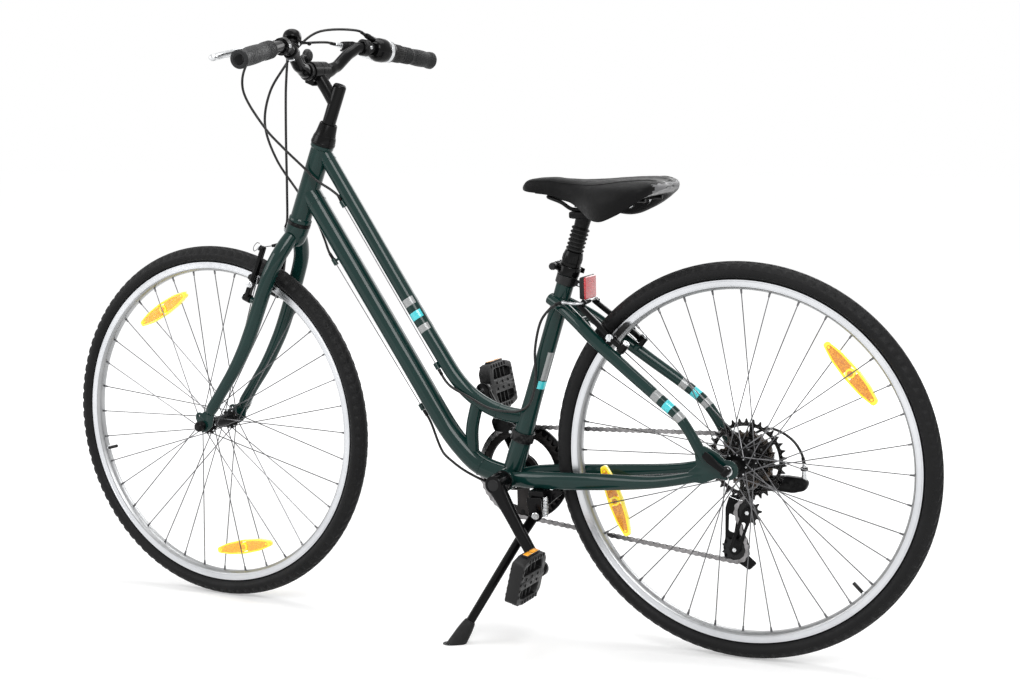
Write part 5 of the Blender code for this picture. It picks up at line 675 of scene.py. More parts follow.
CAGE_ANGLE = solve_cage()
CHAIN_PINS, _, LOWER_PULLEY = chain_pins(CAGE_ANGLE)


def pin_angle(centre, radius):
    """The angle, in degrees, of a chain pin that lies on a sprocket."""
    best = min(CHAIN_PINS, key=lambda pin: abs(hypot(pin[0] - centre[0], pin[1] - centre[1]) - radius))
    return degrees(atan2(best[1] - centre[1], best[0] - centre[0]))


def window(start, end, inner, outer):
    """A window in a chainring, between two of its arms."""
    return arc((0, 0), outer, start, end, 4) + arc((0, 0), inner, end - 8, start + 8, 2)


derailleur_slide = pivot("derailleur_slide", bike, Vector((0.0, -0.0680, -0.0450)), Y)
CAGE_PIVOT = Vector((KNUCKLE[0], COG_SIDE, KNUCKLE[1]))
derailleur_cage_axis = pivot("derailleur_cage_axis", derailleur_slide, CAGE_PIVOT, Y)
GUIDE_AT = Vector((GUIDE_PULLEY[0], COG_SIDE, GUIDE_PULLEY[1]))
LOWER_AT = Vector((LOWER_PULLEY[0], COG_SIDE, LOWER_PULLEY[1]))
jockey_upper_axis = pivot("jockey_upper_axis", derailleur_cage_axis, GUIDE_AT, Y)
jockey_lower_axis = pivot("jockey_lower_axis", derailleur_cage_axis, LOWER_AT, Y)


def holder_place(at, up, axis, side, height, top_out):
    """The middle of the block at an arm's top that the cable's bent pipe rests in."""
    return at + up * (height - 0.0060) + Y * (side * top_out) + axis * 0.0165


NUT_LOW = CLAMP_HIGH + CLEAR
post_slide = pivot("post_slide", bike, on_seat(SEAT_TUBE_TOP), SEAT_UP)
suspension_slide = pivot("suspension_slide", post_slide, on_seat(NUT_HIGH), SEAT_UP)
CLAMP_BOLT = on_seat((CLAMP_LOW + CLAMP_HIGH) / 2, 0.0245)
clamp_lever_axis = pivot("clamp_lever_axis", bike, CLAMP_BOLT - Y * 0.0180, SEAT_UP)


def rail_middle():
    """The point at the rails' height on the seat post's line."""
    level = (RAIL_HEIGHT + CRANK_AXIS_DROP) / SEAT_UP.z
    point = on_seat(level)
    return Vector((point.x, 0.0, RAIL_HEIGHT))


def saddle_floor(x):
    """The height of a rail's centre where it lies against the saddle's base."""
    for high, low in zip(SADDLE_STATIONS, SADDLE_STATIONS[1:]):
        if x >= low[0]:
            break
    t = (x - low[0]) / (high[0] - low[0])
    found = []
    for station in (low, high):
        height = station[2] - station[3]
        found.append(max(station[3] + 0.0020, min(station[2] - SADDLE_DEPTH, station[2] - height * 0.45)))
    return found[0] + (found[1] - found[0]) * t - CLEAR * 3 - BASE_THICK - RAIL_RADIUS


stand_axis = pivot("stand_axis", bike, STAND_PIVOT, STAND_AXIS)


def stay_run():
    """Two points along the middle of the left chain stay's underside."""
    flat = cos(pi / 8)
    near = bowed(CRANK_AXIS, REAR_AXLE, ((0.110, 0.0020 + 0.0153 * flat),))[0]
    far = bowed(CRANK_AXIS, REAR_AXLE, ((0.434, 0.0116 + 0.0150 * flat),))[0]
    return near, far


def stay_underside():
    """The point below the left chain stay that the kickstand's bracket is fixed to."""
    near, far = stay_run()
    return near + (far - near) * 0.17 - stay_normal() * CLEAR + Y * 0.0395


def stay_normal():
    """The direction square to the chain stay, in the bike's own plane."""
    near, far = stay_run()
    return Y.cross((far - near).normalized()).normalized()


LOOKS = bpy.data.collections.new("looks")
bpy.context.scene.collection.children.link(LOOKS)
MATERIALS = {}


def node(tree, kind, **settings):
    """A shader node with the given settings."""
    made = tree.nodes.new(kind)
    for key, value in settings.items():
        setattr(made, key, value)
    return made


def noise_of(tree, place, scale, detail=3.0, stretch=None):
    """A noise pattern in the object's own space, which may be drawn out along an axis."""
    source = place
    if stretch:
        mapping = node(tree, "ShaderNodeMapping")
        mapping.inputs["Scale"].default_value = stretch
        tree.links.new(place, mapping.inputs["Vector"])
        source = mapping.outputs["Vector"]
    made = node(tree, "ShaderNodeTexNoise")
    made.inputs["Scale"].default_value = scale
    made.inputs["Detail"].default_value = detail
    tree.links.new(source, made.inputs["Vector"])
    return made.outputs["Fac"]


def ranged(tree, value, low, high, start=0.3, end=0.7):
    """A value mapped from one range to another."""
    made = node(tree, "ShaderNodeMapRange")
    made.inputs["From Min"].default_value = start
    made.inputs["From Max"].default_value = end
    made.inputs["To Min"].default_value = low
    made.inputs["To Max"].default_value = high
    tree.links.new(value, made.inputs["Value"])
    return made.outputs["Result"]


def ramp(tree, value, stops):
    """A value turned into a colour."""
    made = node(tree, "ShaderNodeValToRGB")
    elements = made.color_ramp.elements
    while len(elements) < len(stops):
        elements.new(0.5)
    for element, (place, colour) in zip(elements, stops):
        element.position = place
        element.color = (*colour, 1.0)
    tree.links.new(value, made.inputs["Fac"])
    return made.outputs["Color"]


def bumped(tree, value, strength, distance, before=None):
    """A normal raised by a height."""
    made = node(tree, "ShaderNodeBump")
    made.inputs["Strength"].default_value = strength
    made.inputs["Distance"].default_value = distance
    tree.links.new(value, made.inputs["Height"])
    if before is not None:
        tree.links.new(before, made.inputs["Normal"])
    return made.outputs["Normal"]


def look(
    name,
    dark,
    pale,
    rough,
    metallic=0.0,
    tint_scale=9.0,
    grain=0.0,
    grain_scale=900.0,
    cells=0.0,
    cell_scale=700.0,
    stretch=None,
    coat=0.0,
    coat_rough=0.05,
    ior=1.5,
    transmission=0.0,
    glow=0.0,
    edge_tone=None,
    specular=0.5,
):
    """A finish: colour that wanders between two tones, a roughness range and a fine relief."""
    material = bpy.data.materials.new(name)
    material.use_nodes = True
    tree = material.node_tree
    shader = tree.nodes["Principled BSDF"]
    place = node(tree, "ShaderNodeTexCoord").outputs["Object"]
    broad = noise_of(tree, place, tint_scale, 4.0)
    fine = noise_of(tree, place, tint_scale * 14, 3.0)
    mixed = node(tree, "ShaderNodeMath", operation="MULTIPLY_ADD")
    tree.links.new(fine, mixed.inputs[0])
    mixed.inputs[1].default_value = 0.35
    tree.links.new(broad, mixed.inputs[2])
    colour = ramp(tree, mixed.outputs[0], ((0.38, dark), (0.95, pale)))
    # Lighter speckles along convex edges, in the given tone.
    if edge_tone:
        edges = node(tree, "ShaderNodeNewGeometry").outputs["Pointiness"]
        edge_mask = ranged(tree, edges, 0.0, 1.0, 0.53, 0.60)
        speckle = node(tree, "ShaderNodeMath", operation="MULTIPLY")
        tree.links.new(edge_mask, speckle.inputs[0])
        tree.links.new(ranged(tree, fine, 0.0, 1.0, 0.45, 0.6), speckle.inputs[1])
        layered = node(tree, "ShaderNodeMix", data_type="RGBA")
        tree.links.new(speckle.outputs[0], layered.inputs[0])
        tree.links.new(colour, layered.inputs[6])
        layered.inputs[7].default_value = (*edge_tone, 1.0)
        colour = layered.outputs[2]
    tree.links.new(colour, shader.inputs["Base Color"])
    tree.links.new(ranged(tree, fine, rough[0], rough[1], 0.35, 0.65), shader.inputs["Roughness"])
    normal = None
    if cells:
        pattern = node(tree, "ShaderNodeTexVoronoi", feature="DISTANCE_TO_EDGE")
        pattern.inputs["Scale"].default_value = cell_scale
        tree.links.new(place, pattern.inputs["Vector"])
        normal = bumped(tree, ranged(tree, pattern.outputs["Distance"], 0.0, 1.0, 0.0, 0.12), cells, 0.0003)
    if grain:
        normal = bumped(tree, noise_of(tree, place, grain_scale, 2.0, stretch), grain, 0.0002, normal)
    if normal is not None:
        tree.links.new(normal, shader.inputs["Normal"])
    shader.inputs["Metallic"].default_value = metallic
    shader.inputs["Coat Weight"].default_value = coat
    shader.inputs["Coat Roughness"].default_value = coat_rough
    shader.inputs["IOR"].default_value = ior
    shader.inputs["Transmission Weight"].default_value = transmission
    shader.inputs["Specular IOR Level"].default_value = specular
    # With a glow, the colour also shines as emission: painted light, on parts that are no lamps.
    if glow:
        tree.links.new(colour, shader.inputs["Emission Color"])
        shader.inputs["Emission Strength"].default_value = glow
    MATERIALS[name] = material
    return material


def prism_look(name, dark, pale, scale, glow):
    """The inside of a reflector: rows of small corners behind a clear face, which glow with painted light."""
    material = look(name, dark, pale, (0.18, 0.32), tint_scale=60.0, coat=1.0, glow=glow)
    tree = material.node_tree
    shader = tree.nodes["Principled BSDF"]
    place = node(tree, "ShaderNodeTexCoord").outputs["Object"]
    cells = node(tree, "ShaderNodeTexVoronoi", feature="F1")
    cells.inputs["Scale"].default_value = scale
    tree.links.new(place, cells.inputs["Vector"])
    shaded = ramp(tree, cells.outputs["Color"], ((0.25, dark), (0.75, pale)))
    tree.links.new(shaded, shader.inputs["Base Color"])
    # The cells' colour also shines as emission: painted light.
    tree.links.new(shaded, shader.inputs["Emission Color"])
    tree.links.new(bumped(tree, cells.outputs["Distance"], 0.6, 0.0006), shader.inputs["Normal"])


look("paint_green", (0.0036, 0.0245, 0.0215), (0.0055, 0.0330, 0.0290), (0.16, 0.22), coat=0.45,
     coat_rough=0.02,
     grain=0.02, grain_scale=2600.0, tint_scale=5.0, specular=0.06)
look("stripe_grey", (0.30, 0.31, 0.31), (0.40, 0.41, 0.41), (0.22, 0.32), coat=0.8, grain=0.06)
look("stripe_turquoise", (0.045, 0.64, 0.70), (0.075, 0.76, 0.82), (0.20, 0.30), coat=0.8, grain=0.06)
look("black_gloss", (0.0025, 0.0025, 0.0027), (0.0045, 0.0045, 0.0048), (0.14, 0.24), coat=0.06, grain=0.05,
     grain_scale=1500.0, specular=0.10)
look("black_satin", (0.0030, 0.0030, 0.0032), (0.0055, 0.0055, 0.0058), (0.26, 0.38), grain=0.10,
     grain_scale=1600.0,
     edge_tone=(0.05, 0.05, 0.05), specular=0.10)
look("black_plastic", (0.0040, 0.0040, 0.0043), (0.0070, 0.0070, 0.0074), (0.34, 0.48), cells=0.15,
     cell_scale=1900.0,
     specular=0.30)
look("black_rubber", (0.0055, 0.0055, 0.0055), (0.010, 0.010, 0.010), (0.50, 0.68), grain=0.20,
     grain_scale=1300.0,
     specular=0.25)
look("housing", (0.0035, 0.0035, 0.0035), (0.0060, 0.0060, 0.0060), (0.26, 0.36), grain=0.08,
     grain_scale=2200.0,
     specular=0.35)
look("tyre", (0.0045, 0.0045, 0.0048), (0.0095, 0.0095, 0.0100), (0.48, 0.66), grain=0.25, grain_scale=700.0,
     tint_scale=16.0, specular=0.17)
look("grip", (0.0110, 0.0113, 0.0120), (0.0190, 0.0195, 0.0205), (0.48, 0.62), cells=0.55, cell_scale=520.0,
     specular=0.25)
look("saddle_skin", (0.0035, 0.0035, 0.0037), (0.0065, 0.0065, 0.0068), (0.32, 0.44), cells=0.30,
     cell_scale=900.0,
     grain=0.08, grain_scale=2400.0, specular=0.09)
look("saddle_grey", (0.10, 0.10, 0.105), (0.15, 0.15, 0.155), (0.36, 0.50), cells=0.30, cell_scale=1100.0)
look("silver", (0.52, 0.53, 0.54), (0.70, 0.71, 0.72), (0.18, 0.32), metallic=1.0, grain=0.12,
     grain_scale=1400.0)
look("cast_silver", (0.40, 0.41, 0.42), (0.55, 0.56, 0.57), (0.30, 0.45), metallic=1.0, grain=0.25,
     grain_scale=1200.0)
look("rim_side", (0.56, 0.57, 0.59), (0.68, 0.69, 0.71), (0.28, 0.38), metallic=1.0, grain=0.03,
     grain_scale=500.0,
     stretch=(1.0, 9.0, 1.0))
# The rim's inner part, towards the hub, is a darker silver than its sides: painted shade.
look("rim_inner", (0.30, 0.305, 0.31), (0.42, 0.425, 0.43), (0.30, 0.42), metallic=1.0, grain=0.14,
     grain_scale=900.0)
look("spoke_steel", (0.10, 0.10, 0.105), (0.17, 0.17, 0.175), (0.24, 0.36), metallic=1.0, grain=0.08)
look("wire", (0.10, 0.10, 0.105), (0.16, 0.16, 0.165), (0.30, 0.44), metallic=1.0, grain=0.15,
     grain_scale=2600.0)
look("chain_steel", (0.15, 0.145, 0.145), (0.34, 0.33, 0.335), (0.24, 0.38), metallic=1.0, tint_scale=60.0,
     grain=0.08)
look("cog_dark", (0.012, 0.011, 0.011), (0.030, 0.027, 0.026), (0.34, 0.48), metallic=0.8, tint_scale=40.0,
     grain=0.08)
look("cog_brown", (0.050, 0.038, 0.030), (0.100, 0.078, 0.062), (0.34, 0.46), metallic=0.9, tint_scale=40.0,
     grain=0.08)
# Reflector lenses and prisms glow with their own colour: painted light, as none of them is a lamp.
look("lens_yellow", (0.95, 0.72, 0.010), (1.0, 0.84, 0.030), (0.10, 0.18), coat=1.0, glow=0.32, grain=0.05)
prism_look("prism_orange", (0.90, 0.26, 0.004), (1.0, 0.52, 0.012), 900.0, 0.34)
# A darker copy of the orange prisms with a weaker glow, for the rear wheel's reflectors: painted shade.
prism_look("prism_brown", (0.60, 0.16, 0.006), (0.95, 0.42, 0.020), 900.0, 0.12)
prism_look("lens_red", (0.32, 0.002, 0.006), (0.70, 0.008, 0.020), 1000.0, 0.20)
prism_look("lens_white", (0.30, 0.31, 0.32), (0.62, 0.63, 0.64), 1100.0, 0.03)
look("clear_plastic", (0.80, 0.81, 0.81), (0.88, 0.89, 0.89), (0.02, 0.05), coat=0.0, transmission=1.0,
     ior=1.12)
look("steel_dark", (0.16, 0.16, 0.165), (0.26, 0.26, 0.265), (0.24, 0.38), metallic=1.0, grain=0.12,
     grain_scale=1500.0)


class Shape:
    """Points and faces in the frame of the bike, with the name of their finish, or one for each face."""

    def __init__(self, points, faces, finish):
        self.points = [Vector(p) for p in points]
        self.faces = faces
        self.finish = finish

    def moved(self, matrix):
        """A copy of the shape, carried by a matrix."""
        return Shape([matrix @ p for p in self.points], self.faces, self.finish)

    def mirrored(self):
        """A copy of the shape on the other side of the bike."""
        return self.moved(Matrix.Diagonal((1.0, -1.0, 1.0, 1.0)))


def from_mesh(mesh, finish, matrix=None):
    """A shape from a Blender mesh, with one finish."""
    points = [(matrix @ v.co) if matrix else v.co.copy() for v in mesh.vertices]
    return Shape(points, [tuple(p.vertices) for p in mesh.polygons], finish)


def skin(rings, closed=False, capped=True):
    """Faces over rings of points with as many points each."""
    count = len(rings[0])
    faces = []
    total = len(rings)
    for i in range(total if closed else total - 1):
        low = i * count
        high = ((i + 1) % total) * count
        for k in range(count):
            m = (k + 1) % count
            faces.append((low + k, low + m, high + m, high + k))
    if not closed and capped:
        faces.append(tuple(range(count - 1, -1, -1)))
        faces.append(tuple(range((total - 1) * count, total * count)))
    return faces


def loft(rings, finish, closed=False):
    """A closed skin over rings that have the same number of points."""
    return Shape([p for ring in rings for p in ring], skin(rings, closed), finish)


def revolve(profile, at, axis, finish, sides=ROUND, ring=False, x_hint=None):
    """A turned shape. The profile holds (radius, height) pairs; a ring's profile closes on itself."""
    matrix = placed(at, axis, x_hint)
    points = []
    starts = []
    for radius, height in profile:
        starts.append(len(points))
        if radius < 1e-6:
            points.append(matrix @ Vector((0.0, 0.0, height)))
            continue
        for k in range(sides):
            angle = 2 * pi * k / sides
            points.append(matrix @ Vector((radius * cos(angle), radius * sin(angle), height)))
    faces = []
    count = len(profile)
    for i in range(count if ring else count - 1):
        j = (i + 1) % count
        for k in range(sides):
            m = (k + 1) % sides
            low_point = profile[i][0] < 1e-6
            high_point = profile[j][0] < 1e-6
            if low_point and high_point:
                continue
            if low_point:
                faces.append((starts[i], starts[j] + m, starts[j] + k))
            elif high_point:
                faces.append((starts[i] + k, starts[i] + m, starts[j]))
            else:
                faces.append((starts[i] + k, starts[i] + m, starts[j] + m, starts[j] + k))
    return Shape(points, faces, finish)


def cylinder(radius, start, end, finish, sides=ROUND, end_radius=None, edge=0.0005):
    """A cylinder or a cone between two points, with its rims bevelled."""
    far = radius if end_radius is None else end_radius
    length = (end - start).length
    edge = min(edge, radius * 0.4, far * 0.4, length * 0.3)
    profile = [(0.0, 0.0), (radius - edge, 0.0), (radius - edge * 0.3, edge * 0.3), (radius, edge)]
    profile += [(far, length - edge), (far - edge * 0.3, length - edge * 0.3), (far - edge, length),
                (0.0, length)]
    return revolve(profile, start, end - start, finish, sides)


def hexagon(width, start, end, finish):
    """A six-sided prism between two points."""
    return cylinder(width, start, end, finish, 6, edge=0.0004)


def socket_bolt(radius, start, end, finish):
    """A round bolt head with a six-sided recess in its face."""
    length = (end - start).length
    deep = min(length * 0.6, radius)
    key = radius * 0.5
    profile = [(0.0, 0.0), (radius, 0.0), (radius, length * 0.8), (radius * 0.9, length), (key, length)]
    profile += [(key, length - deep), (0.0, length - deep)]
    return revolve(profile, start, end - start, finish, 18)


def box(size, at, finish, z_axis=Z, x_hint=None, edge=0.0010, steps=3):
    """A box with rounded edges."""
    shape = bmesh.new()
    bmesh.ops.create_cube(shape, size=1.0)
    bmesh.ops.scale(shape, vec=size, verts=shape.verts)
    edge = min(edge, min(size) * 0.45)
    bmesh.ops.bevel(shape, geom=shape.edges[:], offset=edge, segments=steps, profile=0.5, affect="EDGES")
    mesh = bpy.data.meshes.new("box")
    shape.to_mesh(mesh)
    shape.free()
    made = from_mesh(mesh, finish, placed(at, z_axis, x_hint))
    bpy.data.meshes.remove(mesh)
    return made


def ball(radius, at, finish, axis=Z, stretch=1.0, sides=20):
    """A sphere, which may be stretched along its axis."""
    profile = []
    for k in range(sides // 2 + 1):
        angle = pi * k / (sides // 2) - pi / 2
        profile.append((max(radius * cos(angle), 0.0), radius * sin(angle) * stretch))
    profile[0] = (0.0, profile[0][1])
    profile[-1] = (0.0, profile[-1][1])
    return revolve(profile, at, axis, finish, sides)


def mix(a, b, t):
    """The point a share of the way from one point to another."""
    return tuple(u + (v - u) * t for u, v in zip(a, b))


def smooth_path(points, count):
    """Points evenly along a smooth curve through the given ones, which may be far apart or near."""
    kept = []
    for p in points:
        p = tuple(p)
        if not kept or (Vector(p[:3]) - Vector(kept[-1][:3])).length > 1e-6:
            kept.append(p)
    ends = [mix(kept[1], kept[0], 2.0)] + kept + [mix(kept[-2], kept[-1], 2.0)]
    fine = []
    for i in range(len(kept) - 1):
        near = ends[i : i + 4]
        knots = [0.0]
        for a, b in zip(near, near[1:]):
            knots.append(knots[-1] + max((Vector(b[:3]) - Vector(a[:3])).length, 1e-6) ** 0.5)
        for k in range(10):
            t = mix((knots[1],), (knots[2],), k / 10)[0]
            levels = near
            for spans in ROUNDS:
                levels = [
                    mix(a, b, (t - knots[low]) / (knots[high] - knots[low]))
                    for (low, high), a, b in zip(spans, levels, levels[1:])
                ]
            fine.append(levels[0])
    fine.append(kept[-1])
    return evenly(fine, count)


def evenly(fine, count):
    """A path with its points set at equal steps."""
    lengths = [0.0]
    for a, b in zip(fine, fine[1:]):
        lengths.append(lengths[-1] + (Vector(b[:3]) - Vector(a[:3])).length)
    found = []
    k = 0
    for i in range(count):
        want = lengths[-1] * i / (count - 1)
        while k < len(lengths) - 2 and lengths[k + 1] < want:
            k += 1
        span = lengths[k + 1] - lengths[k]
        t = (want - lengths[k]) / span if span else 0.0
        found.append(tuple(a + (b - a) * t for a, b in zip(fine[k], fine[k + 1])))
    return found


def frames_along(points, across=None):
    """A sideways and an upward direction at each point of a path, with no twist."""
    points = [Vector(p[:3]) for p in points]
    found = []
    wide = None
    for i in range(len(points)):
        along = (points[min(i + 1, len(points) - 1)] - points[max(i - 1, 0)]).normalized()
        hint = across if across is not None else wide
        if hint is None:
            hint = X if abs(along.x) < 0.9 else Y
        wide = (hint - along * hint.dot(along)).normalized()
        found.append((points[i], wide, along.cross(wide)))
    return found


def tube(points, radius, finish, sides=ROUND, closed=False, across=None):
    """A bent round bar. A point's fourth value is its own radius."""
    rings = []
    for given, (centre, wide, high) in zip(points, frames_along(points, across)):
        own = given[3] if len(given) > 3 else radius
        ring = []
        for k in range(sides):
            angle = 2 * pi * k / sides
            ring.append(centre + wide * (own * cos(angle)) + high * (own * sin(angle)))
        rings.append(ring)
    return loft(rings, finish, closed)


def bent(points, radius, finish, count=24, sides=16):
    """A smooth bent bar through a few points."""
    return tube(smooth_path([tuple(p) for p in points], count), radius, finish, sides)


def oval(stations, finish, count=32, sides=24, across=Y, flat=2.0):
    """A tube of oval section. A station is (point, half width along across, half height)."""
    path = [(*centre, wide, high) for centre, wide, high in stations]
    fine = smooth_path(path, count)
    rings = []
    for given, (centre, wide, high) in zip(fine, frames_along(fine, across)):
        ring = []
        for k in range(sides):
            angle = 2 * pi * (k + 0.5) / sides
            c = cos(angle)
            s = sin(angle)
            u = abs(c) ** (2 / flat) * (1 if c > 0 else -1)
            v = abs(s) ** (2 / flat) * (1 if s > 0 else -1)
            ring.append(centre + wide * (given[3] * u) + high * (given[4] * v))
        rings.append(ring)
    return loft(rings, finish)


def plate(outline, thickness, matrix, finish, holes=(), edge=0.0004):
    """A flat plate with rounded edges: the outline lies in the matrix's XY plane."""
    curve = bpy.data.curves.new("plate", "CURVE")
    curve.dimensions = "2D"
    curve.fill_mode = "BOTH"
    edge = min(edge, thickness * 0.4)
    curve.extrude = thickness / 2 - edge
    curve.bevel_depth = edge
    curve.bevel_resolution = 1
    curve.offset = -edge
    for around_edge in (outline, *holes):
        spline = curve.splines.new("POLY")
        spline.points.add(len(around_edge) - 1)
        for point, given in zip(spline.points, around_edge):
            point.co = (given[0], given[1], 0.0, 1.0)
        spline.use_cyclic_u = True
    helper = bpy.data.objects.new("plate", curve)
    LOOKS.objects.link(helper)
    bpy.context.view_layer.update()
    mesh = bpy.data.meshes.new_from_object(helper.evaluated_get(bpy.context.evaluated_depsgraph_get()))
    welded = bmesh.new()
    welded.from_mesh(mesh)
    bmesh.ops.remove_doubles(welded, verts=welded.verts, dist=1e-6)
    welded.to_mesh(mesh)
    welded.free()
    made = from_mesh(mesh, finish, matrix)
    bpy.data.objects.remove(helper, do_unlink=True)
    bpy.data.meshes.remove(mesh)
    bpy.data.curves.remove(curve)
    return made


def rounded(outline, radius, steps=4):
    """The outline with its corners rounded."""
    found = []
    count = len(outline)
    for i in range(count):
        before = Vector(outline[i - 1]).to_2d()
        here = Vector(outline[i]).to_2d()
        after = Vector(outline[(i + 1) % count]).to_2d()
        back = before - here
        ahead = after - here
        reach = min(radius, back.length * 0.45, ahead.length * 0.45)
        start = here + back.normalized() * reach
        end = here + ahead.normalized() * reach
        for k in range(steps + 1):
            t = k / steps
            p = start * (1 - t) ** 2 + here * (2 * t * (1 - t)) + end * t**2
            found.append((p.x, p.y))
    return found


def piece(name, parent, shapes, replaces=(), smooth=32.0, body=None):
    """Joins the shapes into one object that rides with the pivot's body and stands for CAD nodes."""
    points = []
    faces = []
    chosen = []
    finishes = []
    move = WORLD[parent] @ HOMES[parent].inverted()
    for shape in shapes:
        own = shape.finish if isinstance(shape.finish, list) else [shape.finish] * len(shape.faces)
        for finish in own:
            if finish not in finishes:
                finishes.append(finish)
        start = len(points)
        points += [move @ p for p in shape.points]
        faces += [tuple(start + i for i in face) for face in shape.faces]
        chosen += [finishes.index(finish) for finish in own]
    mesh = bpy.data.meshes.new(name)
    mesh.from_pydata(points, [], faces)
    for finish in finishes:
        mesh.materials.append(MATERIALS[finish])
    mesh.polygons.foreach_set("material_index", chosen)
    tidy = bmesh.new()
    tidy.from_mesh(mesh)
    bmesh.ops.recalc_face_normals(tidy, faces=tidy.faces)
    tidy.to_mesh(mesh)
    tidy.free()
    mesh.shade_smooth()
    mesh.set_sharp_from_angle(angle=radians(smooth))
    made = bpy.data.objects.new(name, mesh)
    LOOKS.objects.link(made)
    if body != "blend":
        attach(made, body or BODY[parent])
    if replaces:
        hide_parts(*replaces)
    return made


def strip(points, radius, start, width, finish, span=(0.0, 360.0)):
    """A thin raised band round a tube, from a distance along its path and between two angles."""
    fine = evenly([tuple(p) for p in points], 400)
    lengths = [0.0]
    for a, b in zip(fine, fine[1:]):
        lengths.append(lengths[-1] + (Vector(b[:3]) - Vector(a[:3])).length)
    inside = [p for p, s in zip(fine, lengths) if start <= s <= start + width]
    whole = span[1] - span[0] >= 360.0
    steps = 44
    rings = []
    for i, (centre, wide, high) in enumerate(frames_along(inside, Y)):
        own = inside[i][3] if len(inside[i]) > 3 else radius
        lift = 0.00002 if i in (0, len(inside) - 1) else 0.00022
        ring = []
        if whole:
            turns = [(360.0 * k / steps, own + lift) for k in range(steps)]
        else:
            turns = [(span[0] + (span[1] - span[0]) * k / steps, own + lift) for k in range(steps + 1)]
            turns += [(span[1] - (span[1] - span[0]) * k / steps, own - 0.0010) for k in range(steps + 1)]
        for angle, out in turns:
            ring.append(centre + wide * (out * cos(radians(angle))) + high * (out * sin(radians(angle))))
        rings.append(ring)
    return loft(rings, finish)


def weld(centre, along, radius, finish, tilt=None):
    """A low bead where two tubes are joined."""
    profile = []
    for k in range(8):
        angle = 2 * pi * k / 8
        profile.append((radius + 0.0009 * cos(angle), 0.0022 * sin(angle)))
    return revolve(profile, centre, tilt or along, finish, 48, ring=True)


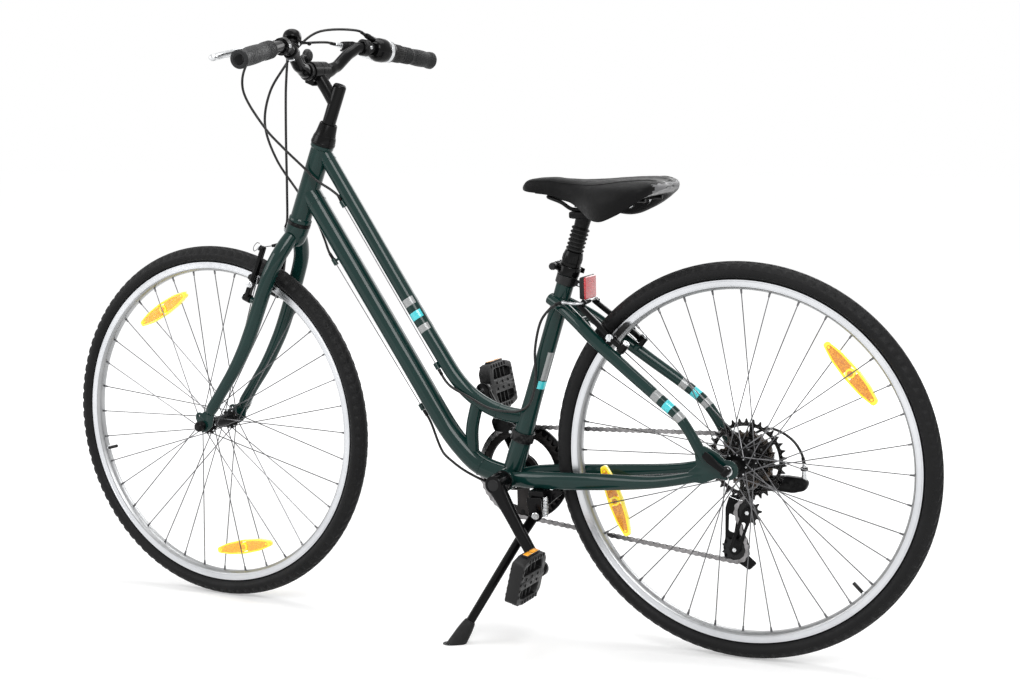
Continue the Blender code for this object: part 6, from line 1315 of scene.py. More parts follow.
def make_frame():
    """The welded frame, with its stops, bosses, dropouts and painted bands."""
    green = "paint_green"
    top_start = on_head(0.5790)
    top_end = on_seat(0.1180)
    top_shape = ((0.194, 0.0177), (0.461, 0.0421), (0.664, 0.0593), (0.779, 0.0668), (0.840, 0.0632))
    top_shape += ((0.896, 0.0510), (0.945, 0.0325))
    top_path = [top_start] + bowed(top_start, top_end, top_shape) + [top_end]
    down_start = on_head(0.4950)
    down_shape = ((0.370, 0.0232), (0.627, 0.0396), (0.720, 0.0460), (0.786, 0.0494))
    down_shape += ((0.851, 0.0478), (0.920, 0.0380))
    down_path = [down_start] + bowed(down_start, CRANK_AXIS, down_shape) + [CRANK_AXIS]
    top_fine = smooth_path(top_path, 90)
    down_fine = smooth_path(down_path, 90)
    lip = HEAD_RADIUS + 0.0022
    head = [(HEAD_BORE, HEAD_BOTTOM), (lip - 0.0006, HEAD_BOTTOM), (lip, HEAD_BOTTOM + 0.0006)]
    head += [(lip, HEAD_BOTTOM + 0.0058), (lip - 0.0004, HEAD_BOTTOM + 0.0066),
             (HEAD_RADIUS, HEAD_BOTTOM + 0.0090)]
    head += [(HEAD_RADIUS, HEAD_TOP - 0.0090), (lip - 0.0004, HEAD_TOP - 0.0066), (lip, HEAD_TOP - 0.0058)]
    head += [(lip, HEAD_TOP - 0.0006), (lip - 0.0006, HEAD_TOP), (HEAD_BORE, HEAD_TOP)]
    foot = SEAT_TUBE_FOOT_RADIUS
    tube_radius = SEAT_TUBE_RADIUS
    seat = [(SEAT_BORE, 0.0200), (foot, 0.0200), (foot, 0.0600), (foot - 0.0006, 0.0850),
            (tube_radius + 0.0006, 0.1350)]
    seat += [(tube_radius, 0.1600), (tube_radius, SEAT_TUBE_TOP - 0.0004),
             (tube_radius - 0.0004, SEAT_TUBE_TOP)]
    seat += [(SEAT_BORE, SEAT_TUBE_TOP)]
    shell = [(SHELL_BORE, -SHELL_HALF), (SHELL_RADIUS - 0.0006, -SHELL_HALF),
             (SHELL_RADIUS, 0.0006 - SHELL_HALF)]
    shell += [(SHELL_RADIUS, SHELL_HALF - 0.0006), (SHELL_RADIUS - 0.0006, SHELL_HALF),
              (SHELL_BORE, SHELL_HALF)]
    shapes = [
        revolve(head, STEER_POINT, HEAD_UP, green, 56, ring=True),
        revolve(seat, CRANK_AXIS, SEAT_UP, green, 56, ring=True),
        revolve(shell, CRANK_AXIS, Y, green, 56, ring=True),
        tube(top_fine, TOP_TUBE_RADIUS, green, 44, across=Y),
        tube(down_fine, DOWN_TUBE_RADIUS, green, 52, across=Y),
    ]
    strut_top = bowed(top_start, top_end, ((0.862, 0.0560),))[0]
    strut_foot = bowed(down_start, CRANK_AXIS, ((0.882, 0.0380),))[0]
    strut_mid = bowed(strut_top, strut_foot, ((0.55, 0.0060),))[0]
    shapes.append(bent([strut_top, strut_mid, strut_foot], STRUT_RADIUS, green, 24, 36))
    for along, share in ((TOP_TUBE_RADIUS, top_fine), (DOWN_TUBE_RADIUS, down_fine)):
        for which in (3, -9):
            before = Vector(share[which - 1])
            here = Vector(share[which])
            if which > 0:
                here = here + (here - before).normalized() * 0.0060
            shapes.append(weld(here, here - before, along, green))
    for side in (1, -1):
        stay = (
            (0.020, 0.0, 0.0200, 0.0080, 0.0130),
            (0.110, 0.0020, 0.0305, 0.0086, 0.0153),
            (0.434, 0.0116, 0.0420, 0.0092, 0.0150),
            (0.689, 0.0152, 0.0575, 0.0096, 0.0105),
            (0.858, 0.0084, 0.0660, 0.0092, 0.0095),
            (0.900, 0.0062, 0.0685, 0.0050, 0.0085),
        )
        stations = []
        for share, drop, out, half_width, half_height in stay:
            centre = bowed(CRANK_AXIS, REAR_AXLE, ((share, drop),))[0] + Y * (side * out)
            stations.append((centre, half_width, half_height))
        shapes.append(oval(stations, green, 60, 32))
        radii = (0.0110, 0.0118, 0.0118, 0.0115, 0.0110, 0.0104, 0.0098, 0.0092, 0.0088, 0.0050)
        points = []
        for (share, _, _), radius in zip(SEAT_STAY_PATH, radii):
            points.append((*seat_stay_point(share, side), radius))
        fine = smooth_path(points, 110)
        shapes.append(tube(fine, 0.01, green, 36))
        for start, finish in STAY_BANDS:
            shapes.append(strip(fine, 0.01, start, BAND_WIDTH, finish))
        slot = REAR_AXLE_RADIUS + CLEAR
        outline = [(slot, -0.0165), (0.0180, -0.0140), (0.0450, -0.0260), (0.0700, -0.0240),
                   (0.0720, -0.0080)]
        outline += [(0.0560, 0.0040), (0.0600, 0.0300), (0.0440, 0.0400), (0.0200, 0.0300)]
        outline += arc((0.0, 0.0), 0.0180, 75, 215, 12) + [(-slot, -0.0165)]
        outline = rounded(outline, 0.0040)
        outline += arc((0.0, 0.0), slot, 180, 0, 16)
        middle = side * (DROPOUT_INNER + DROPOUT_THICK / 2)
        shapes.append(plate(outline, DROPOUT_THICK, side_on(REAR_AXLE + Y * middle), green, edge=0.0007))
        at = rear_brake_pivot(side)
        boss_at = at - REAR_BRAKE_AXIS * 0.0135
        shapes.append(cylinder(0.0060, boss_at, at - REAR_BRAKE_AXIS * CLEAR, green, 24))
        shapes.append(cylinder(PIVOT_STUD_RADIUS, boss_at, at + REAR_BRAKE_AXIS * 0.0185, "silver", 24))
        shapes.append(
            socket_bolt(0.0064, at + REAR_BRAKE_AXIS * 0.0168, at + REAR_BRAKE_AXIS * 0.0205, "silver")
        )
    bridge_left = seat_stay_point(0.128, 1)
    bridge_right = seat_stay_point(0.128, -1)
    shapes.append(bent([bridge_left, (bridge_left + bridge_right) / 2, bridge_right], 0.0065, green, 12, 28))
    middle = (bridge_left + bridge_right) / 2
    tab_hole = circle((0.0, -0.0010), 0.0030, 20)
    shapes.append(
        plate(circle((0, 0), 0.0095, 32), 0.0030, placed(middle - Z * 0.012, Y, X), green, (tab_hole,))
    )
    for (start, along), path in zip(cable_stops(), (top_fine, top_fine, down_fine, down_fine)):
        nearest = min(path, key=lambda p: (Vector(p) - start).length)
        profile = [(STOP_BORE, -STOP_HALF), (STOP_RADIUS - 0.0004, -STOP_HALF),
                   (STOP_RADIUS, 0.0004 - STOP_HALF)]
        profile += [(STOP_RADIUS, STOP_HALF - 0.0004), (STOP_RADIUS - 0.0004, STOP_HALF),
                    (STOP_BORE, STOP_HALF)]
        shapes.append(revolve(profile, start, along, green, 24, ring=True))
        shapes.append(cylinder(0.0025, start + (Vector(nearest) - start) * 0.18, Vector(nearest), green, 16))
    for start, finish in TOP_BANDS:
        shapes.append(strip(top_fine, TOP_TUBE_RADIUS, start, BAND_WIDTH, finish, (-65.0, 245.0)))
    seat_line = [tuple(on_seat(0.1600 + 0.002 * k)) for k in range(120)]
    shapes.append(strip(seat_line, SEAT_TUBE_RADIUS, 0.0205, BAND_WIDTH, "stripe_turquoise", SEAT_BAND))
    shapes.append(strip(seat_line, SEAT_TUBE_RADIUS, 0.0370, 0.0550, "stripe_grey", SEAT_LINE))
    piece("frame_fine", bike, shapes, ("frame",))


def make_headset():
    """The headset's upper cup."""
    low = HEAD_TOP + CLEAR
    inner = STEERER_RADIUS + RUNNING
    profile = [(0.0226, low), (0.0230, low + 0.0006), (0.0232, HEAD_TOP + 0.0048),
               (0.0229, HEAD_TOP + 0.0056)]
    profile += [(0.0226, HEAD_TOP + 0.0060), (0.0224, HEAD_TOP + 0.0090), (0.0215, HEAD_TOP + 0.0150)]
    profile += [(0.0204, HEAD_TOP + 0.0180), (0.0196, HEAD_TOP + 0.0182), (0.0196, HEAD_TOP + 0.0215)]
    profile += [(0.0190, HEAD_TOP + 0.0225), (0.0168, STEERER_TOP), (0.0160, STEERER_TOP + 0.0010)]
    profile += [(inner, STEERER_TOP + 0.0010), (inner, low)]
    cup = revolve(profile, STEER_POINT, HEAD_UP, "black_gloss", 48, ring=True)
    piece("headset_upper_cup_fine", bike, [cup], ("headset_upper_cup",))


def make_fork():
    """The steerer, crown, blades and tips, with the front brake's bosses."""
    green = "paint_green"
    profile = [(0.0, 0.3840), (0.0138, 0.3840), (0.0150, 0.3852), (0.0186, 0.3910), (0.0203, 0.3960),
               (0.0215, 0.4080)]
    profile += [(0.0219, 0.4200), (0.0217, HEAD_BOTTOM - 0.0072), (0.0, HEAD_BOTTOM - 0.0072)]
    race = [(0.0, HEAD_BOTTOM - 0.0074), (0.0216, HEAD_BOTTOM - 0.0074), (0.0222, HEAD_BOTTOM - 0.0066)]
    race += [(0.0222, HEAD_BOTTOM - 0.0010), (0.0216, HEAD_BOTTOM - CLEAR),
             (STEERER_RADIUS, HEAD_BOTTOM - CLEAR)]
    race += [(STEERER_RADIUS, STEERER_TOP - 0.0005), (STEERER_RADIUS - 0.0005, STEERER_TOP),
             (0.0, STEERER_TOP)]
    shapes = [
        revolve(profile, STEER_POINT, HEAD_UP, green, 48),
        revolve(race, STEER_POINT, HEAD_UP, "black_satin", 48),
    ]
    for side in (1, -1):
        path = (
            (0.4000, 0.0, 0.0140, 0.0140),
            (0.3800, 0.0, 0.0270, 0.0150),
            (0.3550, 0.0, 0.0400, 0.0148),
            (0.3200, 0.0010, 0.0475, 0.0144),
            (0.2070, 0.0020, 0.0520, 0.0138),
            (0.1620, 0.0060, 0.0520, 0.0130),
            (0.1150, 0.0140, 0.0525, 0.0120),
            (0.0620, 0.0275, 0.0525, 0.0112),
            (0.0160, 0.0390, 0.0525, 0.0100),
            (0.0110, 0.0402, 0.0525, 0.0062),
        )
        points = []
        for along, forward, out, radius in path:
            points.append((*on_head(along, forward, side * out), radius))
        shapes.append(tube(smooth_path(points, 120), 0.01, green, 40))
        slot = FRONT_AXLE_RADIUS + CLEAR
        outline = [(slot, -0.0130), (0.0120, -0.0090), (0.0140, 0.0020), (0.0200, 0.0080)]
        outline += arc((0.0140, 0.0150), 0.0070, -30, 110, 10)
        outline += [(0.0030, 0.0300), (0.0000, 0.0440), (-0.0160, 0.0440), (-0.0180, 0.0250),
                    (-0.0210, 0.0080)]
        outline += [(-0.0150, -0.0040), (-slot, -0.0130)]
        outline = rounded(outline, 0.0025)
        outline += arc((0.0, 0.0), slot, 180, 0, 14)
        matrix = placed(FRONT_AXLE + Y * (side * (FORK_INNER + FORK_TIP_THICK / 2)), -Y, HEAD_FORWARD)
        eyelet = circle((0.0140, 0.0150), 0.0027, 16)
        shapes.append(plate(outline, FORK_TIP_THICK, matrix, green, (eyelet,), edge=0.0006))
        out = side * FORK_BRAKE_SIDE
        start = on_head(FORK_BRAKE_ALONG, 0.0020, out)
        seat = on_head(FORK_BRAKE_ALONG, FORK_BRAKE_FORWARD - CLEAR, out)
        end = on_head(FORK_BRAKE_ALONG, FORK_BRAKE_FORWARD + 0.0205, out)
        shapes.append(cylinder(0.0060, start, seat, green, 24))
        shapes.append(cylinder(PIVOT_STUD_RADIUS, start, end - HEAD_FORWARD * 0.002, "silver", 24))
        shapes.append(socket_bolt(0.0064, end - HEAD_FORWARD * 0.0037, end, "silver"))
    bolt = on_head(0.4050, 0.0205)
    shapes.append(hexagon(0.0050, bolt, bolt + HEAD_FORWARD * 0.0022, "black_satin"))
    piece("fork_fine", steering, shapes, ("fork",))


def make_stem():
    """The quill stem with its clamp and bolts."""
    gloss = "black_gloss"
    quill = [(0.0, 0.5200), (0.0110, 0.5200), (QUILL_RADIUS, 0.5240), (QUILL_RADIUS, STEM_TOP - 0.0060)]
    quill += [(0.0121, STEM_TOP - 0.0030), (0.0108, STEM_TOP - 0.0008), (0.0098, STEM_TOP),
              (0.0050, STEM_TOP)]
    quill += [(0.0050, STEM_TOP - 0.0030), (0.0036, STEM_TOP - 0.0030), (0.0036, STEM_TOP - 0.0100)]
    quill += [(0.0, STEM_TOP - 0.0100)]
    shapes = [revolve(quill, STEER_POINT, HEAD_UP, gloss, 40)]
    start = on_head(STEM_JOINT)
    stations = [(start, 0.0130, 0.0130), (start + (BAR_CENTRE - start) * 0.45, 0.0118, 0.0122)]
    stations += [(BAR_CENTRE - (BAR_CENTRE - start).normalized() * 0.004, 0.0125, 0.0128)]
    shapes.append(oval(stations, gloss, 24, 32))
    inner = BAR_CLAMP_RADIUS + RUNNING
    for low, high in ((-0.0240, -0.0005), (0.0005, 0.0240)):
        profile = [(inner, low), (0.0184, low), (0.0190, low + 0.0006), (0.0190, high - 0.0006),
                   (0.0184, high)]
        profile += [(inner, high)]
        shapes.append(revolve(profile, BAR_CENTRE, Y, gloss, 40, ring=True))
    shapes.append(
        box((0.0120, 0.0280, 0.0200), BAR_CENTRE - HEAD_UP * 0.0190, gloss, HEAD_FORWARD, HEAD_UP, 0.0022)
    )
    for side in (1, -1):
        at = BAR_CENTRE - HEAD_UP * 0.0200 + Y * (side * 0.0075) + HEAD_FORWARD * 0.0098
        shapes.append(socket_bolt(0.0042, at - HEAD_FORWARD * 0.001, at + HEAD_FORWARD * 0.0030, "silver"))
    piece("stem_fine", steering, shapes, ("stem",))


def make_bar():
    """The handlebar, swept back towards the rider."""
    points = []
    stations = ((1.0, 0), (0.90, 0), (0.75, 0), (0.60, 0), (0.50, 0), (0.453, 0), (0.412, 0), (0.369, 0),
                (0.330, 0))
    stations += ((0.290, 0), (0.245, 0), (0.200, 0), (0.170, 0), (0.140, 1), (0.110, 1), (0.0, 1))
    for side in (-1, 1):
        half = []
        for across, fat in stations:
            half.append((*bar_point(across, side), BAR_CLAMP_RADIUS if fat else BAR_RADIUS))
        points += half if side < 0 else list(reversed(half))[1:]
    bar = tube(smooth_path(points, 150), BAR_RADIUS, "black_gloss", 36)
    piece("handlebar_fine", steering, [bar], ("handlebar",))


def grip_shape(side, length):
    """A soft grip: a waist, a raised palm rest, fine rings at its inner end and a plug in its outer end."""
    end, out = grip_axis(side)
    bore = BAR_RADIUS + RUNNING
    profile = [(0.0, 0.0040), (0.0085, 0.0040), (0.0092, 0.0036), (0.0092, 0.0030), (0.0100, 0.0030)]
    profile += [(0.0100, 0.0040), (0.0135, 0.0040), (0.0155, 0.0032), (GRIP_END_RADIUS, 0.0012)]
    profile += [(GRIP_END_RADIUS, -0.0050), (0.0163, -0.0080), (0.0152, -0.0120)]
    steps = 22
    for k in range(1, steps):
        t = k / steps
        swell = 0.0013 * sin(pi * min(t * 1.15, 1.0)) + 0.0002
        profile.append((GRIP_RADIUS + swell, -0.0120 - (length - 0.0360) * t))
    low = -length + 0.0240
    for k in range(5):
        profile += [(0.0160, low - 0.0036 * k), (0.0164, low - 0.0036 * k - 0.0005),
                    (0.0164, low - 0.0036 * k - 0.0020)]
        profile += [(0.0160, low - 0.0036 * k - 0.0025), (0.0155, low - 0.0036 * k - 0.0028)]
    profile += [(0.0155, -length + 0.0032), (0.0164, -length + 0.0026), (0.0164, -length + 0.0006)]
    profile += [(0.0160, -length), (bore, -length)]
    return revolve(profile, end, out, "grip", 48), end, out


def make_grips():
    """The two grips: the right one is short, to leave room for the shifter."""
    for side, name, length in ((1, "grip_left", LEFT_GRIP_LENGTH), (-1, "grip_right", RIGHT_GRIP_LENGTH)):
        grip, end, out = grip_shape(side, length)
        plug = [(0.0, 0.0046), (0.0070, 0.0045), (0.0090, 0.0041), (0.0093, 0.0034), (0.0, 0.0034)]
        shapes = [grip, revolve(plug, end, out, "black_satin", 32)]
        for k in range(16):
            angle = radians(-62 + 124 * (k % 8) / 7)
            along = -0.030 - 0.013 * (k // 8) - 0.0065 * (k % 2)
            if -along > length - 0.036:
                continue
            radial = axes(out, HEAD_FORWARD).to_3x3() @ Vector((-cos(angle), sin(angle), 0.0))
            at = end + out * along + radial * 0.0160
            shapes.append(box((0.0022, 0.0070, 0.0006), at, "grip", radial, out.cross(radial), 0.0003, 2))
        piece(name + "_fine", steering, shapes, (name,))


def make_lever(side, hand):
    """A brake lever in its bracket, with the barrel adjuster."""
    bar, out, reach = lever_frame(side)
    at, axis = lever_pivot(side)
    black = "black_satin"
    shapes = []
    inner = BAR_RADIUS + RUNNING * 0.5
    ring = [(inner, -0.0080), (0.0154, -0.0080), (0.0160, -0.0074), (0.0160, 0.0054), (0.0154, 0.0060),
            (inner, 0.0060)]
    shapes.append(revolve(ring, bar, out, black, 40, ring=True))
    for sign in (1, -1):
        centre = at + axis * (0.0072 * sign) - out * 0.002
        outline = rounded([(-0.012, -0.013), (0.012, -0.011), (0.012, 0.010), (-0.012, 0.013)], 0.0070, 6)
        shapes.append(plate(outline, 0.0030, placed(centre, axis, reach), black, edge=0.0006))
    shapes.append(box((0.0110, 0.0280, 0.0174), bar + reach * 0.0103 - out * 0.0150, black, axis, reach,
                      0.0025, 4))
    shapes.append(box((0.0180, 0.0070, 0.0174), bar + reach * 0.0190 - out * 0.0265, black, axis, reach,
                      0.0022, 4))
    shapes.append(socket_bolt(0.0032, bar - reach * 0.0150 - out * 0.001,
                              bar - reach * 0.0185 - out * 0.001, "silver"))
    start, end = barrel_line(side)
    leave = (end - start).normalized()
    barrel = [(0.0, 0.0), (0.0046, 0.0), (0.0048, 0.0004), (0.0048, 0.0060), (0.0044, 0.0063),
              (0.0044, 0.0068)]
    barrel += [(0.0047, 0.0071), (0.0047, 0.0120), (0.0041, 0.0124), (0.0041, 0.0206), (0.0036, 0.0216)]
    barrel += [(0.0030, (end - start).length), (0.0, (end - start).length)]
    shapes.append(revolve(barrel, start, leave, "silver", 28))
    for k in range(14):
        angle = 2 * pi * k / 14
        radial = axes(leave).to_3x3() @ Vector((cos(angle), sin(angle), 0.0))
        rib = start + leave * 0.0095 + radial * 0.0047
        shapes.append(box((0.0008, 0.0011, 0.0046), rib, "silver", leave, radial, 0.0002, 1))
    shapes.append(cylinder(0.0024, at - axis * 0.0100, at + axis * 0.0100, "silver", 20))
    shapes.append(socket_bolt(0.0040, at + axis * 0.0086, at + axis * 0.0106, "silver"))
    name = "brake_lever_bracket_" + hand
    piece(name + "_fine", steering, shapes, (name,))
    along = (reach * 0.20 + out).normalized()
    tip = at + reach * 0.0520 + out * LEVER_LENGTH
    path = [at + out * 0.0080 + reach * 0.0020, at + out * 0.0240 + reach * 0.0080,
            at + out * 0.0480 + reach * 0.0230]
    path += [at + out * 0.0850 + reach * 0.0400, at + out * 0.1200 + reach * 0.0490, tip]
    flat = along.cross(axis).normalized()
    widths = (0.0034, 0.0036, 0.0034, 0.0032, 0.0032, 0.0038)
    heights = (0.0052, 0.0058, 0.0062, 0.0062, 0.0062, 0.0062)
    shapes = [oval(list(zip(path, widths, heights)), "silver", 48, 28, flat, 2.6)]
    shapes.append(ball(0.0078, tip, "silver", axis, 0.82, 24))
    shapes.append(cylinder(0.0090, at - axis * 0.0053, at + axis * 0.0053, "silver", 32, edge=0.0010))
    lever_name = "brake_lever_" + hand
    piece(lever_name + "_fine", lever_pivots[hand], shapes, (lever_name,))


def make_shifter():
    """The twist shifter: the ring that turns and its body."""
    end, out = grip_axis(-1)
    ring_low = -(RIGHT_GRIP_LENGTH + GRIP_GAP)
    ring_high = ring_low - RING_WIDTH
    body_low = ring_high - GRIP_GAP
    body_high = body_low - SHIFTER_WIDTH
    bore = BAR_RADIUS + RUNNING
    ribs = 24
    rings = []
    levels = ((ring_low, 0.0152, 0.0), (ring_low - 0.0012, 0.0166, 0.2), (ring_low - 0.0030, 0.0168, 1.0))
    levels += ((ring_high + 0.0050, 0.0168, 1.0), (ring_high + 0.0032, 0.0170, 0.2),
               (ring_high + 0.0006, 0.0176, 0.0))
    levels += ((ring_high, 0.0170, 0.0), (ring_high, bore, 0.0))
    matrix = axes(out).to_3x3()
    for level, radius, deep in ((ring_low, bore, 0.0), *levels):
        ring = []
        for k in range(ribs * 6):
            wave = 0.5 + 0.5 * cos(2 * pi * k / 6)
            own = radius + 0.0009 * deep * (wave**0.5)
            angle = 2 * pi * k / (ribs * 6)
            ring.append(end + out * level + matrix @ Vector((own * cos(angle), own * sin(angle), 0.0)))
        rings.append(ring)
    piece("shifter_ring_fine", shifter_axis, [loft(rings, "black_rubber")],
          ("shifter_ring",))
    drum = [(bore, body_low), (0.0180, body_low), (0.0193, body_low - 0.0010), (0.0208, body_low - 0.0040)]
    drum += [(0.0214, body_low - 0.0075)]
    band = [(0.0, body_low - 0.0078), (0.0214, body_low - 0.0078), (0.0217, body_low - 0.0082)]
    band += [(0.0217, body_low - 0.0150), (0.0214, body_low - 0.0154), (0.0, body_low - 0.0154)]
    far = [(0.0, body_low - 0.0156), (0.0214, body_low - 0.0158), (0.0222, body_low - 0.0190)]
    far += [(0.0229, body_low - 0.0225), (0.0230, body_low - 0.0260), (0.0230, body_high + 0.0130)]
    far += [(0.0224, body_high + 0.0100), (0.0196, body_high + 0.0040), (0.0180, body_high + 0.0012)]
    far += [(0.0168, body_high), (bore, body_high)]
    drum += [(0.0213, body_low - 0.0078), (0.0, body_low - 0.0078)]
    shapes = [
        revolve(drum, end, out, "black_gloss", 56),
        revolve(band, end, out, "silver", 56),
        revolve(far, end, out, "black_gloss", 56),
    ]
    nose, tip = spout_line()
    shapes.append(cylinder(0.0062, nose, tip, "black_gloss", 32, 0.0045, edge=0.0010))
    leave = (tip - nose).normalized()
    for k in range(3):
        at = tip - leave * (0.0040 + 0.0030 * k)
        shapes.append(cylinder(0.0052 + 0.0003 * k, at, at + leave * 0.0014, "black_satin", 28))
    window = nose + out * 0.0120 - HEAD_UP * 0.0010
    shapes.append(box((0.018, 0.024, 0.010), window, "black_gloss", HEAD_UP, out, 0.0030, 4))
    shapes.append(box((0.013, 0.016, 0.0008), window + HEAD_UP * 0.0050, "clear_plastic", HEAD_UP, out,
                      0.0004, 2))
    for k in range(7):
        mark = window + HEAD_UP * 0.0053 + out * (0.0018 * (k - 3))
        shapes.append(box((0.0004, 0.0060, 0.0002), mark, "stripe_grey", HEAD_UP, out, 0.0001, 1))
    shapes.append(socket_bolt(0.0030, end + out * (body_high + 0.0060) - HEAD_UP * 0.0195,
                              end + out * (body_high + 0.0060) - HEAD_UP * 0.0222, "silver"))
    piece("shifter_body_fine", steering, shapes, ("shifter_body",))


def make_bell():
    """The bell's dome on its clamp, and the lever that the thumb flicks."""
    dome = [(0.0, 0.0270), (0.0150, 0.0270), (0.0160, 0.0266), (0.0167, 0.0272), (0.0172, 0.0290),
            (0.0174, 0.0320)]
    dome += [(0.0171, 0.0355), (0.0163, 0.0390), (0.0148, 0.0418), (0.0124, 0.0440), (0.0090, 0.0453),
             (0.0050, 0.0459)]
    dome += [(0.0030, 0.0462), (0.0, 0.0463)]
    gloss = "black_gloss"
    shapes = [revolve(dome, BELL_BAR, BELL_UP, gloss, 48)]
    shapes.append(cylinder(0.0090, BELL_BAR + BELL_UP * 0.0210, BELL_BAR + BELL_UP * 0.0265,
                           "black_plastic", 32))
    shapes.append(cylinder(0.0075, BELL_BAR + BELL_UP * 0.0115, BELL_BAR + BELL_UP * 0.0280,
                           "black_plastic", 28))
    inner = BAR_RADIUS + RUNNING * 0.5
    ring = [(inner, -0.0060), (0.0140, -0.0060), (0.0145, -0.0055), (0.0145, 0.0055), (0.0140, 0.0060),
            (inner, 0.0060)]
    shapes.append(revolve(ring, BELL_BAR, BELL_ALONG, "black_plastic", 40, ring=True))
    below = BELL_BAR - BELL_UP * 0.0150
    aside = BELL_UP.cross(BELL_ALONG)
    shapes.append(cylinder(0.0022, below - aside * 0.0040, below + aside * 0.0060, "silver", 16))
    shapes.append(cylinder(0.0018, BELL_LEVER_AT - BELL_UP * 0.0075, BELL_LEVER_AT + BELL_UP * 0.0045,
                           "silver", 16))
    shapes.append(cylinder(0.0030, BELL_BAR + BELL_UP * 0.0135, BELL_LEVER_AT - BELL_UP * 0.0055,
                           "black_plastic", 20))
    piece("bell_fine", steering, shapes, ("bell",))
    tip = BELL_LEVER_AT + aside * 0.0150 - BELL_ALONG * 0.0120 + BELL_UP * 0.001
    shapes = [cylinder(0.0046, BELL_LEVER_AT - BELL_UP * 0.0010, BELL_LEVER_AT + BELL_UP * 0.0030, gloss, 24)]
    shapes.append(cylinder(0.0022, BELL_LEVER_AT + aside * 0.002 + BELL_UP * 0.001, tip, gloss, 20))
    shapes.append(ball(0.0042, tip, gloss, BELL_UP, 0.85, 20))
    piece("bell_lever_fine", bell_lever_axis, shapes, ("bell_lever",))


def make_front_reflector():
    """The front reflector on its bracket."""
    bar = BAR_CENTRE + Y * REFLECTOR_SIDE
    inner = BAR_CLAMP_RADIUS + RUNNING
    ring = [(inner, -0.0040), (0.0157, -0.0040), (0.0162, -0.0035), (0.0162, 0.0035), (0.0157, 0.0040),
            (inner, 0.0040)]
    shapes = [revolve(ring, bar, Y, "black_plastic", 40, ring=True)]
    middle = BAR_CENTRE + HEAD_UP * 0.0200 + HEAD_FORWARD * 0.0290
    bend = bar - Y * 0.0020 + HEAD_UP * 0.0200 + HEAD_FORWARD * 0.0220
    arm = [bar + HEAD_UP * 0.0095 + HEAD_FORWARD * 0.0105, bend, middle]
    shapes.append(bent(arm, 0.0035, "black_plastic", 16, 20))
    facing = (X * 0.97 + Z * 0.10).normalized()
    back = [(0.0, -0.0060), (0.0094, -0.0060), (0.0104, -0.0054), (0.0129, -0.0022), (0.0132, -0.0014)]
    back += [(0.0132, 0.0026), (0.0128, 0.0030), (0.0118, 0.0030), (0.0118, 0.0022), (0.0, 0.0022)]
    shapes.append(revolve(back, middle, facing, "black_plastic", 40))
    lens = [(0.0, 0.0024), (0.0116, 0.0024), (0.0117, 0.0033), (0.0112, 0.0038), (0.0070, 0.0047),
            (0.0, 0.0052)]
    shapes.append(revolve(lens, middle, facing, "lens_white", 40))
    piece("front_reflector_fine", steering, shapes, ("front_reflector",))


def tread_depth(index, step, side):
    """How far a tread groove is sunk at this point of the section."""
    deep = 0.0
    if index in (9, 10, 11) and (step + (3 if side < 0 else 0)) % 6 < 2:
        deep = 0.0024
    if index == 12:
        deep = 0.0018
    if index in (13, 14, 15):
        slant = (step + (index - 13) * (1 if side > 0 else -1)) % 6
        if slant < 2:
            deep = 0.0016
    if index in (3, 4) and step % 2 == 0:
        deep = 0.00012
    return deep


def make_tyre(end, centre, parent):
    """A tyre, with its tread cut into the section at each step round the wheel."""
    section = [(TYRE_RADIUS - down, out, i, 1) for i, (down, out) in enumerate(TYRE_EDGE)]
    section += [(r, -h, i, -1) for r, h, i, _ in reversed(section[:-1])]
    inside = ((RIM_RADIUS - 0.0040, -0.0072), (TYRE_RADIUS - 0.0148, -0.0142),
              (TYRE_RADIUS - 0.0060, -0.0050))
    inside += ((TYRE_RADIUS - 0.0060, 0.0050), (TYRE_RADIUS - 0.0148, 0.0142), (RIM_RADIUS - 0.0040, 0.0072))
    section += [(r, h, -1, 0) for r, h in inside]
    rings = []
    for step in range(TYRE_STEPS):
        angle = 2 * pi * step / TYRE_STEPS
        direction = X * cos(angle) + Z * sin(angle)
        ring = []
        for radius, out, index, side in section:
            ring.append(centre + direction * (radius - tread_depth(index, step, side)) + Y * out)
        rings.append(ring)
    name = "tyre_" + end
    piece(name + "_fine", parent, [loft(rings, "tyre", closed=True)], (name,), 24.0)


def reflector_outline(steps=5):
    """The boat-shaped edge of a wheel reflector."""
    return rounded(REFLECTOR_EDGE, 0.0045, steps)


def make_wheel_reflector(centre, angle, prism):
    """A boat-shaped reflector held between the spokes by the round clip at its middle."""
    middle = around(centre, REFLECTOR_RADIUS, angle)
    radial = (middle - centre).normalized()
    matrix = placed(middle, Y, radial.cross(Y))
    shapes = []
    outline = reflector_outline()
    inner = [(x * 0.90, y * 0.74) for x, y in outline]
    window = list(reversed(inner))
    shapes.append(plate(outline, 0.0110, matrix, "lens_yellow", (window,), edge=0.0010))
    for half in (1, -1):
        lens = [(0.0075, -0.0100), (0.0340, -0.0086), (0.0592, -0.0037)]
        lens += [(x, -y) for x, y in reversed(lens)]
        lens = rounded([(x * half, y) for x, y in lens], 0.0020, 3)
        shapes.append(plate(lens, 0.0096, matrix, prism, edge=0.0005))
    shapes.append(cylinder(0.0086, middle - Y * 0.0062, middle + Y * 0.0062, "lens_yellow", 32, edge=0.0010))
    shapes.append(cylinder(0.0052, middle - Y * 0.0068, middle + Y * 0.0068, prism, 24))
    for k in (-1, 1):
        at = middle + (matrix.to_3x3() @ Vector((0.0560 * k, 0.0, 0.0)))
        shapes.append(cylinder(0.0022, at - Y * 0.0061, at + Y * 0.0061, "lens_yellow", 16))
    return shapes


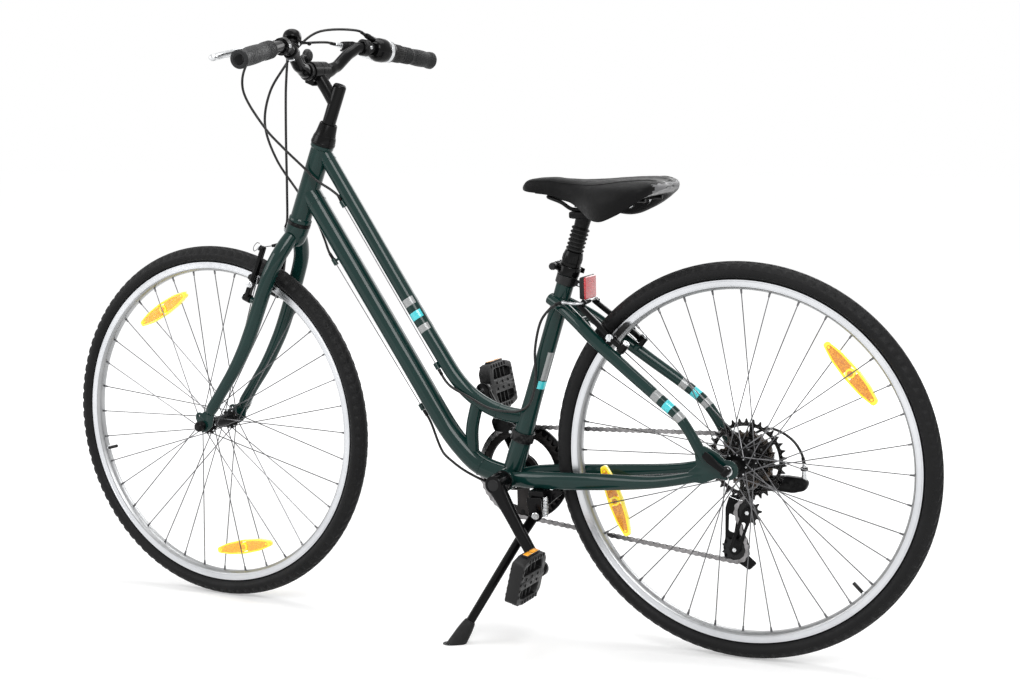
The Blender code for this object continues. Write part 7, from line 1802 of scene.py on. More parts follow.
def make_wheel(end, centre, parent, hub, flanges, valve_angle, reflector_angles, prism):
    """A tyre, a rim with its valve, and a hub laced with crossed spokes."""
    make_tyre(end, centre, parent)
    lip = RIM_HALF_WIDTH - 0.0027
    half = [(RIM_INNER, 0.0), (RIM_INNER + 0.0002, 0.0045), (RIM_INNER + 0.0014, 0.0070),
            (RIM_INNER + 0.0034, 0.0098)]
    half += [(RIM_INNER + 0.0050, 0.0115), (RIM_INNER + 0.0056, 0.0118)]
    track = [(RIM_INNER + 0.0058, RIM_HALF_WIDTH), (RIM_INNER + 0.0072, RIM_HALF_WIDTH)]
    track += [(RIM_INNER + 0.0074, RIM_HALF_WIDTH - 0.0003), (RIM_INNER + 0.0076, RIM_HALF_WIDTH)]
    track += [(RIM_RADIUS - 0.0030, RIM_HALF_WIDTH), (RIM_RADIUS - 0.0027, RIM_HALF_WIDTH - 0.0003)]
    track += [(RIM_RADIUS - 0.0024, RIM_HALF_WIDTH), (RIM_RADIUS - 0.0004, RIM_HALF_WIDTH)]
    track += [(RIM_RADIUS, RIM_HALF_WIDTH - 0.0005), (RIM_RADIUS, lip + 0.0004), (RIM_RADIUS - 0.0006, lip)]
    track += [(RIM_RADIUS - 0.0082, lip)]
    box_half = half + [(RIM_INNER + 0.0060, 0.0112), (RIM_INNER + 0.0060, 0.0)]
    profile = [(r, h) for r, h in box_half] + [(r, -h) for r, h in reversed(box_half[1:-1])]
    # The inner part of the rim, towards the hub, takes the darker silver of painted shade.
    shapes = [revolve(profile, centre, Y, "rim_inner", 288, ring=True)]
    for sign in (1, -1):
        wall = [(r, h * sign) for r, h in track] + [(RIM_INNER + 0.0080, lip * sign),
                                                    (RIM_INNER + 0.0058, lip * sign)]
        shapes.append(revolve(wall, centre, Y, "rim_side", 288, ring=True))
    bed = [(RIM_INNER + 0.0062, lip), (RIM_INNER + 0.0076, lip), (RIM_INNER + 0.0076, -lip),
           (RIM_INNER + 0.0062, -lip)]
    shapes.append(revolve(bed, centre, Y, "rim_inner", 144, ring=True))
    base = around(centre, RIM_INNER + 0.0010, valve_angle)
    inward = (centre - base).normalized()
    shapes.append(cylinder(0.0046, base, base + inward * 0.0030, "silver", 24))
    shapes.append(cylinder(0.0031, base, base + inward * 0.0100, "black_rubber", 20))
    shapes.append(cylinder(0.0032, base + inward * 0.0080, base + inward * 0.0250, "black_plastic", 20,
                           edge=0.0008))
    per_side = SPOKES // 2
    rim_end = RIM_INNER + 0.0006
    for flange, hole_radius, offset, stagger in flanges:
        for k in range(per_side):
            hole = 360 / per_side * k + stagger
            lead = 60 if k % 2 == 0 else -60
            head = offset if k % 2 == 0 else -offset
            start = around(centre, hole_radius, hole, flange + head)
            target = around(centre, rim_end, hole + lead, head * 0.8)
            along = (start - target).normalized()
            shapes.append(cylinder(0.0021, target, target + along * 0.0085, "spoke_steel", 10, 0.0017))
    name = "rim_" + end
    piece(name + "_fine", parent, shapes, (name,), 30.0)
    shapes = [revolve(hub, centre, Y, "black_satin", 48, ring=True)]
    for flange, hole_radius, offset, stagger in flanges:
        for k in range(per_side):
            hole = 360 / per_side * k + stagger
            lead = 60 if k % 2 == 0 else -60
            head = offset if k % 2 == 0 else -offset
            start = around(centre, hole_radius, hole, flange + head)
            target = around(centre, RIM_INNER - 0.0006, hole + lead, head * 0.8)
            outside = Y * (0.0017 if head > 0 else -0.0017)
            elbow = start + (target - start).normalized() * 0.0030
            path = [tuple(start - outside * 2.0), tuple(start - outside), tuple(elbow)]
            path += [tuple(start + (target - start) * 0.35), tuple(target)]
            shapes.append(tube(path, 0.0010, "spoke_steel", 8))
            shapes.append(ball(0.0020, start - outside * 2.2, "silver", Y, 0.6, 8))
    for angle in reflector_angles:
        shapes += make_wheel_reflector(centre, angle, prism)
    piece("spokes_" + end + "_fine", parent, shapes, ("spokes_" + end,))


def make_front_hub():
    """The front hub's wheel, then its axle, nuts and release lever."""
    bore = FRONT_AXLE_RADIUS + RUNNING
    half_thick = FLANGE_THICK / 2
    half = [(bore, 0.0400), (0.0086, 0.0400), (0.0092, 0.0394), (0.0110, FRONT_FLANGE + half_thick + 0.0004)]
    half += [(0.0130, FRONT_FLANGE + half_thick), (FRONT_FLANGE_RADIUS - 0.0005, FRONT_FLANGE + half_thick)]
    half += [(FRONT_FLANGE_RADIUS, FRONT_FLANGE + half_thick - 0.0005),
             (FRONT_FLANGE_RADIUS, FRONT_FLANGE - half_thick)]
    half += [(FRONT_FLANGE_RADIUS - 0.0006, FRONT_FLANGE - half_thick - 0.0005),
             (0.0150, FRONT_FLANGE - 0.0026)]
    half += [(0.0128, FRONT_FLANGE - 0.0045), (0.0116, FRONT_FLANGE - 0.0090), (0.0112, 0.0100)]
    hub = [(r, h) for r, h in half] + [(r, -h) for r, h in reversed(half)]
    hole_radius = FRONT_FLANGE_RADIUS - 0.0025
    flanges = ((FRONT_FLANGE, hole_radius, 0.0018, 0.0), (-FRONT_FLANGE, hole_radius, 0.0018, 10.0))
    make_wheel("front", FRONT_AXLE, front_wheel, hub, flanges, -14.8, (59.6, -101.9), "prism_orange")
    nut = FORK_INNER + FORK_TIP_THICK + CLEAR
    inside = FORK_INNER - CLEAR
    cone = 0.0400 + RUNNING
    shapes = [cylinder(FRONT_AXLE_RADIUS, FRONT_AXLE - Y * (nut + 0.004), FRONT_AXLE + Y * (nut + 0.004),
                       "steel_dark")]
    for sign in (1, -1):
        low = FRONT_AXLE + Y * (sign * cone)
        shapes.append(cylinder(0.0080, low, FRONT_AXLE + Y * (sign * inside), "steel_dark", 6, edge=0.0003))
        shapes.append(cylinder(0.0086, low, low + Y * (sign * 0.0030), "black_rubber", 32))
    profile = [(0.0, 0.0), (0.0096, 0.0), (0.0098, 0.0004), (0.0098, 0.0110), (0.0088, 0.0128),
               (0.0066, 0.0150)]
    profile += [(0.0056, 0.0158), (0.0, 0.0160)]
    shapes.append(revolve(profile, FRONT_AXLE + Y * nut, Y, "black_satin", 36))
    for k in range(12):
        angle = 2 * pi * k / 12
        radial = X * cos(angle) + Z * sin(angle)
        at = FRONT_AXLE + Y * (nut + 0.0062) + radial * 0.0096
        shapes.append(box((0.0011, 0.0016, 0.0080), at, "black_satin", Y, radial, 0.0004, 2))
    face = [(0.0, 0.0), (0.0094, 0.0), (0.0098, 0.0006), (0.0098, 0.0042), (0.0090, 0.0050), (0.0, 0.0050)]
    shapes.append(revolve(face, FRONT_AXLE - Y * nut, -Y, "silver", 36))
    piece("front_axle_fine", steering, shapes, ("front_axle",))
    qr_lever("front_qr_lever", FRONT_AXLE, nut + 0.0050, -1, Vector((-0.60, 0.0, 0.80)), steering, "silver")


def qr_lever(name, axle, axle_end, side, direction, parent, finish):
    """A cam lever whose barrel lies across the axle's end."""
    at = axle + Y * (side * (axle_end + CLEAR + QR_BARREL_RADIUS))
    across = direction.cross(Y).normalized() * side
    joint = pivot(name + "_axis", parent, at, across)
    shapes = [cylinder(QR_BARREL_RADIUS, at - across * 0.0080, at + across * 0.0080, finish, 36, edge=0.0010)]
    shapes.append(cylinder(0.0026, at - across * 0.0086, at + across * 0.0086, "silver", 20))
    path = [at + direction * 0.0020 + Y * (side * 0.0010), at + direction * 0.0100 + Y * (side * 0.0024)]
    path += [at + direction * 0.0180 + Y * (side * 0.0030), at + direction * 0.0270 + Y * (side * 0.0022)]
    path += [at + direction * 0.0360 + Y * (side * 0.0010), at + direction * 0.0480 - Y * (side * 0.0010)]
    widths = (0.0066, 0.0062, 0.0062, 0.0070, 0.0075, 0.0058)
    heights = (0.0040, 0.0034, 0.0030, 0.0028, 0.0026, 0.0020)
    shapes.append(oval(list(zip(path, widths, heights)), finish, 36, 24, across, 2.4))
    piece(name + "_fine", joint, shapes, (name,))


def make_rear_hub():
    """The rear hub's wheel, then its axle, release lever and spoke protector."""
    bore = REAR_AXLE_RADIUS + RUNNING
    left = REAR_FLANGE_LEFT
    right = REAR_FLANGE_RIGHT
    thick = FLANGE_THICK / 2
    rim = REAR_FLANGE_RADIUS
    hub = [(bore, left + 0.0080), (0.0098, left + 0.0080), (0.0105, left + 0.0072),
           (0.0126, left + thick + 0.0004)]
    hub += [(0.0150, left + thick), (rim - 0.0005, left + thick), (rim, left + thick - 0.0005),
            (rim, left - thick)]
    hub += [(rim - 0.0006, left - thick - 0.0005), (0.0178, left - thick - 0.0012),
            (0.0152, left - thick - 0.0032)]
    hub += [(0.0150, left - 0.0100), (0.0150, right + 0.0080), (0.0156, right + thick + 0.0028)]
    hub += [(rim - 0.0006, right + thick + 0.0005), (rim, right + thick), (rim, right - thick),
            (bore, right - thick)]
    hole_radius = REAR_FLANGE_RADIUS - 0.0025
    flanges = ((left, hole_radius, 0.0018, 0.0), (right, hole_radius, 0.0012, 10.0))
    # The rear wheel's reflectors take the darker copy of the orange prisms: painted shade.
    make_wheel("rear", REAR_AXLE, rear_wheel, hub, flanges, -135.4, (139.2, -20.4), "prism_brown")
    inside = DROPOUT_INNER - CLEAR
    outside = DROPOUT_INNER + DROPOUT_THICK + CLEAR
    cone = left + 0.0080 + RUNNING
    free = COG_FIRST_SIDE + COG_STEP * (len(COGS) - 1) - 0.0050 - RUNNING
    hanger = outside + HANGER_THICK + CLEAR
    shapes = [cylinder(REAR_AXLE_RADIUS, Y * -(hanger + 0.006), Y * (outside + 0.002), "steel_dark", 28)]
    shapes.append(cylinder(0.0088, Y * cone, Y * (cone + 0.0060), "black_rubber", 32))
    shapes.append(cylinder(0.0080, Y * (cone + 0.0064), Y * inside, "steel_dark", 6, edge=0.0003))
    shapes.append(cylinder(0.0083, Y * free, Y * -inside, "steel_dark", 6, edge=0.0003))
    face = [(0.0, 0.0), (0.0092, 0.0), (0.0095, 0.0004), (0.0095, 0.0025), (0.0090, 0.0030), (0.0, 0.0030)]
    shapes.append(revolve(face, Y * outside, Y, "silver", 36))
    nut = [(0.0, 0.0), (0.0090, 0.0), (0.0090, 0.0076), (0.0082, 0.0084), (0.0062, 0.0106),
           (0.0056, 0.0110), (0.0, 0.0110)]
    shapes.append(revolve(nut, Y * -hanger, -Y, "silver", 6))
    piece("rear_axle_fine", bike, shapes, ("rear_axle",), 25.0)
    qr_lever("rear_qr_lever", REAR_AXLE, outside + 0.0030, 1, Vector((0.817, 0.0, 0.577)), bike,
             "black_satin")
    near = right - thick
    guard = [(0.0150, near - 0.0012), (0.0730, near - 0.0005), (0.0740, near - 0.0008),
             (0.0740, near - 0.0019)]
    guard += [(0.0732, near - 0.0022), (0.0715, near - 0.0016), (0.0150, near - 0.0024)]
    disc = revolve(guard, REAR_AXLE, Y, "clear_plastic", 96, ring=True)
    piece("spoke_protector_fine", rear_wheel, [disc], ("spoke_protector",))


def toothed(teeth, first_angle, roller=0.0040):
    """A sprocket's outline, with a round seat for each roller; one seat is at first_angle."""
    radius = PITCH / (2 * sin(pi / teeth))
    half = pi / teeth
    outline = []
    for k in range(teeth):
        gap = radians(first_angle) + 2 * half * k
        seat = Vector((radius * cos(gap), radius * sin(gap)))
        for turn in (75, 45, 15, -15, -45, -75):
            angle = gap + pi + radians(turn)
            outline.append((seat.x + roller * cos(angle), seat.y + roller * sin(angle)))
        tip = radius + (0.0030 if teeth < 12 else 0.0034)
        flank = radius + 0.0012
        outline.append((flank * cos(gap + half * 0.72), flank * sin(gap + half * 0.72)))
        for share in (0.90, 1.10):
            outline.append((tip * cos(gap + half * share), tip * sin(gap + half * share)))
        outline.append((flank * cos(gap + half * 1.28), flank * sin(gap + half * 1.28)))
    return outline


def ring_windows(count, start, inner, outer, web=0.0070):
    """Rounded windows in a sprocket, between its arms."""
    found = []
    for k in range(count):
        low = start + 360 * k / count
        high = low + 360 / count
        far = degrees(web / 2 / outer)
        near = degrees(web / 2 / inner)
        edge = arc((0, 0), outer, low + far, high - far, 8) + arc((0, 0), inner, high - near, low + near, 6)
        found.append(rounded(edge, 0.0022, 2))
    return found


def chain_point(i):
    """The place of one chain pin in the bike's frame."""
    place = CHAIN_PINS[i % len(CHAIN_PINS)]
    return Vector((place[0], place[2], place[1]))


def link_plate(here, after, side, out, finish):
    """One side plate of a chain link: round ends and a narrow waist."""
    along = (after - here).normalized()
    outline = []
    steps = 7
    half = PITCH / 2
    for sign in (1, -1):
        for k in range(steps):
            angle = radians(-105 + 210 * k / (steps - 1)) + (0 if sign > 0 else pi)
            outline.append((half * sign + 0.0042 * cos(angle), 0.0042 * sin(angle)))
        outline.append((0.0, 0.0026 * sign))
    up = Y.cross(along).normalized()
    middle = (here + after) / 2
    rings = []
    for depth, shrink in ((-0.5, 0.94), (-0.3, 1.0), (0.3, 1.0), (0.5, 0.94)):
        level = side * (out + 0.00045) + depth * 0.0009
        ring = []
        for x, y in outline:
            ring.append(middle + along * (x * shrink if abs(x) < half else x) + up * (y * shrink) + Y * level)
        rings.append(ring)
    return loft(rings, finish)


def make_chain():
    """The chain's links in three stretches: the run rides with the bike, and the two stretches about the
    derailleur's wheels stand on their own.
    """
    count = len(CHAIN_PINS)
    stretches = {"run": [], "lower": [], "upper": []}
    for i in range(count):
        here = chain_point(i)
        after = chain_point(i + 1)
        which = "run"
        middle = (here + after) / 2
        if middle.z < -0.055 and middle.x < CRANK_AXIS.x - 0.030:
            which = "lower"
        elif middle.z < -0.020 and middle.x < 0.060:
            which = "upper"
        out = CHAIN_INNER_GAP if i % 2 == 0 else CHAIN_INNER_GAP + CHAIN_PLATE
        shapes = [link_plate(here, after, side, out, "chain_steel") for side in (1, -1)]
        shapes.append(cylinder(0.0038, here - Y * 0.0015, here + Y * 0.0015, "steel_dark", 14, edge=0.0002))
        reach = CHAIN_INNER_GAP + CHAIN_PLATE * 2 + 0.0002
        shapes.append(cylinder(0.0018, here - Y * reach, here + Y * reach, "chain_steel", 10, edge=0.0002))
        stretches[which] += shapes
    piece("chain_run_fine", bike, stretches["run"], ("chain",))
    low = piece("chain_lower_fine", bike, stretches["lower"], (), body="blend")
    high = piece("chain_upper_fine", bike, stretches["upper"], (), body="blend")
    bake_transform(low)
    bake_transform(high)


def make_freewheel():
    """The freewheel's body and its seven cogs."""
    last = COG_FIRST_SIDE + COG_STEP * (len(COGS) - 1)
    shapes = []
    bore = REAR_AXLE_RADIUS + RUNNING
    body = [(bore, COG_FIRST_SIDE + 0.0008), (0.0185, COG_FIRST_SIDE + 0.0008), (0.0185, last - 0.0020)]
    body += [(0.0178, last - 0.0030), (0.0150, last - 0.0030), (0.0150, last - 0.0050),
             (0.0110, last - 0.0050)]
    body += [(0.0110, last - 0.0030), (bore, last - 0.0030)]
    shapes.append(revolve(body, REAR_AXLE, Y, "cog_dark", 48, ring=True))
    for k, teeth in enumerate(COGS):
        side = COG_FIRST_SIDE + COG_STEP * k
        angle = pin_angle((0.0, 0.0), COG_RADIUS) if teeth == CHAIN_COG else 7.0 * k
        radius = PITCH / (2 * sin(pi / teeth))
        windows = []
        if teeth == COGS[0]:
            windows = ring_windows(8, 10.0, 0.0400, radius - 0.0100, 0.0080)
        elif teeth in COGS[1:3]:
            windows = ring_windows(6, 20.0, 0.0235, radius - 0.0085, 0.0080)
        finish = "cog_dark" if teeth == COGS[0] or k > 4 else "cog_brown"
        shapes.append(plate(toothed(teeth, angle), PLATE_THICK, side_on(Y * side), finish, windows, 0.0003))
        if teeth == COGS[0]:
            for rivet in range(8):
                at = around(REAR_AXLE, 0.0330, 10.0 + 45 * rivet, side)
                shapes.append(cylinder(0.0022, at - Y * 0.0017, at + Y * 0.0017, "steel_dark", 14))
        if k:
            at = side + (0.0025)
            spacer = [(0.0186, at - 0.0014), (0.0215, at - 0.0014), (0.0215, at + 0.0014),
                      (0.0186, at + 0.0014)]
            shapes.append(revolve(spacer, REAR_AXLE, Y, "black_plastic", 40, ring=True))
    piece("freewheel_fine", freewheel_axis, shapes, ("freewheel",), 28.0)


def make_bottom_bracket():
    """The bottom bracket's two cups."""
    out = SHELL_HALF + CLEAR
    bore = SPINDLE_RADIUS + RUNNING
    shapes = []
    for sign in (1, -1):
        cup = [(bore, 0.0030), (0.0120, 0.0032), (0.0150, 0.0028), (0.0186, 0.0022), (0.0190, 0.0018),
               (0.0190, 0.0002)]
        cup += [(SHELL_BORE - CLEAR, 0.0), (SHELL_BORE - CLEAR, -0.0200), (bore, -0.0200)]
        shapes.append(revolve(cup, CRANK_AXIS + Y * (sign * out), Y * sign, "black_satin", 44, ring=True))
        for k in range(6):
            angle = 60 * k + 15
            at = around(CRANK_AXIS, 0.0158, angle, sign * (out + 0.0024))
            shapes.append(cylinder(0.0015, at - Y * 0.001, at + Y * (sign * 0.0006), "cog_dark", 12))
    piece("bottom_bracket_fine", bike, shapes, ("bottom_bracket",))


def crank_shapes(side, direction):
    """One crank arm, from its boss to the pedal's thread."""
    hub = CRANK_AXIS
    eye = CRANK_AXIS + direction * CRANK_LENGTH
    middle = CRANK_INNER + CRANK_THICK / 2
    stations = (
        (-0.0060, middle - 0.0120, 0.0070, 0.0150),
        (0.006, middle - 0.0120, 0.0078, 0.0160),
        (0.020, middle - 0.0115, 0.0078, 0.0150),
        (0.060, middle - 0.0070, 0.0072, 0.0125),
        (0.105, middle - 0.0025, 0.0068, 0.0114),
        (0.150, middle, 0.0065, 0.0110),
        (CRANK_LENGTH, middle, 0.0065, 0.0125),
    )
    path = [(hub + direction * along + Y * (side * out), thick, high) for along, out, thick, high in stations]
    gloss = "black_gloss"
    shapes = [oval(path, gloss, 56, 36, Y, 3.0)]
    inner = eye + Y * (side * CRANK_INNER)
    shapes.append(cylinder(0.0140, inner, inner + Y * (side * CRANK_THICK), gloss, 44, edge=0.0016))
    shapes.append(cylinder(0.0045, inner, eye + Y * (side * PEDAL_OUTER), "steel_dark", 24))
    shapes.append(hexagon(0.0086, eye + Y * (side * (CRANK_INNER + CRANK_THICK)),
                          eye + Y * (side * (CRANK_INNER + CRANK_THICK + 0.0036)), "steel_dark"))
    end = hub + Y * (side * CRANK_BOSS_OUT)
    cap = [(0.0, 0.0014), (0.0070, 0.0013), (0.0100, 0.0009), (0.0108, 0.0), (0.0, 0.0)]
    shapes.append(revolve(cap, end, Y * side, "black_plastic", 36))
    return shapes


def make_cranks():
    """Both crank arms, and the spindle that joins them."""
    left = crank_shapes(1, -X)
    boss = [(SPINDLE_RADIUS + CLEAR, 0.0420), (0.0178, 0.0420), (0.0185, 0.0428), (0.0185, 0.0560),
            (0.0172, 0.0700)]
    boss += [(0.0165, CRANK_BOSS_OUT - 0.0010), (0.0155, CRANK_BOSS_OUT), (0.0, CRANK_BOSS_OUT),
             (0.0, 0.0640 + CLEAR)]
    boss += [(SPINDLE_RADIUS + CLEAR, 0.0640 + CLEAR)]
    left.append(revolve(boss, CRANK_AXIS, Y, "black_gloss", 44))
    piece("crank_arm_left_fine", crank, left, ("crank_arm_left",))
    right = crank_shapes(-1, X)
    boss = [(0.0, CRANK_BOSS_IN), (0.0178, CRANK_BOSS_IN), (0.0185, CRANK_BOSS_IN + 0.0008), (0.0182, 0.0640)]
    boss += [(0.0172, 0.0700), (0.0165, CRANK_BOSS_OUT - 0.0010), (0.0155, CRANK_BOSS_OUT),
             (0.0, CRANK_BOSS_OUT)]
    right.append(revolve(boss, CRANK_AXIS, -Y, "black_gloss", 44))
    right.append(cylinder(SPINDLE_RADIUS, CRANK_AXIS - Y * 0.0600, CRANK_AXIS + Y * 0.0640, "steel_dark", 36))
    piece("crank_arm_right_fine", crank, right, ("crank_arm_right",))


def turned_by(shape, at, axis, angle):
    """A shape turned about a line."""
    return shape.moved(Matrix.Translation(at) @ Matrix.Rotation(angle, 4, axis) @ Matrix.Translation(-at))


def make_chainring():
    """The toothed ring with its guard outside it, on four arms."""
    at = CRANK_AXIS + Y * RING_SIDE
    angle = pin_angle((CRANK_AXIS.x, CRANK_AXIS.z), RING_RADIUS)
    windows = ring_windows(4, 0.0, 0.0330, 0.0685, 0.0230)
    ring = plate(toothed(RING_TEETH, angle), PLATE_THICK, side_on(at), "cog_dark", windows, 0.0003)
    outer = circle((0, 0), 0.0920, 120)
    guard = plate(outer, 0.0024, side_on(at - Y * 0.0062), "black_gloss", windows, 0.0006)
    rim = [(0.0895, -0.0034), (0.0920, -0.0034), (0.0926, -0.0028), (0.0926, 0.0002), (0.0920, 0.0008),
           (0.0895, 0.0008)]
    lip = revolve(rim, at - Y * 0.0062, Y, "black_gloss", 120, ring=True)
    shapes = [turned_by(s, at, Y, -REST_CRANK) for s in (ring, guard, lip)]
    for k in range(4):
        bolt = around(CRANK_AXIS, 0.0760, 90 * k, RING_SIDE)
        post = [cylinder(0.0050, bolt - Y * 0.0060, bolt + Y * 0.0010, "black_satin", 28)]
        post.append(socket_bolt(0.0044, bolt - Y * 0.0070, bolt - Y * 0.0090, "silver"))
        shapes += [turned_by(s, at, Y, -REST_CRANK) for s in post]
        arm = oval(
            [
                (around(CRANK_AXIS, 0.0200, 90 * k, RING_SIDE - 0.0048), 0.0110, 0.0030),
                (around(CRANK_AXIS, 0.0450, 90 * k, RING_SIDE - 0.0052), 0.0086, 0.0028),
                (around(CRANK_AXIS, 0.0800, 90 * k, RING_SIDE - 0.0058), 0.0080, 0.0020),
            ],
            "black_gloss",
            20,
            24,
            Y.cross(around(Vector((0, 0, 0)), 1.0, 90 * k)).normalized(),
            2.6,
        )
        shapes.append(turned_by(arm, at, Y, -REST_CRANK))
    shapes.append(cylinder(0.0240, at + Y * 0.0010, CRANK_AXIS - Y * (CRANK_BOSS_IN - CLEAR), "black_gloss",
                           48, 0.0200))
    piece("chainring_fine", crank, shapes, ("chainring",))


def make_pedal(side, centre, parent, name):
    """A flat pedal: a toothed cage about the barrel, with a reflector at each end."""
    inner = CRANK_INNER + CRANK_THICK + 0.0050
    outer = PEDAL_OUTER + 0.0075
    outline = [(-0.0300, inner), (0.0300, inner), (0.0440, inner + 0.016), (0.0440, outer - 0.026),
               (0.0370, outer)]
    outline += [(-0.0370, outer), (-0.0440, outer - 0.026), (-0.0440, inner + 0.016)]
    outline = rounded(outline, 0.0060, 4)
    windows = []
    for end in (1, -1):
        edges = [(0.0135, inner + 0.0140), (0.0330, inner + 0.0210), (0.0330, outer - 0.0300),
                 (0.0280, outer - 0.0110)]
        edges += [(0.0135, outer - 0.0110)]
        windows.append(rounded([(x * end, y) for x, y in edges], 0.0040, 3))
    matrix = placed(centre, Z * side, X)
    plastic = "black_plastic"
    shapes = [plate(outline, 0.0236, matrix, plastic, windows, 0.0016)]
    middle = (inner + outer) / 2
    shapes.append(cylinder(0.0125, centre + Y * (side * (inner - 0.003)),
                           centre + Y * (side * (outer - 0.004)),
                           plastic, 36, edge=0.0015))
    shapes.append(cylinder(0.0085, centre + Y * (side * (outer - 0.005)),
                           centre + Y * (side * (outer - 0.0018)), plastic, 32))
    for end in (1, -1):
        for face in (1, -1):
            for k in range(6):
                along = inner + 0.0150 + (outer - inner - 0.0420) * k / 5
                tooth = centre + Y * (side * along) + X * (0.0385 * end) + Z * (0.0112 * face)
                shapes.append(box((0.0066, 0.0046, 0.0044), tooth, plastic, Z, X, 0.0007, 2))
            for k in range(3):
                along = middle + (k - 1) * 0.0230
                tooth = centre + Y * (side * along) + X * (0.0060 * end) + Z * (0.0120 * face)
                shapes.append(box((0.0050, 0.0040, 0.0030), tooth, plastic, Z, X, 0.0006, 2))
            for k in range(3):
                tooth = centre + Y * (side * (outer - 0.0058)) + X * (0.0120 * end * k) + Z * (0.0112 * face)
                shapes.append(box((0.0046, 0.0058, 0.0040), tooth, plastic, Z, X, 0.0007, 2))
        lens = centre + Y * (side * middle) + X * (0.0450 * end)
        shapes.append(box((0.0046, 0.0500, 0.0122), lens, plastic, Z, X, 0.0010, 2))
        for part in (1, -1):
            at = lens + X * (0.0010 * end) + Y * (0.0122 * part)
            shapes.append(box((0.0040, 0.0220, 0.0094), at, "prism_orange", Z, X, 0.0008, 2))
        for rung in (-0.0120, 0.0040, 0.0190):
            at = centre + Y * (side * (middle + rung)) + X * (0.0240 * end)
            shapes.append(box((0.0220, 0.0030, 0.0150), at, plastic, Z, X, 0.0008, 2))
    piece(name + "_fine", parent, shapes, (name,))


def make_chain_keeper():
    """A band on the seat tube that carries a plate beside the top of the chain."""
    low = 0.0740
    high = 0.0920
    bore = SEAT_TUBE_FOOT_RADIUS + CLEAR
    band = [(bore, low), (0.0209, low), (0.0215, low + 0.0006), (0.0215, high - 0.0006), (0.0209, high),
            (bore, high)]
    shapes = [revolve(band, CRANK_AXIS, SEAT_UP, "black_satin", 44, ring=True)]
    middle = on_seat((low + high) / 2)
    plate_at = Vector((CRANK_AXIS.x + 0.0320, RING_SIDE + 0.0072, CRANK_AXIS.z + RING_RADIUS + 0.0060))
    arm = [middle - Y * 0.0190, middle - Y * 0.030 + X * 0.018, plate_at - X * 0.010]
    shapes.append(bent(arm, 0.0042, "black_satin", 20, 24))
    outline = [(-0.0200, -0.0200), (0.0200, -0.0160), (0.0260, 0.0020), (0.0160, 0.0160), (-0.0180, 0.0120)]
    shapes.append(plate(rounded(outline, 0.0050), 0.0022, side_on(plate_at), "black_satin"))
    shapes.append(box((0.040, 0.0130, 0.0030), plate_at + Z * 0.0125 - Y * 0.0060, "black_satin",
                      edge=0.0012))
    ear = on_seat((low + high) / 2, 0.0225)
    shapes.append(box((0.0070, 0.0120, 0.0130), ear, "black_satin", SEAT_UP, SEAT_FORWARD, 0.0015))
    shapes.append(socket_bolt(0.0030, ear + Y * 0.0060, ear + Y * 0.0086, "silver"))
    piece("chain_keeper_fine", bike, shapes, ("chain_keeper",))


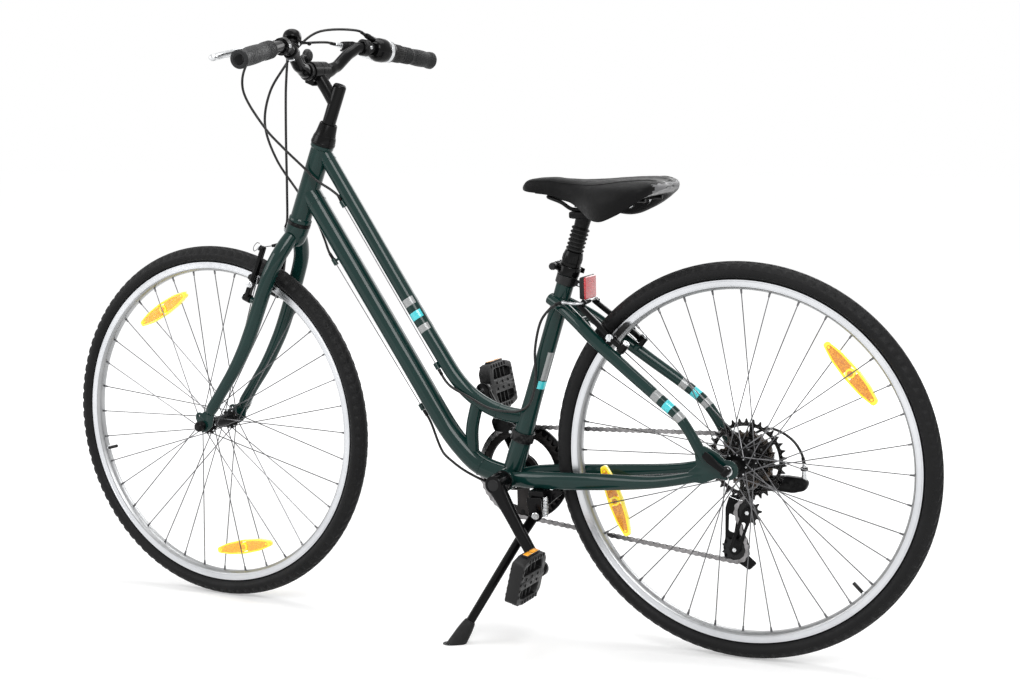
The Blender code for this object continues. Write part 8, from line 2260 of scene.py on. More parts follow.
def make_derailleur():
    """The derailleur's hanger, body, cage and two jockey wheels."""
    out = DROPOUT_INNER + DROPOUT_THICK + CLEAR
    black = "black_satin"
    outline = arc((0.0, 0.0), 0.0115, 160, 0, 14) + [(0.0060, -0.0130), (-0.0050, HANGER_FOOT),
                                                     (-0.0300, HANGER_FOOT)]
    outline += [(-0.0280, -0.0220), (-0.0120, -0.0080)]
    hole = circle((0.0, 0.0), REAR_AXLE_RADIUS + CLEAR, 28)
    side = -(out + HANGER_THICK / 2)
    shapes = [plate(rounded(outline, 0.0020), HANGER_THICK, side_on(Y * side), black, (hole,), 0.0004)]
    boss = Vector((-0.0175, -0.0690, HANGER_FOOT + 0.0060))
    shapes.append(box((0.0240, 0.0160, 0.0120), boss, black, edge=0.0020))
    shapes.append(cylinder(0.0078, boss - Y * 0.0080, boss - Y * 0.0105, black, 32))
    shapes.append(socket_bolt(0.0060, boss - Y * 0.0100, boss - Y * 0.0128, "silver"))
    piece("derailleur_bracket_fine", bike, shapes, ("derailleur_bracket",))
    top = HANGER_FOOT - CLEAR
    outline = [(-0.0050, top), (-0.0320, top), (-0.0600, -0.0340), (-0.0900, -0.0360), (-0.0980, -0.0440)]
    outline += [(-0.0920, -0.0580), (-0.0700, -0.0640), (-0.0400, -0.0620), (-0.0100, -0.0660),
                (0.0060, -0.0560)]
    body = plate(rounded(outline, 0.0055, 5), 0.0130, side_on(Y * -0.0690), black, edge=0.0022)
    knuckle_at = Vector((KNUCKLE[0], 0.0, KNUCKLE[1]))
    shapes = [body]
    shapes.append(cylinder(0.0135, knuckle_at - Y * 0.0470, knuckle_at - Y * 0.0740, black, 44, edge=0.0015))
    shapes.append(cylinder(0.0100, knuckle_at - Y * 0.0740, knuckle_at - Y * 0.0762, "black_plastic", 36,
                           edge=0.0010))
    outline = [(-0.0300, -0.0400), (0.0100, -0.0480), (0.0280, -0.0720), (0.0100, -0.0880),
               (-0.0100, -0.0640)]
    outline += [(-0.0340, -0.0560)]
    shapes.append(plate(rounded(outline, 0.0060, 5), 0.0110, side_on(Y * -0.0680), black, edge=0.0018))
    for x, z in ((-0.0250, -0.0430), (0.0060, -0.0530), (-0.0300, -0.0530), (-0.0040, -0.0640)):
        at = Vector((x, -0.0755, z))
        shapes.append(cylinder(0.0032, at + Y * 0.001, at - Y * 0.0014, "silver", 20))
    for k in range(2):
        at = Vector((-0.0470 - 0.0090 * k, -0.0755, -0.0440))
        shapes.append(cylinder(0.0030, at + Y * 0.001, at - Y * 0.0016, "silver", 18))
        # A thin dark bar on each screw's face stands in for its slot: painted shade, with no slot cut.
        shapes.append(box((0.0040, 0.0006, 0.0008), at - Y * 0.0017, "cog_dark", Y, X, 0.0001, 1))
    coil = []
    for k in range(97):
        angle = 2 * pi * k / 12
        coil.append((-0.0100 - 0.0002 * k, -0.0690 + 0.0040 * sin(angle), -0.0520 + 0.0040 * cos(angle)))
    shapes.append(tube(coil, 0.0006, "silver", 6))
    barrel_at = Vector((-0.0890, -0.0690, -0.0400))
    shapes.append(cylinder(0.0045, barrel_at, barrel_at + Z * 0.0270, "silver", 24, 0.0038))
    collar = barrel_at + Z * 0.0170
    shapes.append(cylinder(0.0062, collar, collar + Z * 0.0060, "black_plastic", 32))
    for k in range(16):
        radial = X * cos(2 * pi * k / 16) + Y * sin(2 * pi * k / 16)
        shapes.append(box((0.0008, 0.0012, 0.0056), collar + Z * 0.0030 + radial * 0.0061, "black_plastic",
                          Z, radial,
                          0.0002, 1))
    piece("derailleur_linkage_fine", derailleur_slide, shapes, ("derailleur_linkage",))
    along = (LOWER_AT - GUIDE_AT).normalized()
    across = along.cross(Y)
    if across.x < 0:
        across = across * -1.0
    outer = ((-0.0130, 0.0433), (0.0111, 0.0427), (0.0632, 0.0254), (0.0788, 0.0244), (0.0996, 0.0143))
    outer += ((0.0965, -0.0142), (0.1003, -0.0344), (0.0826, -0.0433), (0.0749, -0.0218), (0.0521, -0.0090))
    outer += ((0.0364, 0.0060), (0.0150, 0.0060), (0.0100, -0.0090), (-0.0057, -0.0108), (-0.0123, -0.0020))
    outer += ((-0.0269, 0.0142),)
    matrix = placed(GUIDE_AT, along.cross(across), along)
    face = matrix.to_3x3() @ Vector((0.0, 0.0, 1.0))
    outward = -0.0055 if face.y > 0 else 0.0055
    far = Matrix.Translation((0.0, 0.0, outward))
    near = Matrix.Translation((0.0, 0.0, -outward))
    flip = 1.0 if (matrix.to_3x3() @ Vector((0.0, 1.0, 0.0))).dot(across) > 0 else -1.0
    holes = [rounded([(0.0180, 0.0180 * flip), (0.0480, 0.0130 * flip), (0.0480, 0.0240 * flip),
                      (0.0180, 0.0330 * flip)], 0.0030, 3)]
    shapes = [plate(rounded([(a, b * flip) for a, b in outer], 0.0040, 4), 0.0016, matrix @ far, black,
                    holes)]
    inner = arc((0.0, 0.0), 0.0095, 90, 270, 14) + arc((CAGE_LENGTH, 0.0), 0.0095, -90, 90, 14)
    slot = rounded([(0.0190, -0.0040), (0.0540, -0.0040), (0.0540, 0.0040), (0.0190, 0.0040)], 0.0030, 3)
    shapes.append(plate(inner, 0.0016, matrix @ near, black, (slot,)))
    for at in (GUIDE_AT, LOWER_AT):
        shapes.append(cylinder(0.0025, at - Y * 0.0072, at + Y * 0.0070, "silver", 20))
        shapes.append(socket_bolt(0.0046, at - Y * 0.0062, at - Y * 0.0084, "silver"))
        shapes.append(hexagon(0.0040, at + Y * 0.0062, at + Y * 0.0078, "silver"))
    piece("derailleur_cage_fine", derailleur_cage_axis, shapes, ("derailleur_cage",))
    for name, at, parent in (
        ("jockey_wheel_upper", GUIDE_AT, jockey_upper_axis),
        ("jockey_wheel_lower", LOWER_AT, jockey_lower_axis),
    ):
        angle = pin_angle((at.x, at.z), PULLEY_RADIUS)
        hole = circle((0.0, 0.0), 0.0031, 20)
        teeth = plate(toothed(PULLEY_TEETH, angle), PLATE_THICK, side_on(at), "black_plastic", (hole,),
                      0.0003)
        hub = [(0.0031, -0.0042), (0.0070, -0.0042), (0.0075, -0.0036), (0.0075, 0.0036), (0.0070, 0.0042)]
        hub += [(0.0031, 0.0042)]
        shapes = [teeth, revolve(hub, at, Y, "black_plastic", 32, ring=True)]
        for k in range(5):
            radial = X * cos(2 * pi * k / 5) + Z * sin(2 * pi * k / 5)
            shapes.append(box((0.0086, 0.0016, 0.0034), at + radial * 0.0110, "black_plastic", Y, radial,
                              0.0004, 2))
        piece(name + "_fine", parent, shapes, (name,))


def brake_arm(name, at, up, axis, side, height, top_out, wheel, pad_up, parent, anchor):
    """A cantilever arm on its stud, with its pad facing the rim's side."""
    matrix = placed(at, (Y * side).cross(up), Y * side)
    middle = Matrix.Translation(axis * 0.0080)
    path = ((0.0, -0.0060, 0.0060), (0.0, 0.0, 0.0080), (0.0030, 0.0120, 0.0065), (0.0015, pad_up, 0.0075))
    path += ((top_out * 0.45, height * 0.62, 0.0055), (top_out, height, 0.0050))
    outline = [(x + w, y) for x, y, w in path] + [(x - w, y) for x, y, w in reversed(path)]
    black = "black_gloss"
    shapes = [plate(rounded(outline, 0.0060, 5), 0.0090, middle @ matrix, black, edge=0.0022)]
    hub = [(PIVOT_STUD_RADIUS + CLEAR, 0.0), (0.0074, 0.0), (BRAKE_HUB_RADIUS, 0.0006),
           (BRAKE_HUB_RADIUS, 0.0159)]
    hub += [(0.0074, 0.0165), (PIVOT_STUD_RADIUS + CLEAR, 0.0165)]
    shapes.append(revolve(hub, at, axis, black, 36, ring=True))
    pad_side = RIM_HALF_WIDTH + PAD_GAP + 0.0050
    pad_at = at + up * pad_up + axis * 0.0080 + Y * (side * pad_side - at.y)
    radial = (pad_at - wheel - Y * (side * pad_side)).normalized()
    along = radial.cross(Y)
    for k in range(5):
        share = pad_at + along * (0.0116 * (k - 2)) - Y * (side * 0.0026)
        shapes.append(box((0.0104, 0.0048, 0.0094), share, "black_rubber", radial, along, 0.0008, 2))
    shapes.append(box((0.0570, 0.0070, 0.0098), pad_at + Y * (side * 0.0012), "black_rubber", radial, along,
                      0.0024, 4))
    post_end = pad_at + Y * (side * (abs(at.y) - pad_side + 0.0130))
    shapes.append(cylinder(0.0032, pad_at + Y * (side * 0.003), post_end + Y * (side * 0.0010), "silver", 24))
    shapes.append(cylinder(0.0066, post_end - Y * (side * 0.0060), post_end - Y * (side * 0.0040), "silver",
                           32))
    shapes.append(hexagon(0.0058, post_end - Y * (side * 0.0040), post_end, "silver"))
    spring = [at + axis * 0.0030 - Y * (side * 0.0075),
              at + axis * 0.0030 + up * 0.0250 - Y * (side * 0.0070)]
    spring += [at + axis * 0.0040 + up * 0.0480 - Y * (side * 0.0045)]
    shapes.append(bent(spring, 0.0008, "silver", 12, 10))
    top = at + up * (height - 0.0060) + Y * (side * top_out) + axis * 0.0080
    if anchor:
        shapes.append(cylinder(0.0055, top, top + axis * 0.0070, black, 28))
        shapes.append(cylinder(0.0060, top + axis * 0.0070, top + axis * 0.0085, "silver", 28))
        shapes.append(socket_bolt(0.0046, top + axis * 0.0080, top + axis * 0.0112, "silver"))
    else:
        seat = holder_place(at, up, axis, side, height, top_out)
        shapes.append(box((0.0100, 0.0060, 0.0120), seat, black, axis, up, 0.0016, 3))
        shapes.append(cylinder(0.0046, seat - Y * (side * 0.0036), seat + Y * (side * 0.0038), black, 28))
    piece(name + "_fine", parent, shapes, (name,))


def make_brakes():
    """The four brake arms on their pivots."""
    for side, hand, top_out in ((1, "left", -0.0030), (-1, "right", FRONT_HOLDER_OUT)):
        at = on_head(FORK_BRAKE_ALONG, FORK_BRAKE_FORWARD, side * FORK_BRAKE_SIDE)
        joint = pivot("front_brake_" + hand + "_axis", steering, at, HEAD_FORWARD)
        name = "front_brake_arm_" + hand
        brake_arm(
            name, at, HEAD_UP, HEAD_FORWARD, side, FRONT_ARM, top_out, FRONT_AXLE, 0.0293, joint,
            hand == "left"
        )
    for side, hand, top_out in ((1, "left", REAR_HOLDER_OUT), (-1, "right", -0.0160)):
        at = rear_brake_pivot(side)
        joint = pivot("rear_brake_" + hand + "_axis", bike, at, REAR_BRAKE_AXIS)
        name = "rear_brake_arm_" + hand
        up = REAR_BRAKE_UP
        brake_arm(name, at, up, REAR_BRAKE_AXIS, side, REAR_ARM, top_out, REAR_AXLE, 0.0274, joint,
                  hand == "right")


def left_turn(point):
    """Where a point of the straight-ahead steering lies at rest."""
    turn = Matrix.Rotation(REST_STEER, 3, HEAD_UP)
    return STEER_POINT + turn @ (point - STEER_POINT)


def housing_run(points, count, ends=(True, True)):
    """A length of black housing with a ferrule at each end that stands in a stop."""
    fine = smooth_path([tuple(p) for p in points], count)
    shapes = [tube(fine, CABLE_RADIUS, "housing", 16)]
    for wanted, near, far in ((ends[0], fine[0], fine[1]), (ends[1], fine[-1], fine[-2])):
        if wanted:
            start = Vector(near)
            along = (Vector(far) - start).normalized()
            shapes.append(cylinder(0.0031, start, start + along * 0.0120, "black_satin", 22))
            shapes.append(cylinder(0.0034, start + along * 0.0002, start + along * 0.0020, "black_satin", 22))
    return shapes


def brake_pipe(seat, top, side, far):
    """The bent pipe into a brake arm's top, then the boot and the bare wire to the other arm."""
    corner = seat + Y * (side * 0.0120) + (top - seat) * 0.25
    face = seat + Y * (side * 0.0036)
    gap = far - seat
    along = gap.normalized()
    shapes = [bent([top, corner, face + Y * (side * 0.0010), face], 0.0027, "cast_silver", 26, 20)]
    shapes.append(cylinder(0.0034, top, top + (corner - top).normalized() * 0.0060, "cast_silver", 24))
    inner = seat - Y * (side * 0.0040)
    rings = []
    for k in range(29):
        t = k / 28
        radius = 0.0040 - 0.0016 * t + 0.0005 * cos(2 * pi * k / 4)
        rings.append((*(inner + along * (0.0250 * t)), radius))
    shapes.append(tube(rings, 0.003, "black_rubber", 24))
    wire_end = far - along * 0.0050
    shapes.append(tube([tuple(seat), tuple(wire_end)], WIRE_RADIUS, "wire", 10))
    return shapes


def make_cables():
    """The three cables with their housings and bare wires."""
    stops = cable_stops()
    gap = STOP_HALF + RUNNING
    rear = "rear_brake_cable"
    start, end = barrel_line(-1)
    leave = (end - start).normalized()
    points = [left_turn(end + leave * 0.0012), left_turn(end + leave * 0.025)]
    points += [(0.9180, -0.0250, 0.7300), (0.9430, 0.0200, 0.7180), (0.9595, 0.0400, 0.6900)]
    points += [(0.9629, 0.0450, 0.6495), (0.9243, 0.0350, 0.5780), (0.8864, 0.0300, 0.5384)]
    points += [(0.8500, 0.0270, 0.5060), (0.8215, 0.0250, 0.4800), (0.7990, 0.0130, 0.4620)]
    points += [stops[0][0] - stops[0][1] * 0.018, stops[0][0] - stops[0][1] * gap]
    front = piece("rear_brake_housing_front", bike, housing_run(points, 150), (), body="blend")
    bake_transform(front)
    shapes = [tube([tuple(stops[0][0]), tuple(stops[1][0])], WIRE_RADIUS, "wire", 10)]
    points = [stops[1][0] + stops[1][1] * gap, stops[1][0] + stops[1][1] * 0.030]
    points += [(0.5560, 0.0150, 0.1030), (0.5150, 0.0200, 0.0860), (0.4750, 0.0220, 0.0690)]
    points += [(0.4347, 0.0240, 0.0655)]
    points += [(0.4135, 0.0250, 0.0680), (0.3922, 0.0250, 0.0817), (0.3790, 0.0240, 0.1261),
               (0.3797, 0.0220, 0.1805)]
    points += [(0.3656, 0.0260, 0.2318), (0.3459, 0.0340, 0.2545), (0.3296, 0.0380, 0.2660),
               (0.3188, 0.0385, 0.2698)]
    shapes += housing_run(points, 150)
    seat = holder_place(rear_brake_pivot(1), REAR_BRAKE_UP, REAR_BRAKE_AXIS, 1, REAR_ARM, REAR_HOLDER_OUT)
    far = rear_brake_pivot(-1) + REAR_BRAKE_UP * (REAR_ARM - 0.0060) + REAR_BRAKE_AXIS * 0.0165 + Y * 0.0160
    shapes += brake_pipe(seat, Vector((0.3160, 0.0388, 0.2705)), 1, far)
    piece("rear_brake_cable_fine", bike, shapes, (rear,))
    start, end = spout_line()
    leave = (end - start).normalized()
    points = [left_turn(end + leave * 0.0012), left_turn(end + leave * 0.020)]
    points += [(0.8700, -0.0850, 0.7550), (0.8908, -0.0450, 0.7300), (0.9065, -0.0150, 0.6918)]
    points += [(0.9261, 0.0100, 0.6442), (0.9440, 0.0050, 0.5827), (0.9340, -0.0140, 0.5166),
               (0.8990, -0.0285, 0.4550)]
    points += [(0.8600, -0.0300, 0.4000), (0.8330, -0.0140, 0.3640)]
    points += [stops[2][0] - stops[2][1] * 0.022, stops[2][0] - stops[2][1] * gap]
    front = piece("shift_housing_front", bike, housing_run(points, 170), (), body="blend")
    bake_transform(front)
    shapes = [tube([tuple(stops[2][0]), tuple(stops[3][0])], WIRE_RADIUS, "wire", 10)]
    points = [stops[3][0] + stops[3][1] * gap, stops[3][0] + stops[3][1] * 0.030]
    points += [(0.5852, 0.0, -0.0249), (0.5668, 0.0, -0.0406), (0.5357, -0.0020, -0.0600),
               (0.4800, -0.0160, -0.0850)]
    points += [(0.4443, -0.0230, -0.0885), (0.3950, -0.0305, -0.0770), (0.3290, -0.0360, -0.0725)]
    points += [(0.2500, -0.0420, -0.0660), (0.1362, -0.0575, -0.0495), (0.0700, -0.0740, -0.0360)]
    points += [(0.0450, -0.0835, -0.0130), (0.0150, -0.0830, 0.0260), (-0.0200, -0.0790, 0.0450)]
    points += [(-0.0496, -0.0720, 0.0404), (-0.0720, -0.0700, 0.0250), (-0.0850, -0.0690, 0.0050)]
    points.append((-0.0890, -0.0690, -0.0116))
    shapes += housing_run(points, 240)
    piece("shift_cable_fine", bike, shapes, ("shift_cable",))
    start, end = barrel_line(1)
    leave = (end - start).normalized()
    points = [end + leave * 0.0012, end + leave * 0.020, (0.8871, 0.0201, 0.6400), (0.9050, -0.0006, 0.5535)]
    points += [(0.9140, -0.0110, 0.4580)]
    at = on_head(FORK_BRAKE_ALONG, FORK_BRAKE_FORWARD, -FORK_BRAKE_SIDE)
    seat = holder_place(at, HEAD_UP, HEAD_FORWARD, -1, FRONT_ARM, FRONT_HOLDER_OUT)
    top = seat + HEAD_UP * 0.0320 + HEAD_FORWARD * 0.0060 - Y * 0.0060
    shapes = housing_run(points + [top + HEAD_UP * 0.0100, top + HEAD_UP * 0.0010], 120)
    far = on_head(FORK_BRAKE_ALONG + FRONT_ARM - 0.0060, FORK_BRAKE_FORWARD + 0.0165,
                  FORK_BRAKE_SIDE - 0.0030)
    shapes += brake_pipe(seat, top, -1, far)
    tail = [far + HEAD_UP * 0.001, far + Y * 0.0140 - HEAD_UP * 0.0060, far + Y * 0.0200 + HEAD_UP * 0.0030]
    tail += [far + Y * 0.0130 + HEAD_UP * 0.0110, far + Y * 0.0040 + HEAD_UP * 0.0090]
    shapes.append(bent(tail, 0.0007, "wire", 30, 8))
    piece("front_brake_cable_fine", steering, shapes, ("front_brake_cable",))


def make_seat_clamp():
    """The seat clamp, its bolt and its lever."""
    bore = SEAT_TUBE_RADIUS + CLEAR
    ring = [(bore, CLAMP_LOW), (0.0194, CLAMP_LOW), (0.0200, CLAMP_LOW + 0.0008),
            (0.0200, CLAMP_HIGH - 0.0020)]
    ring += [(0.0190, CLAMP_HIGH - 0.0004), (0.0180, CLAMP_HIGH), (bore, CLAMP_HIGH)]
    shapes = [revolve(ring, CRANK_AXIS, SEAT_UP, "black_gloss", 56, ring=True)]
    ears = CLAMP_BOLT - SEAT_FORWARD * 0.0020
    for side in (1, -1):
        shapes.append(box((0.0120, 0.0070, 0.0140), ears + Y * (side * 0.0046), "black_gloss", SEAT_UP,
                          SEAT_FORWARD, 0.0018))
    shapes.append(cylinder(0.0028, CLAMP_BOLT - Y * 0.0125, CLAMP_BOLT + Y * 0.0120, "silver", 20))
    shapes.append(cylinder(0.0068, CLAMP_BOLT + Y * 0.0110, CLAMP_BOLT + Y * 0.0240, "black_plastic", 36,
                           0.0060, 0.0012))
    for k in range(12):
        radial = SEAT_UP * cos(2 * pi * k / 12) + SEAT_FORWARD * sin(2 * pi * k / 12)
        at = CLAMP_BOLT + Y * 0.0172 + radial * 0.0063
        shapes.append(box((0.0010, 0.0014, 0.0090), at, "black_plastic", Y, radial, 0.0003, 1))
    piece("seat_clamp_fine", bike, shapes, ("seat_clamp",))
    at = CLAMP_BOLT - Y * 0.0180
    shapes = [cylinder(0.0050, at - SEAT_UP * 0.0065, at + SEAT_UP * 0.0065, "black_gloss", 32)]
    path = [at, at - SEAT_FORWARD * 0.0080 - Y * 0.0050, at - SEAT_FORWARD * 0.0160 - Y * 0.0080]
    path += [at - SEAT_FORWARD * 0.0290 - Y * 0.0095, at - SEAT_FORWARD * 0.0420 - Y * 0.0100]
    stations = list(zip(path, (0.0048, 0.0050, 0.0055, 0.0056, 0.0045),
                        (0.0030, 0.0026, 0.0022, 0.0020, 0.0016)))
    shapes.append(oval(stations, "black_gloss", 32, 24, SEAT_UP, 2.4))
    piece("seat_clamp_lever_fine", clamp_lever_axis, shapes, ("seat_clamp_lever",))


def make_rear_reflector():
    """The rear reflector on its band."""
    bore = SEAT_TUBE_RADIUS + CLEAR
    ring = [(bore, BAND_LOW), (0.0185, BAND_LOW), (0.0190, BAND_LOW + 0.0006), (0.0190, BAND_HIGH - 0.0006)]
    ring += [(0.0185, BAND_HIGH), (bore, BAND_HIGH)]
    black = "black_plastic"
    shapes = [revolve(ring, CRANK_AXIS, SEAT_UP, black, 48, ring=True)]
    middle = on_seat(0.3880, -0.0450)
    arm = on_seat((BAND_LOW + BAND_HIGH) / 2, -0.0280)
    shapes.append(box((0.0220, 0.0100, 0.0100), arm, black, SEAT_UP, SEAT_FORWARD, 0.0020))
    shapes.append(box((0.0390, 0.0470, 0.0080), middle + X * 0.0050, black, -X, Z, 0.0030, 4))
    shapes.append(box((0.0420, 0.0500, 0.0050), middle + X * 0.0012, black, -X, Z, 0.0024, 4))
    shapes.append(box((0.0398, 0.0478, 0.0060), middle - X * 0.0008, "lens_red", -X, Z, 0.0022, 4))
    shapes.append(cylinder(0.0028, arm + Y * 0.0045, arm + Y * 0.0066, "silver", 20))
    piece("rear_reflector_fine", bike, shapes, ("rear_reflector",))


def make_seatpost():
    """The seat post, the sprung shaft with the rail clamp, and the rubber boot."""
    profile = [(0.0, POST_BOTTOM), (POST_RADIUS, POST_BOTTOM), (POST_RADIUS, NUT_LOW), (0.0172, NUT_LOW)]
    profile += [(0.0178, NUT_LOW + 0.0006), (0.0178, NUT_LOW + 0.0056), (0.0172, NUT_LOW + 0.0062)]
    profile += [(0.0172, NUT_LOW + 0.0070), (0.0178, NUT_LOW + 0.0076), (0.0178, NUT_HIGH - 0.0080)]
    profile += [(0.0165, NUT_HIGH - 0.0020), (0.0158, NUT_HIGH), (SHAFT_BORE, NUT_HIGH)]
    profile += [(SHAFT_BORE, SHAFT_BOTTOM - SUSPENSION_TRAVEL - 0.0050),
                (0.0, SHAFT_BOTTOM - SUSPENSION_TRAVEL - 0.0050)]
    shapes = [revolve(profile, CRANK_AXIS, SEAT_UP, "black_gloss", 56)]
    for k in range(20):
        radial = axes(SEAT_UP, X).to_3x3() @ Vector((cos(2 * pi * k / 20), sin(2 * pi * k / 20), 0.0))
        at = on_seat(NUT_LOW + 0.0130) + radial * 0.0178
        shapes.append(box((0.0008, 0.0018, 0.0100), at, "black_gloss", SEAT_UP, radial, 0.0003, 1))
    piece("seatpost_fine", post_slide, shapes, ("seatpost",))
    black = "black_satin"
    head = [(0.0, BOOT_HIGH + CLEAR), (0.0126, BOOT_HIGH + CLEAR), (0.0132, BOOT_HIGH + 0.0010)]
    head += [(0.0136, BOOT_HIGH + 0.0090), (0.0145, HEAD_ALONG - 0.0010), (0.0138, HEAD_ALONG),
             (0.0, HEAD_ALONG)]
    shapes = [revolve(head, CRANK_AXIS, SEAT_UP, black, 48)]
    shapes.append(cylinder(SHAFT_RADIUS, on_seat(SHAFT_BOTTOM), on_seat(HEAD_ALONG - 0.002), "silver", 40))
    rail = rail_middle()
    lower = rail - Z * (RAIL_RADIUS + CLEAR + 0.0060)
    shapes.append(box((0.0440, 0.0580, 0.0120), lower, black, edge=0.0034, steps=4))
    shapes.append(box((0.0300, 0.0520, 0.0050), rail + Z * (RAIL_RADIUS + CLEAR + 0.0025) - X * 0.0030,
                      black, edge=0.0020))
    shapes.append(cylinder(0.0100, rail - Z * 0.0080, rail + Z * 0.0050, black, 36))
    for ahead in (0.0165, -0.0165):
        bolt = lower + X * ahead - Z * 0.0060
        shapes.append(socket_bolt(0.0046, bolt + Z * 0.001, bolt - Z * 0.0036, "silver"))
    front = lower + X * 0.0200 - Z * 0.0010
    shapes.append(box((0.0080, 0.0160, 0.0150), front + X * 0.0020, black, edge=0.0020))
    shapes.append(hexagon(0.0052, front + X * 0.0050, front + X * 0.0085, "silver"))
    piece("seatpost_shaft_fine", suspension_slide, shapes, ("seatpost_shaft",))
    ribs = 6
    low = NUT_HIGH + CLEAR
    step = (BOOT_HIGH - low) / ribs
    profile = [(0.0108, BOOT_HIGH), (0.0108, low)]
    for k in range(ribs * 12 + 1):
        wave = 0.5 - 0.5 * cos(2 * pi * k / 12)
        profile.append((0.0128 + 0.0036 * wave**0.8, low + step * k / 12))
    boot = revolve(profile, CRANK_AXIS, SEAT_UP, "black_rubber", 56, ring=True)
    made = piece("seatpost_boot_fine", bike, [boot], ("seatpost_boot",), 60.0, body="blend")
    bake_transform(made)


def saddle_section(x, wide, top, low):
    """The cushion's section at one place: a crown with a shallow channel, and a turned-in skirt."""
    height = top - low
    under = max(low + 0.0020, min(top - SADDLE_DEPTH, top - height * 0.45))
    skirt = min(0.0060, wide * 0.35)
    dip = 0.0024 * min(1.0, wide / 0.06)
    half = [
        (0.0, top - dip),
        (wide * 0.14, top - dip * 0.8),
        (wide * 0.36, top),
        (wide * 0.66, top - height * 0.06),
        (wide * 0.88, top - height * 0.22),
        (wide, top - height * 0.50),
        (wide * 0.985, low + height * 0.18),
        (wide * 0.94, low),
        (wide * 0.94 - skirt, low + 0.0010),
        (wide * 0.60, under),
        (0.0, under),
    ]
    outer = smooth_path([(0.0, y, z) for y, z in half[:8]], 30)
    inner = smooth_path([(0.0, y, z) for y, z in half[7:]], 12)[1:]
    fine = [(y, z) for _, y, z in outer + inner]
    ring = [Vector((x, y, z)) for y, z in fine]
    return ring + [Vector((x, -y, z)) for y, z in reversed(fine[1:-1])]


def saddle_stations(count):
    """The saddle's stations along its length, smoothed to a given count."""
    given = [(x, 0.0, 0.0, wide, top, low) for x, wide, top, low in SADDLE_STATIONS]
    first = given[0]
    last = given[-1]
    given = [(first[0] + 0.0020, 0.0, 0.0, 0.0024, first[4] - 0.0030, first[5] + 0.0020)] + given
    given.append((last[0] - 0.0010, 0.0, 0.0, 0.0200, last[4] - 0.0030, last[5] + 0.0020))
    return [(p[0], p[3], p[4], p[5]) for p in smooth_path(given, count)]


def make_saddle():
    """The saddle's cushion, base and rails."""
    rings = []
    for x, wide, top, low in saddle_stations(110):
        ring = []
        for p in saddle_section(x, wide, top, low):
            grain = noise.noise(p * 60.0) * 0.0003
            ring.append(Vector((p.x, p.y, p.z + grain)))
        rings.append(ring)
    shell = loft(rings, "saddle_skin")
    finishes = []
    for face in shell.faces:
        middle = sum((shell.points[i] for i in face), Vector()) / len(face)
        rear = middle.x < 0.1500 and middle.z < 0.4800 and abs(middle.y) < 0.0600
        trim = rear and middle.z > 0.4600 and len(face) == 4
        finishes.append("saddle_grey" if trim else "saddle_skin")
    shell.finish = finishes
    seams = []
    for side in (1, -1):
        line = []
        for k, ring in enumerate(rings[4:-4]):
            p = ring[13]
            line.append((p.x, p.y * side, p.z + 0.00005))
        seams.append(tube(line, 0.0006, "saddle_skin", 8))
    made = piece("saddle_cushion_fine", suspension_slide, [shell] + seams,
                 ("saddle_cushion",), 75.0)
    base = []
    for x, wide, top, low in saddle_stations(60)[6:-8]:
        height = top - low
        under = max(low + 0.0020, min(top - SADDLE_DEPTH, top - height * 0.45)) - CLEAR * 2
        out = wide * 0.56
        ring = []
        for k in range(12):
            y = out - 2 * out * k / 11
            ring.append(Vector((x, y, under)))
        for k in range(12):
            y = -out * 0.95 + 2 * out * 0.95 * k / 11
            ring.append(Vector((x, y, under - BASE_THICK)))
        base.append(ring)
    piece("saddle_base_fine", suspension_slide, [loft(base, "black_plastic")],
          ("saddle_base",))
    middle = rail_middle()
    half = [
        (0.3560, 0.0000, saddle_floor(0.3560)),
        (0.3520, 0.0085, saddle_floor(0.3520)),
        (0.3220, 0.0190, 0.4440),
        (0.3060, RAIL_SIDE, 0.4350),
        (middle.x + 0.0160, RAIL_SIDE, RAIL_HEIGHT),
        (middle.x - 0.0200, RAIL_SIDE, RAIL_HEIGHT),
        (0.2350, 0.0250, 0.4360),
        (0.2050, 0.0320, 0.4450),
        (0.1700, 0.0380, saddle_floor(0.1700)),
        (0.1560, 0.0390, saddle_floor(0.1560)),
    ]
    path = [(x, y, z) for x, y, z in reversed(half)] + [(x, -y, z) for x, y, z in half[1:]]
    shapes = [tube(smooth_path(path, 140), RAIL_RADIUS, "black_satin", 24)]
    for side in (1, -1):
        foot = Vector((0.1860, 0.0350 * side, 0.4445))
        top = Vector((0.1860, 0.0560 * side, saddle_floor(0.1860) + 0.0040))
        along = (top - foot).normalized()
        frame = axes(along, X).to_3x3()
        coil = []
        for k in range(73):
            angle = 2 * pi * k / 12
            level = (top - foot).length * k / 72
            coil.append(tuple(foot + frame @ Vector((0.0062 * cos(angle), 0.0062 * sin(angle), level))))
        shapes.append(tube(coil, 0.0011, "silver", 10))
        shapes.append(cylinder(0.0046, foot - along * 0.001, foot + (top - foot) * 0.98, "black_rubber", 24))
        shapes.append(cylinder(0.0075, foot - along * 0.0020, foot, "black_satin", 28))
    piece("saddle_rails_fine", suspension_slide, shapes, ("saddle_rails",))


WORLD_UP = Vector((BIKE[2][0], BIKE[2][1], BIKE[2][2]))
GROUND = -BIKE[2][3]


def on_ground(shape):
    """Flattens what would reach below the ground."""
    points = []
    for p in shape.points:
        short = GROUND - p.dot(WORLD_UP)
        points.append(p + WORLD_UP * max(short, 0.0))
    return Shape(points, shape.faces, shape.finish)


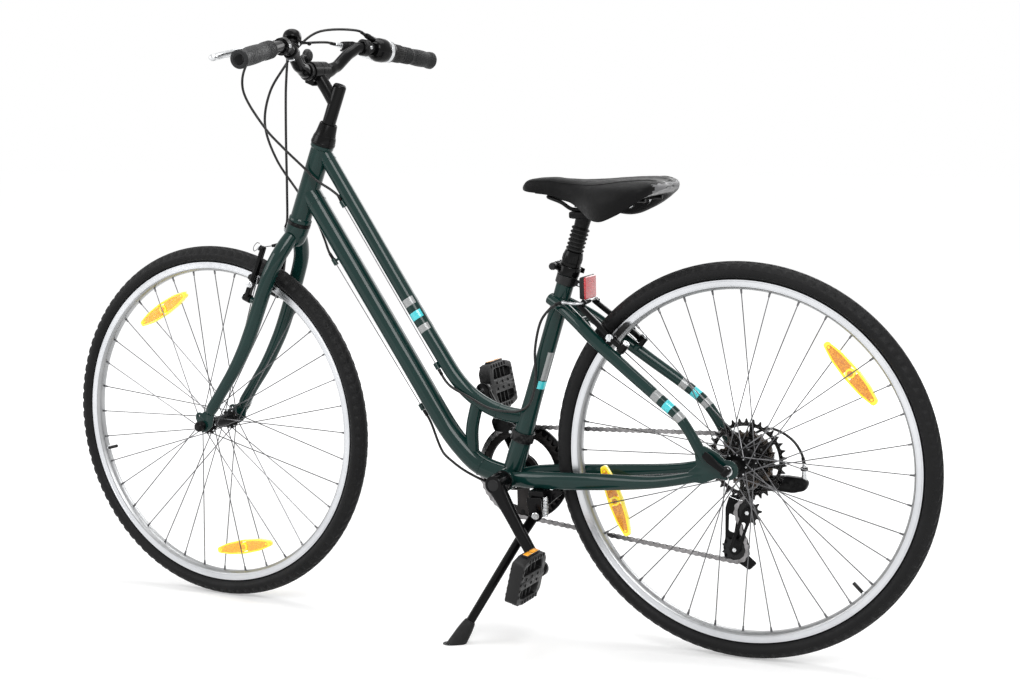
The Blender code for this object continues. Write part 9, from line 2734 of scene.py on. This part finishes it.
def make_stand():
    """The kickstand's leg, bracket and coil spring."""
    down = (STAND_FOOT - STAND_PIVOT).normalized()
    wide = (STAND_AXIS - down * STAND_AXIS.dot(down)).normalized()
    reach = (GROUND - STAND_PIVOT.dot(WORLD_UP)) / down.dot(WORLD_UP)
    square = (down - STAND_AXIS * down.dot(STAND_AXIS)).normalized()
    stations = [(STAND_PIVOT, 0.0052, 0.0090), (STAND_PIVOT + square * 0.0300, 0.0052, 0.0088)]
    stations.append((STAND_PIVOT + square * 0.0440 + (STAND_FOOT - STAND_PIVOT - square * 0.044) * 0.06,
                     0.0052, 0.0084))
    stations.append((STAND_PIVOT + down * (reach - 0.030), 0.0050, 0.0080))
    shapes = [oval(stations, "black_gloss", 70, 32, wide, 2.3)]
    shapes.append(cylinder(0.0120, STAND_PIVOT - STAND_AXIS * 0.0055, STAND_PIVOT + STAND_AXIS * 0.0055,
                           "black_gloss", 40,
                           edge=0.0010))
    foot = []
    for along, half in ((reach - 0.047, 0.0090), (reach - 0.045, 0.0098), (reach - 0.030, 0.0125),
                        (reach + 0.020, 0.0165)):
        foot.append((STAND_PIVOT + down * along, half, half * 1.05))
    shapes.append(on_ground(oval(foot, "black_rubber", 36, 32, wide, 2.3)))
    piece("kickstand_leg_fine", stand_axis, shapes, ("kickstand_leg",))
    top = stay_underside()
    black = "black_gloss"
    body_at = top + (STAND_PIVOT - top).normalized() * 0.0070
    shapes = [box((0.0300, 0.0310, 0.0125), body_at - Z * 0.0006, black, edge=0.0020)]
    for side in (1, -1):
        cheek = STAND_PIVOT + STAND_AXIS * (0.0086 * side)
        shapes.append(cylinder(0.0125, cheek - STAND_AXIS * 0.0025, cheek + STAND_AXIS * 0.0025, black, 40,
                               edge=0.0008))
        matrix = placed(cheek, STAND_AXIS, X)
        web = [(-0.0125, 0.0), (0.0125, 0.0), (0.0130, 0.0330), (-0.0130, 0.0330)]
        facing = matrix.to_3x3() @ Vector((0.0, 1.0, 0.0))
        if facing.z < 0:
            web = [(x, -y) for x, y in web]
        shapes.append(plate(web, 0.0050, matrix, black, edge=0.0008))
    high = STAND_PIVOT + STAND_AXIS * 0.0131
    low = STAND_PIVOT - STAND_AXIS * 0.0131
    shapes.append(cylinder(0.0040, low, high, "silver", 24))
    shapes.append(socket_bolt(0.0068, high - STAND_AXIS * 0.0010, high + STAND_AXIS * 0.0028, "silver"))
    gusset = [(-0.0120, 0.0), (-0.0450, 0.0), (-0.0420, -0.0060), (-0.0150, -0.0280)]
    shapes.append(plate(gusset, 0.0040, side_on(top - Z * 0.0010 - Y * 0.003), black, edge=0.0006))
    piece("kickstand_bracket_fine", bike, shapes, ("kickstand_bracket",))
    low = STAND_PIVOT + Vector((-0.0220, 0.0095, -0.0030))
    high = STAND_PIVOT + Vector((-0.0230, 0.0095, 0.0310))
    frame = axes((high - low).normalized(), X).to_3x3()
    length = (high - low).length
    points = []
    for k in range(12 * 13 + 1):
        angle = 2 * pi * k / 12
        radius = 0.0042
        points.append(tuple(low + frame @ Vector((radius * cos(angle), radius * sin(angle),
                                                  length * k / (12 * 13)))))
    spring = tube(points, 0.0009, "silver", 10)
    made = piece("kickstand_spring_fine", bike, [spring], ("kickstand_spring",), 60.0,
                 body="blend")
    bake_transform(made)


pedal_places = (("pedal_left", 1, PEDAL_LEFT, -46.6), ("pedal_right", -1, PEDAL_RIGHT, -22.0))
make_frame()
make_headset()
make_fork()
make_stem()
make_bar()
make_grips()
for hand_side, hand in ((1, "left"), (-1, "right")):
    make_lever(hand_side, hand)
make_shifter()
make_bell()
make_front_reflector()
make_front_hub()
make_rear_hub()
make_freewheel()
make_chain()
make_bottom_bracket()
make_cranks()
make_chainring()
for pedal_name, pedal_side, pedal_at, turn in pedal_places:
    pedal_axis = pivot(pedal_name + "_axis", crank, pedal_at, Y, radians(turn))
    make_pedal(pedal_side, pedal_at, pedal_axis, pedal_name)
make_chain_keeper()
make_derailleur()
make_brakes()
make_seat_clamp()
make_rear_reflector()
make_seatpost()
make_saddle()
make_stand()
make_cables()


def plane(name, corners, material):
    """A flat sheet through four corners, as part of the stage."""
    mesh = bpy.data.meshes.new(name)
    mesh.from_pydata(corners, [], [(0, 1, 2, 3)])
    mesh.materials.append(material)
    made = bpy.data.objects.new(name, mesh)
    LOOKS.objects.link(made)
    return made


def shown_rays(tree):
    """1 for the rays that show the background as it is: to the camera, in a mirror and through glass."""
    path = tree.nodes.new("ShaderNodeLightPath")
    either = tree.nodes.new("ShaderNodeMath")
    either.operation = "MAXIMUM"
    tree.links.new(path.outputs["Is Glossy Ray"], either.inputs[0])
    tree.links.new(path.outputs["Is Transmission Ray"], either.inputs[1])
    shown = tree.nodes.new("ShaderNodeMath")
    shown.operation = "MAXIMUM"
    tree.links.new(either.outputs[0], shown.inputs[0])
    tree.links.new(path.outputs["Is Camera Ray"], shown.inputs[1])
    return shown.outputs[0]


def floor_look():
    """White to the camera where it is lit, and a little darker where the bike shades it."""
    material = bpy.data.materials.new("studio_floor")
    material.use_nodes = True
    tree = material.node_tree
    tree.nodes.clear()
    out = tree.nodes.new("ShaderNodeOutputMaterial")
    diffuse = tree.nodes.new("ShaderNodeBsdfDiffuse")
    grain = tree.nodes.new("ShaderNodeTexNoise")
    grain.inputs["Scale"].default_value = 3.0
    tint = tree.nodes.new("ShaderNodeMapRange")
    tint.inputs["To Min"].default_value = 0.80
    tint.inputs["To Max"].default_value = 0.82
    tree.links.new(grain.outputs[0], tint.inputs["Value"])
    tree.links.new(tint.outputs[0], diffuse.inputs["Color"])
    glow = tree.nodes.new("ShaderNodeEmission")
    glow.inputs["Color"].default_value = (1.0, 1.0, 1.0, 1.0)
    place = tree.nodes.new("ShaderNodeTexCoord")
    away = tree.nodes.new("ShaderNodeVectorMath")
    away.operation = "LENGTH"
    tree.links.new(place.outputs["Object"], away.inputs[0])
    lift = tree.nodes.new("ShaderNodeMapRange")
    lift.inputs["From Min"].default_value = FLOOR_NEAR
    lift.inputs["From Max"].default_value = FLOOR_FAR
    lift.inputs["To Min"].default_value = FLOOR_LIFT_NEAR
    lift.inputs["To Max"].default_value = FLOOR_LIFT_FAR
    tree.links.new(away.outputs["Value"], lift.inputs["Value"])
    seen = tree.nodes.new("ShaderNodeMath")
    seen.operation = "MULTIPLY"
    tree.links.new(lift.outputs[0], seen.inputs[0])
    tree.links.new(shown_rays(tree), seen.inputs[1])
    tree.links.new(seen.outputs[0], glow.inputs["Strength"])
    both = tree.nodes.new("ShaderNodeAddShader")
    tree.links.new(diffuse.outputs[0], both.inputs[0])
    tree.links.new(glow.outputs[0], both.inputs[1])
    tree.links.new(both.outputs[0], out.inputs["Surface"])
    return material


def make_world():
    """Plain pale surroundings: white to the camera, softer as light."""
    world = bpy.data.worlds.new("studio")
    world.use_nodes = True
    tree = world.node_tree
    tree.nodes.clear()
    out = tree.nodes.new("ShaderNodeOutputWorld")
    level = tree.nodes.new("ShaderNodeMapRange")
    level.inputs["To Min"].default_value = WORLD_LIGHT
    level.inputs["To Max"].default_value = 1.0
    tree.links.new(shown_rays(tree), level.inputs["Value"])
    back = tree.nodes.new("ShaderNodeBackground")
    back.inputs["Color"].default_value = (1.0, 1.0, 1.0, 1.0)
    tree.links.new(level.outputs[0], back.inputs["Strength"])
    tree.links.new(back.outputs[0], out.inputs["Surface"])
    bpy.context.scene.world = world


def area_light(name, at, towards, size, power):
    """A soft rectangular lamp that faces a point."""
    data = bpy.data.lights.new(name, "AREA")
    data.shape = "RECTANGLE"
    data.size = size[0]
    data.size_y = size[1]
    data.energy = power
    made = bpy.data.objects.new(name, data)
    made.location = at
    made.rotation_euler = (Vector(towards) - Vector(at)).to_track_quat("-Z", "Y").to_euler()
    LOOKS.objects.link(made)


make_world()
low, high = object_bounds()
ground = low[2]
plane("floor", [(-FLOOR_REACH, -FLOOR_REACH, ground), (FLOOR_REACH, -FLOOR_REACH, ground),
                (FLOOR_REACH, FLOOR_REACH, ground), (-FLOOR_REACH, FLOOR_REACH, ground)], floor_look())
for lamp in LAMPS:
    area_light(*lamp)

camera_data = bpy.data.cameras.new("camera")
camera_data.sensor_width = SENSOR_WIDTH
camera_data.lens = SENSOR_WIDTH * FOCAL_PIXELS / PICTURE_WIDTH
camera = bpy.data.objects.new("camera", camera_data)
LOOKS.objects.link(camera)
turn = Matrix((EYE_RIGHT, -EYE_DOWN, -EYE_FORWARD)).transposed().to_4x4()
camera.matrix_world = BIKE @ Matrix.Translation(EYE) @ turn
scene = bpy.context.scene
scene.camera = camera
scene.view_settings.view_transform = "Standard"
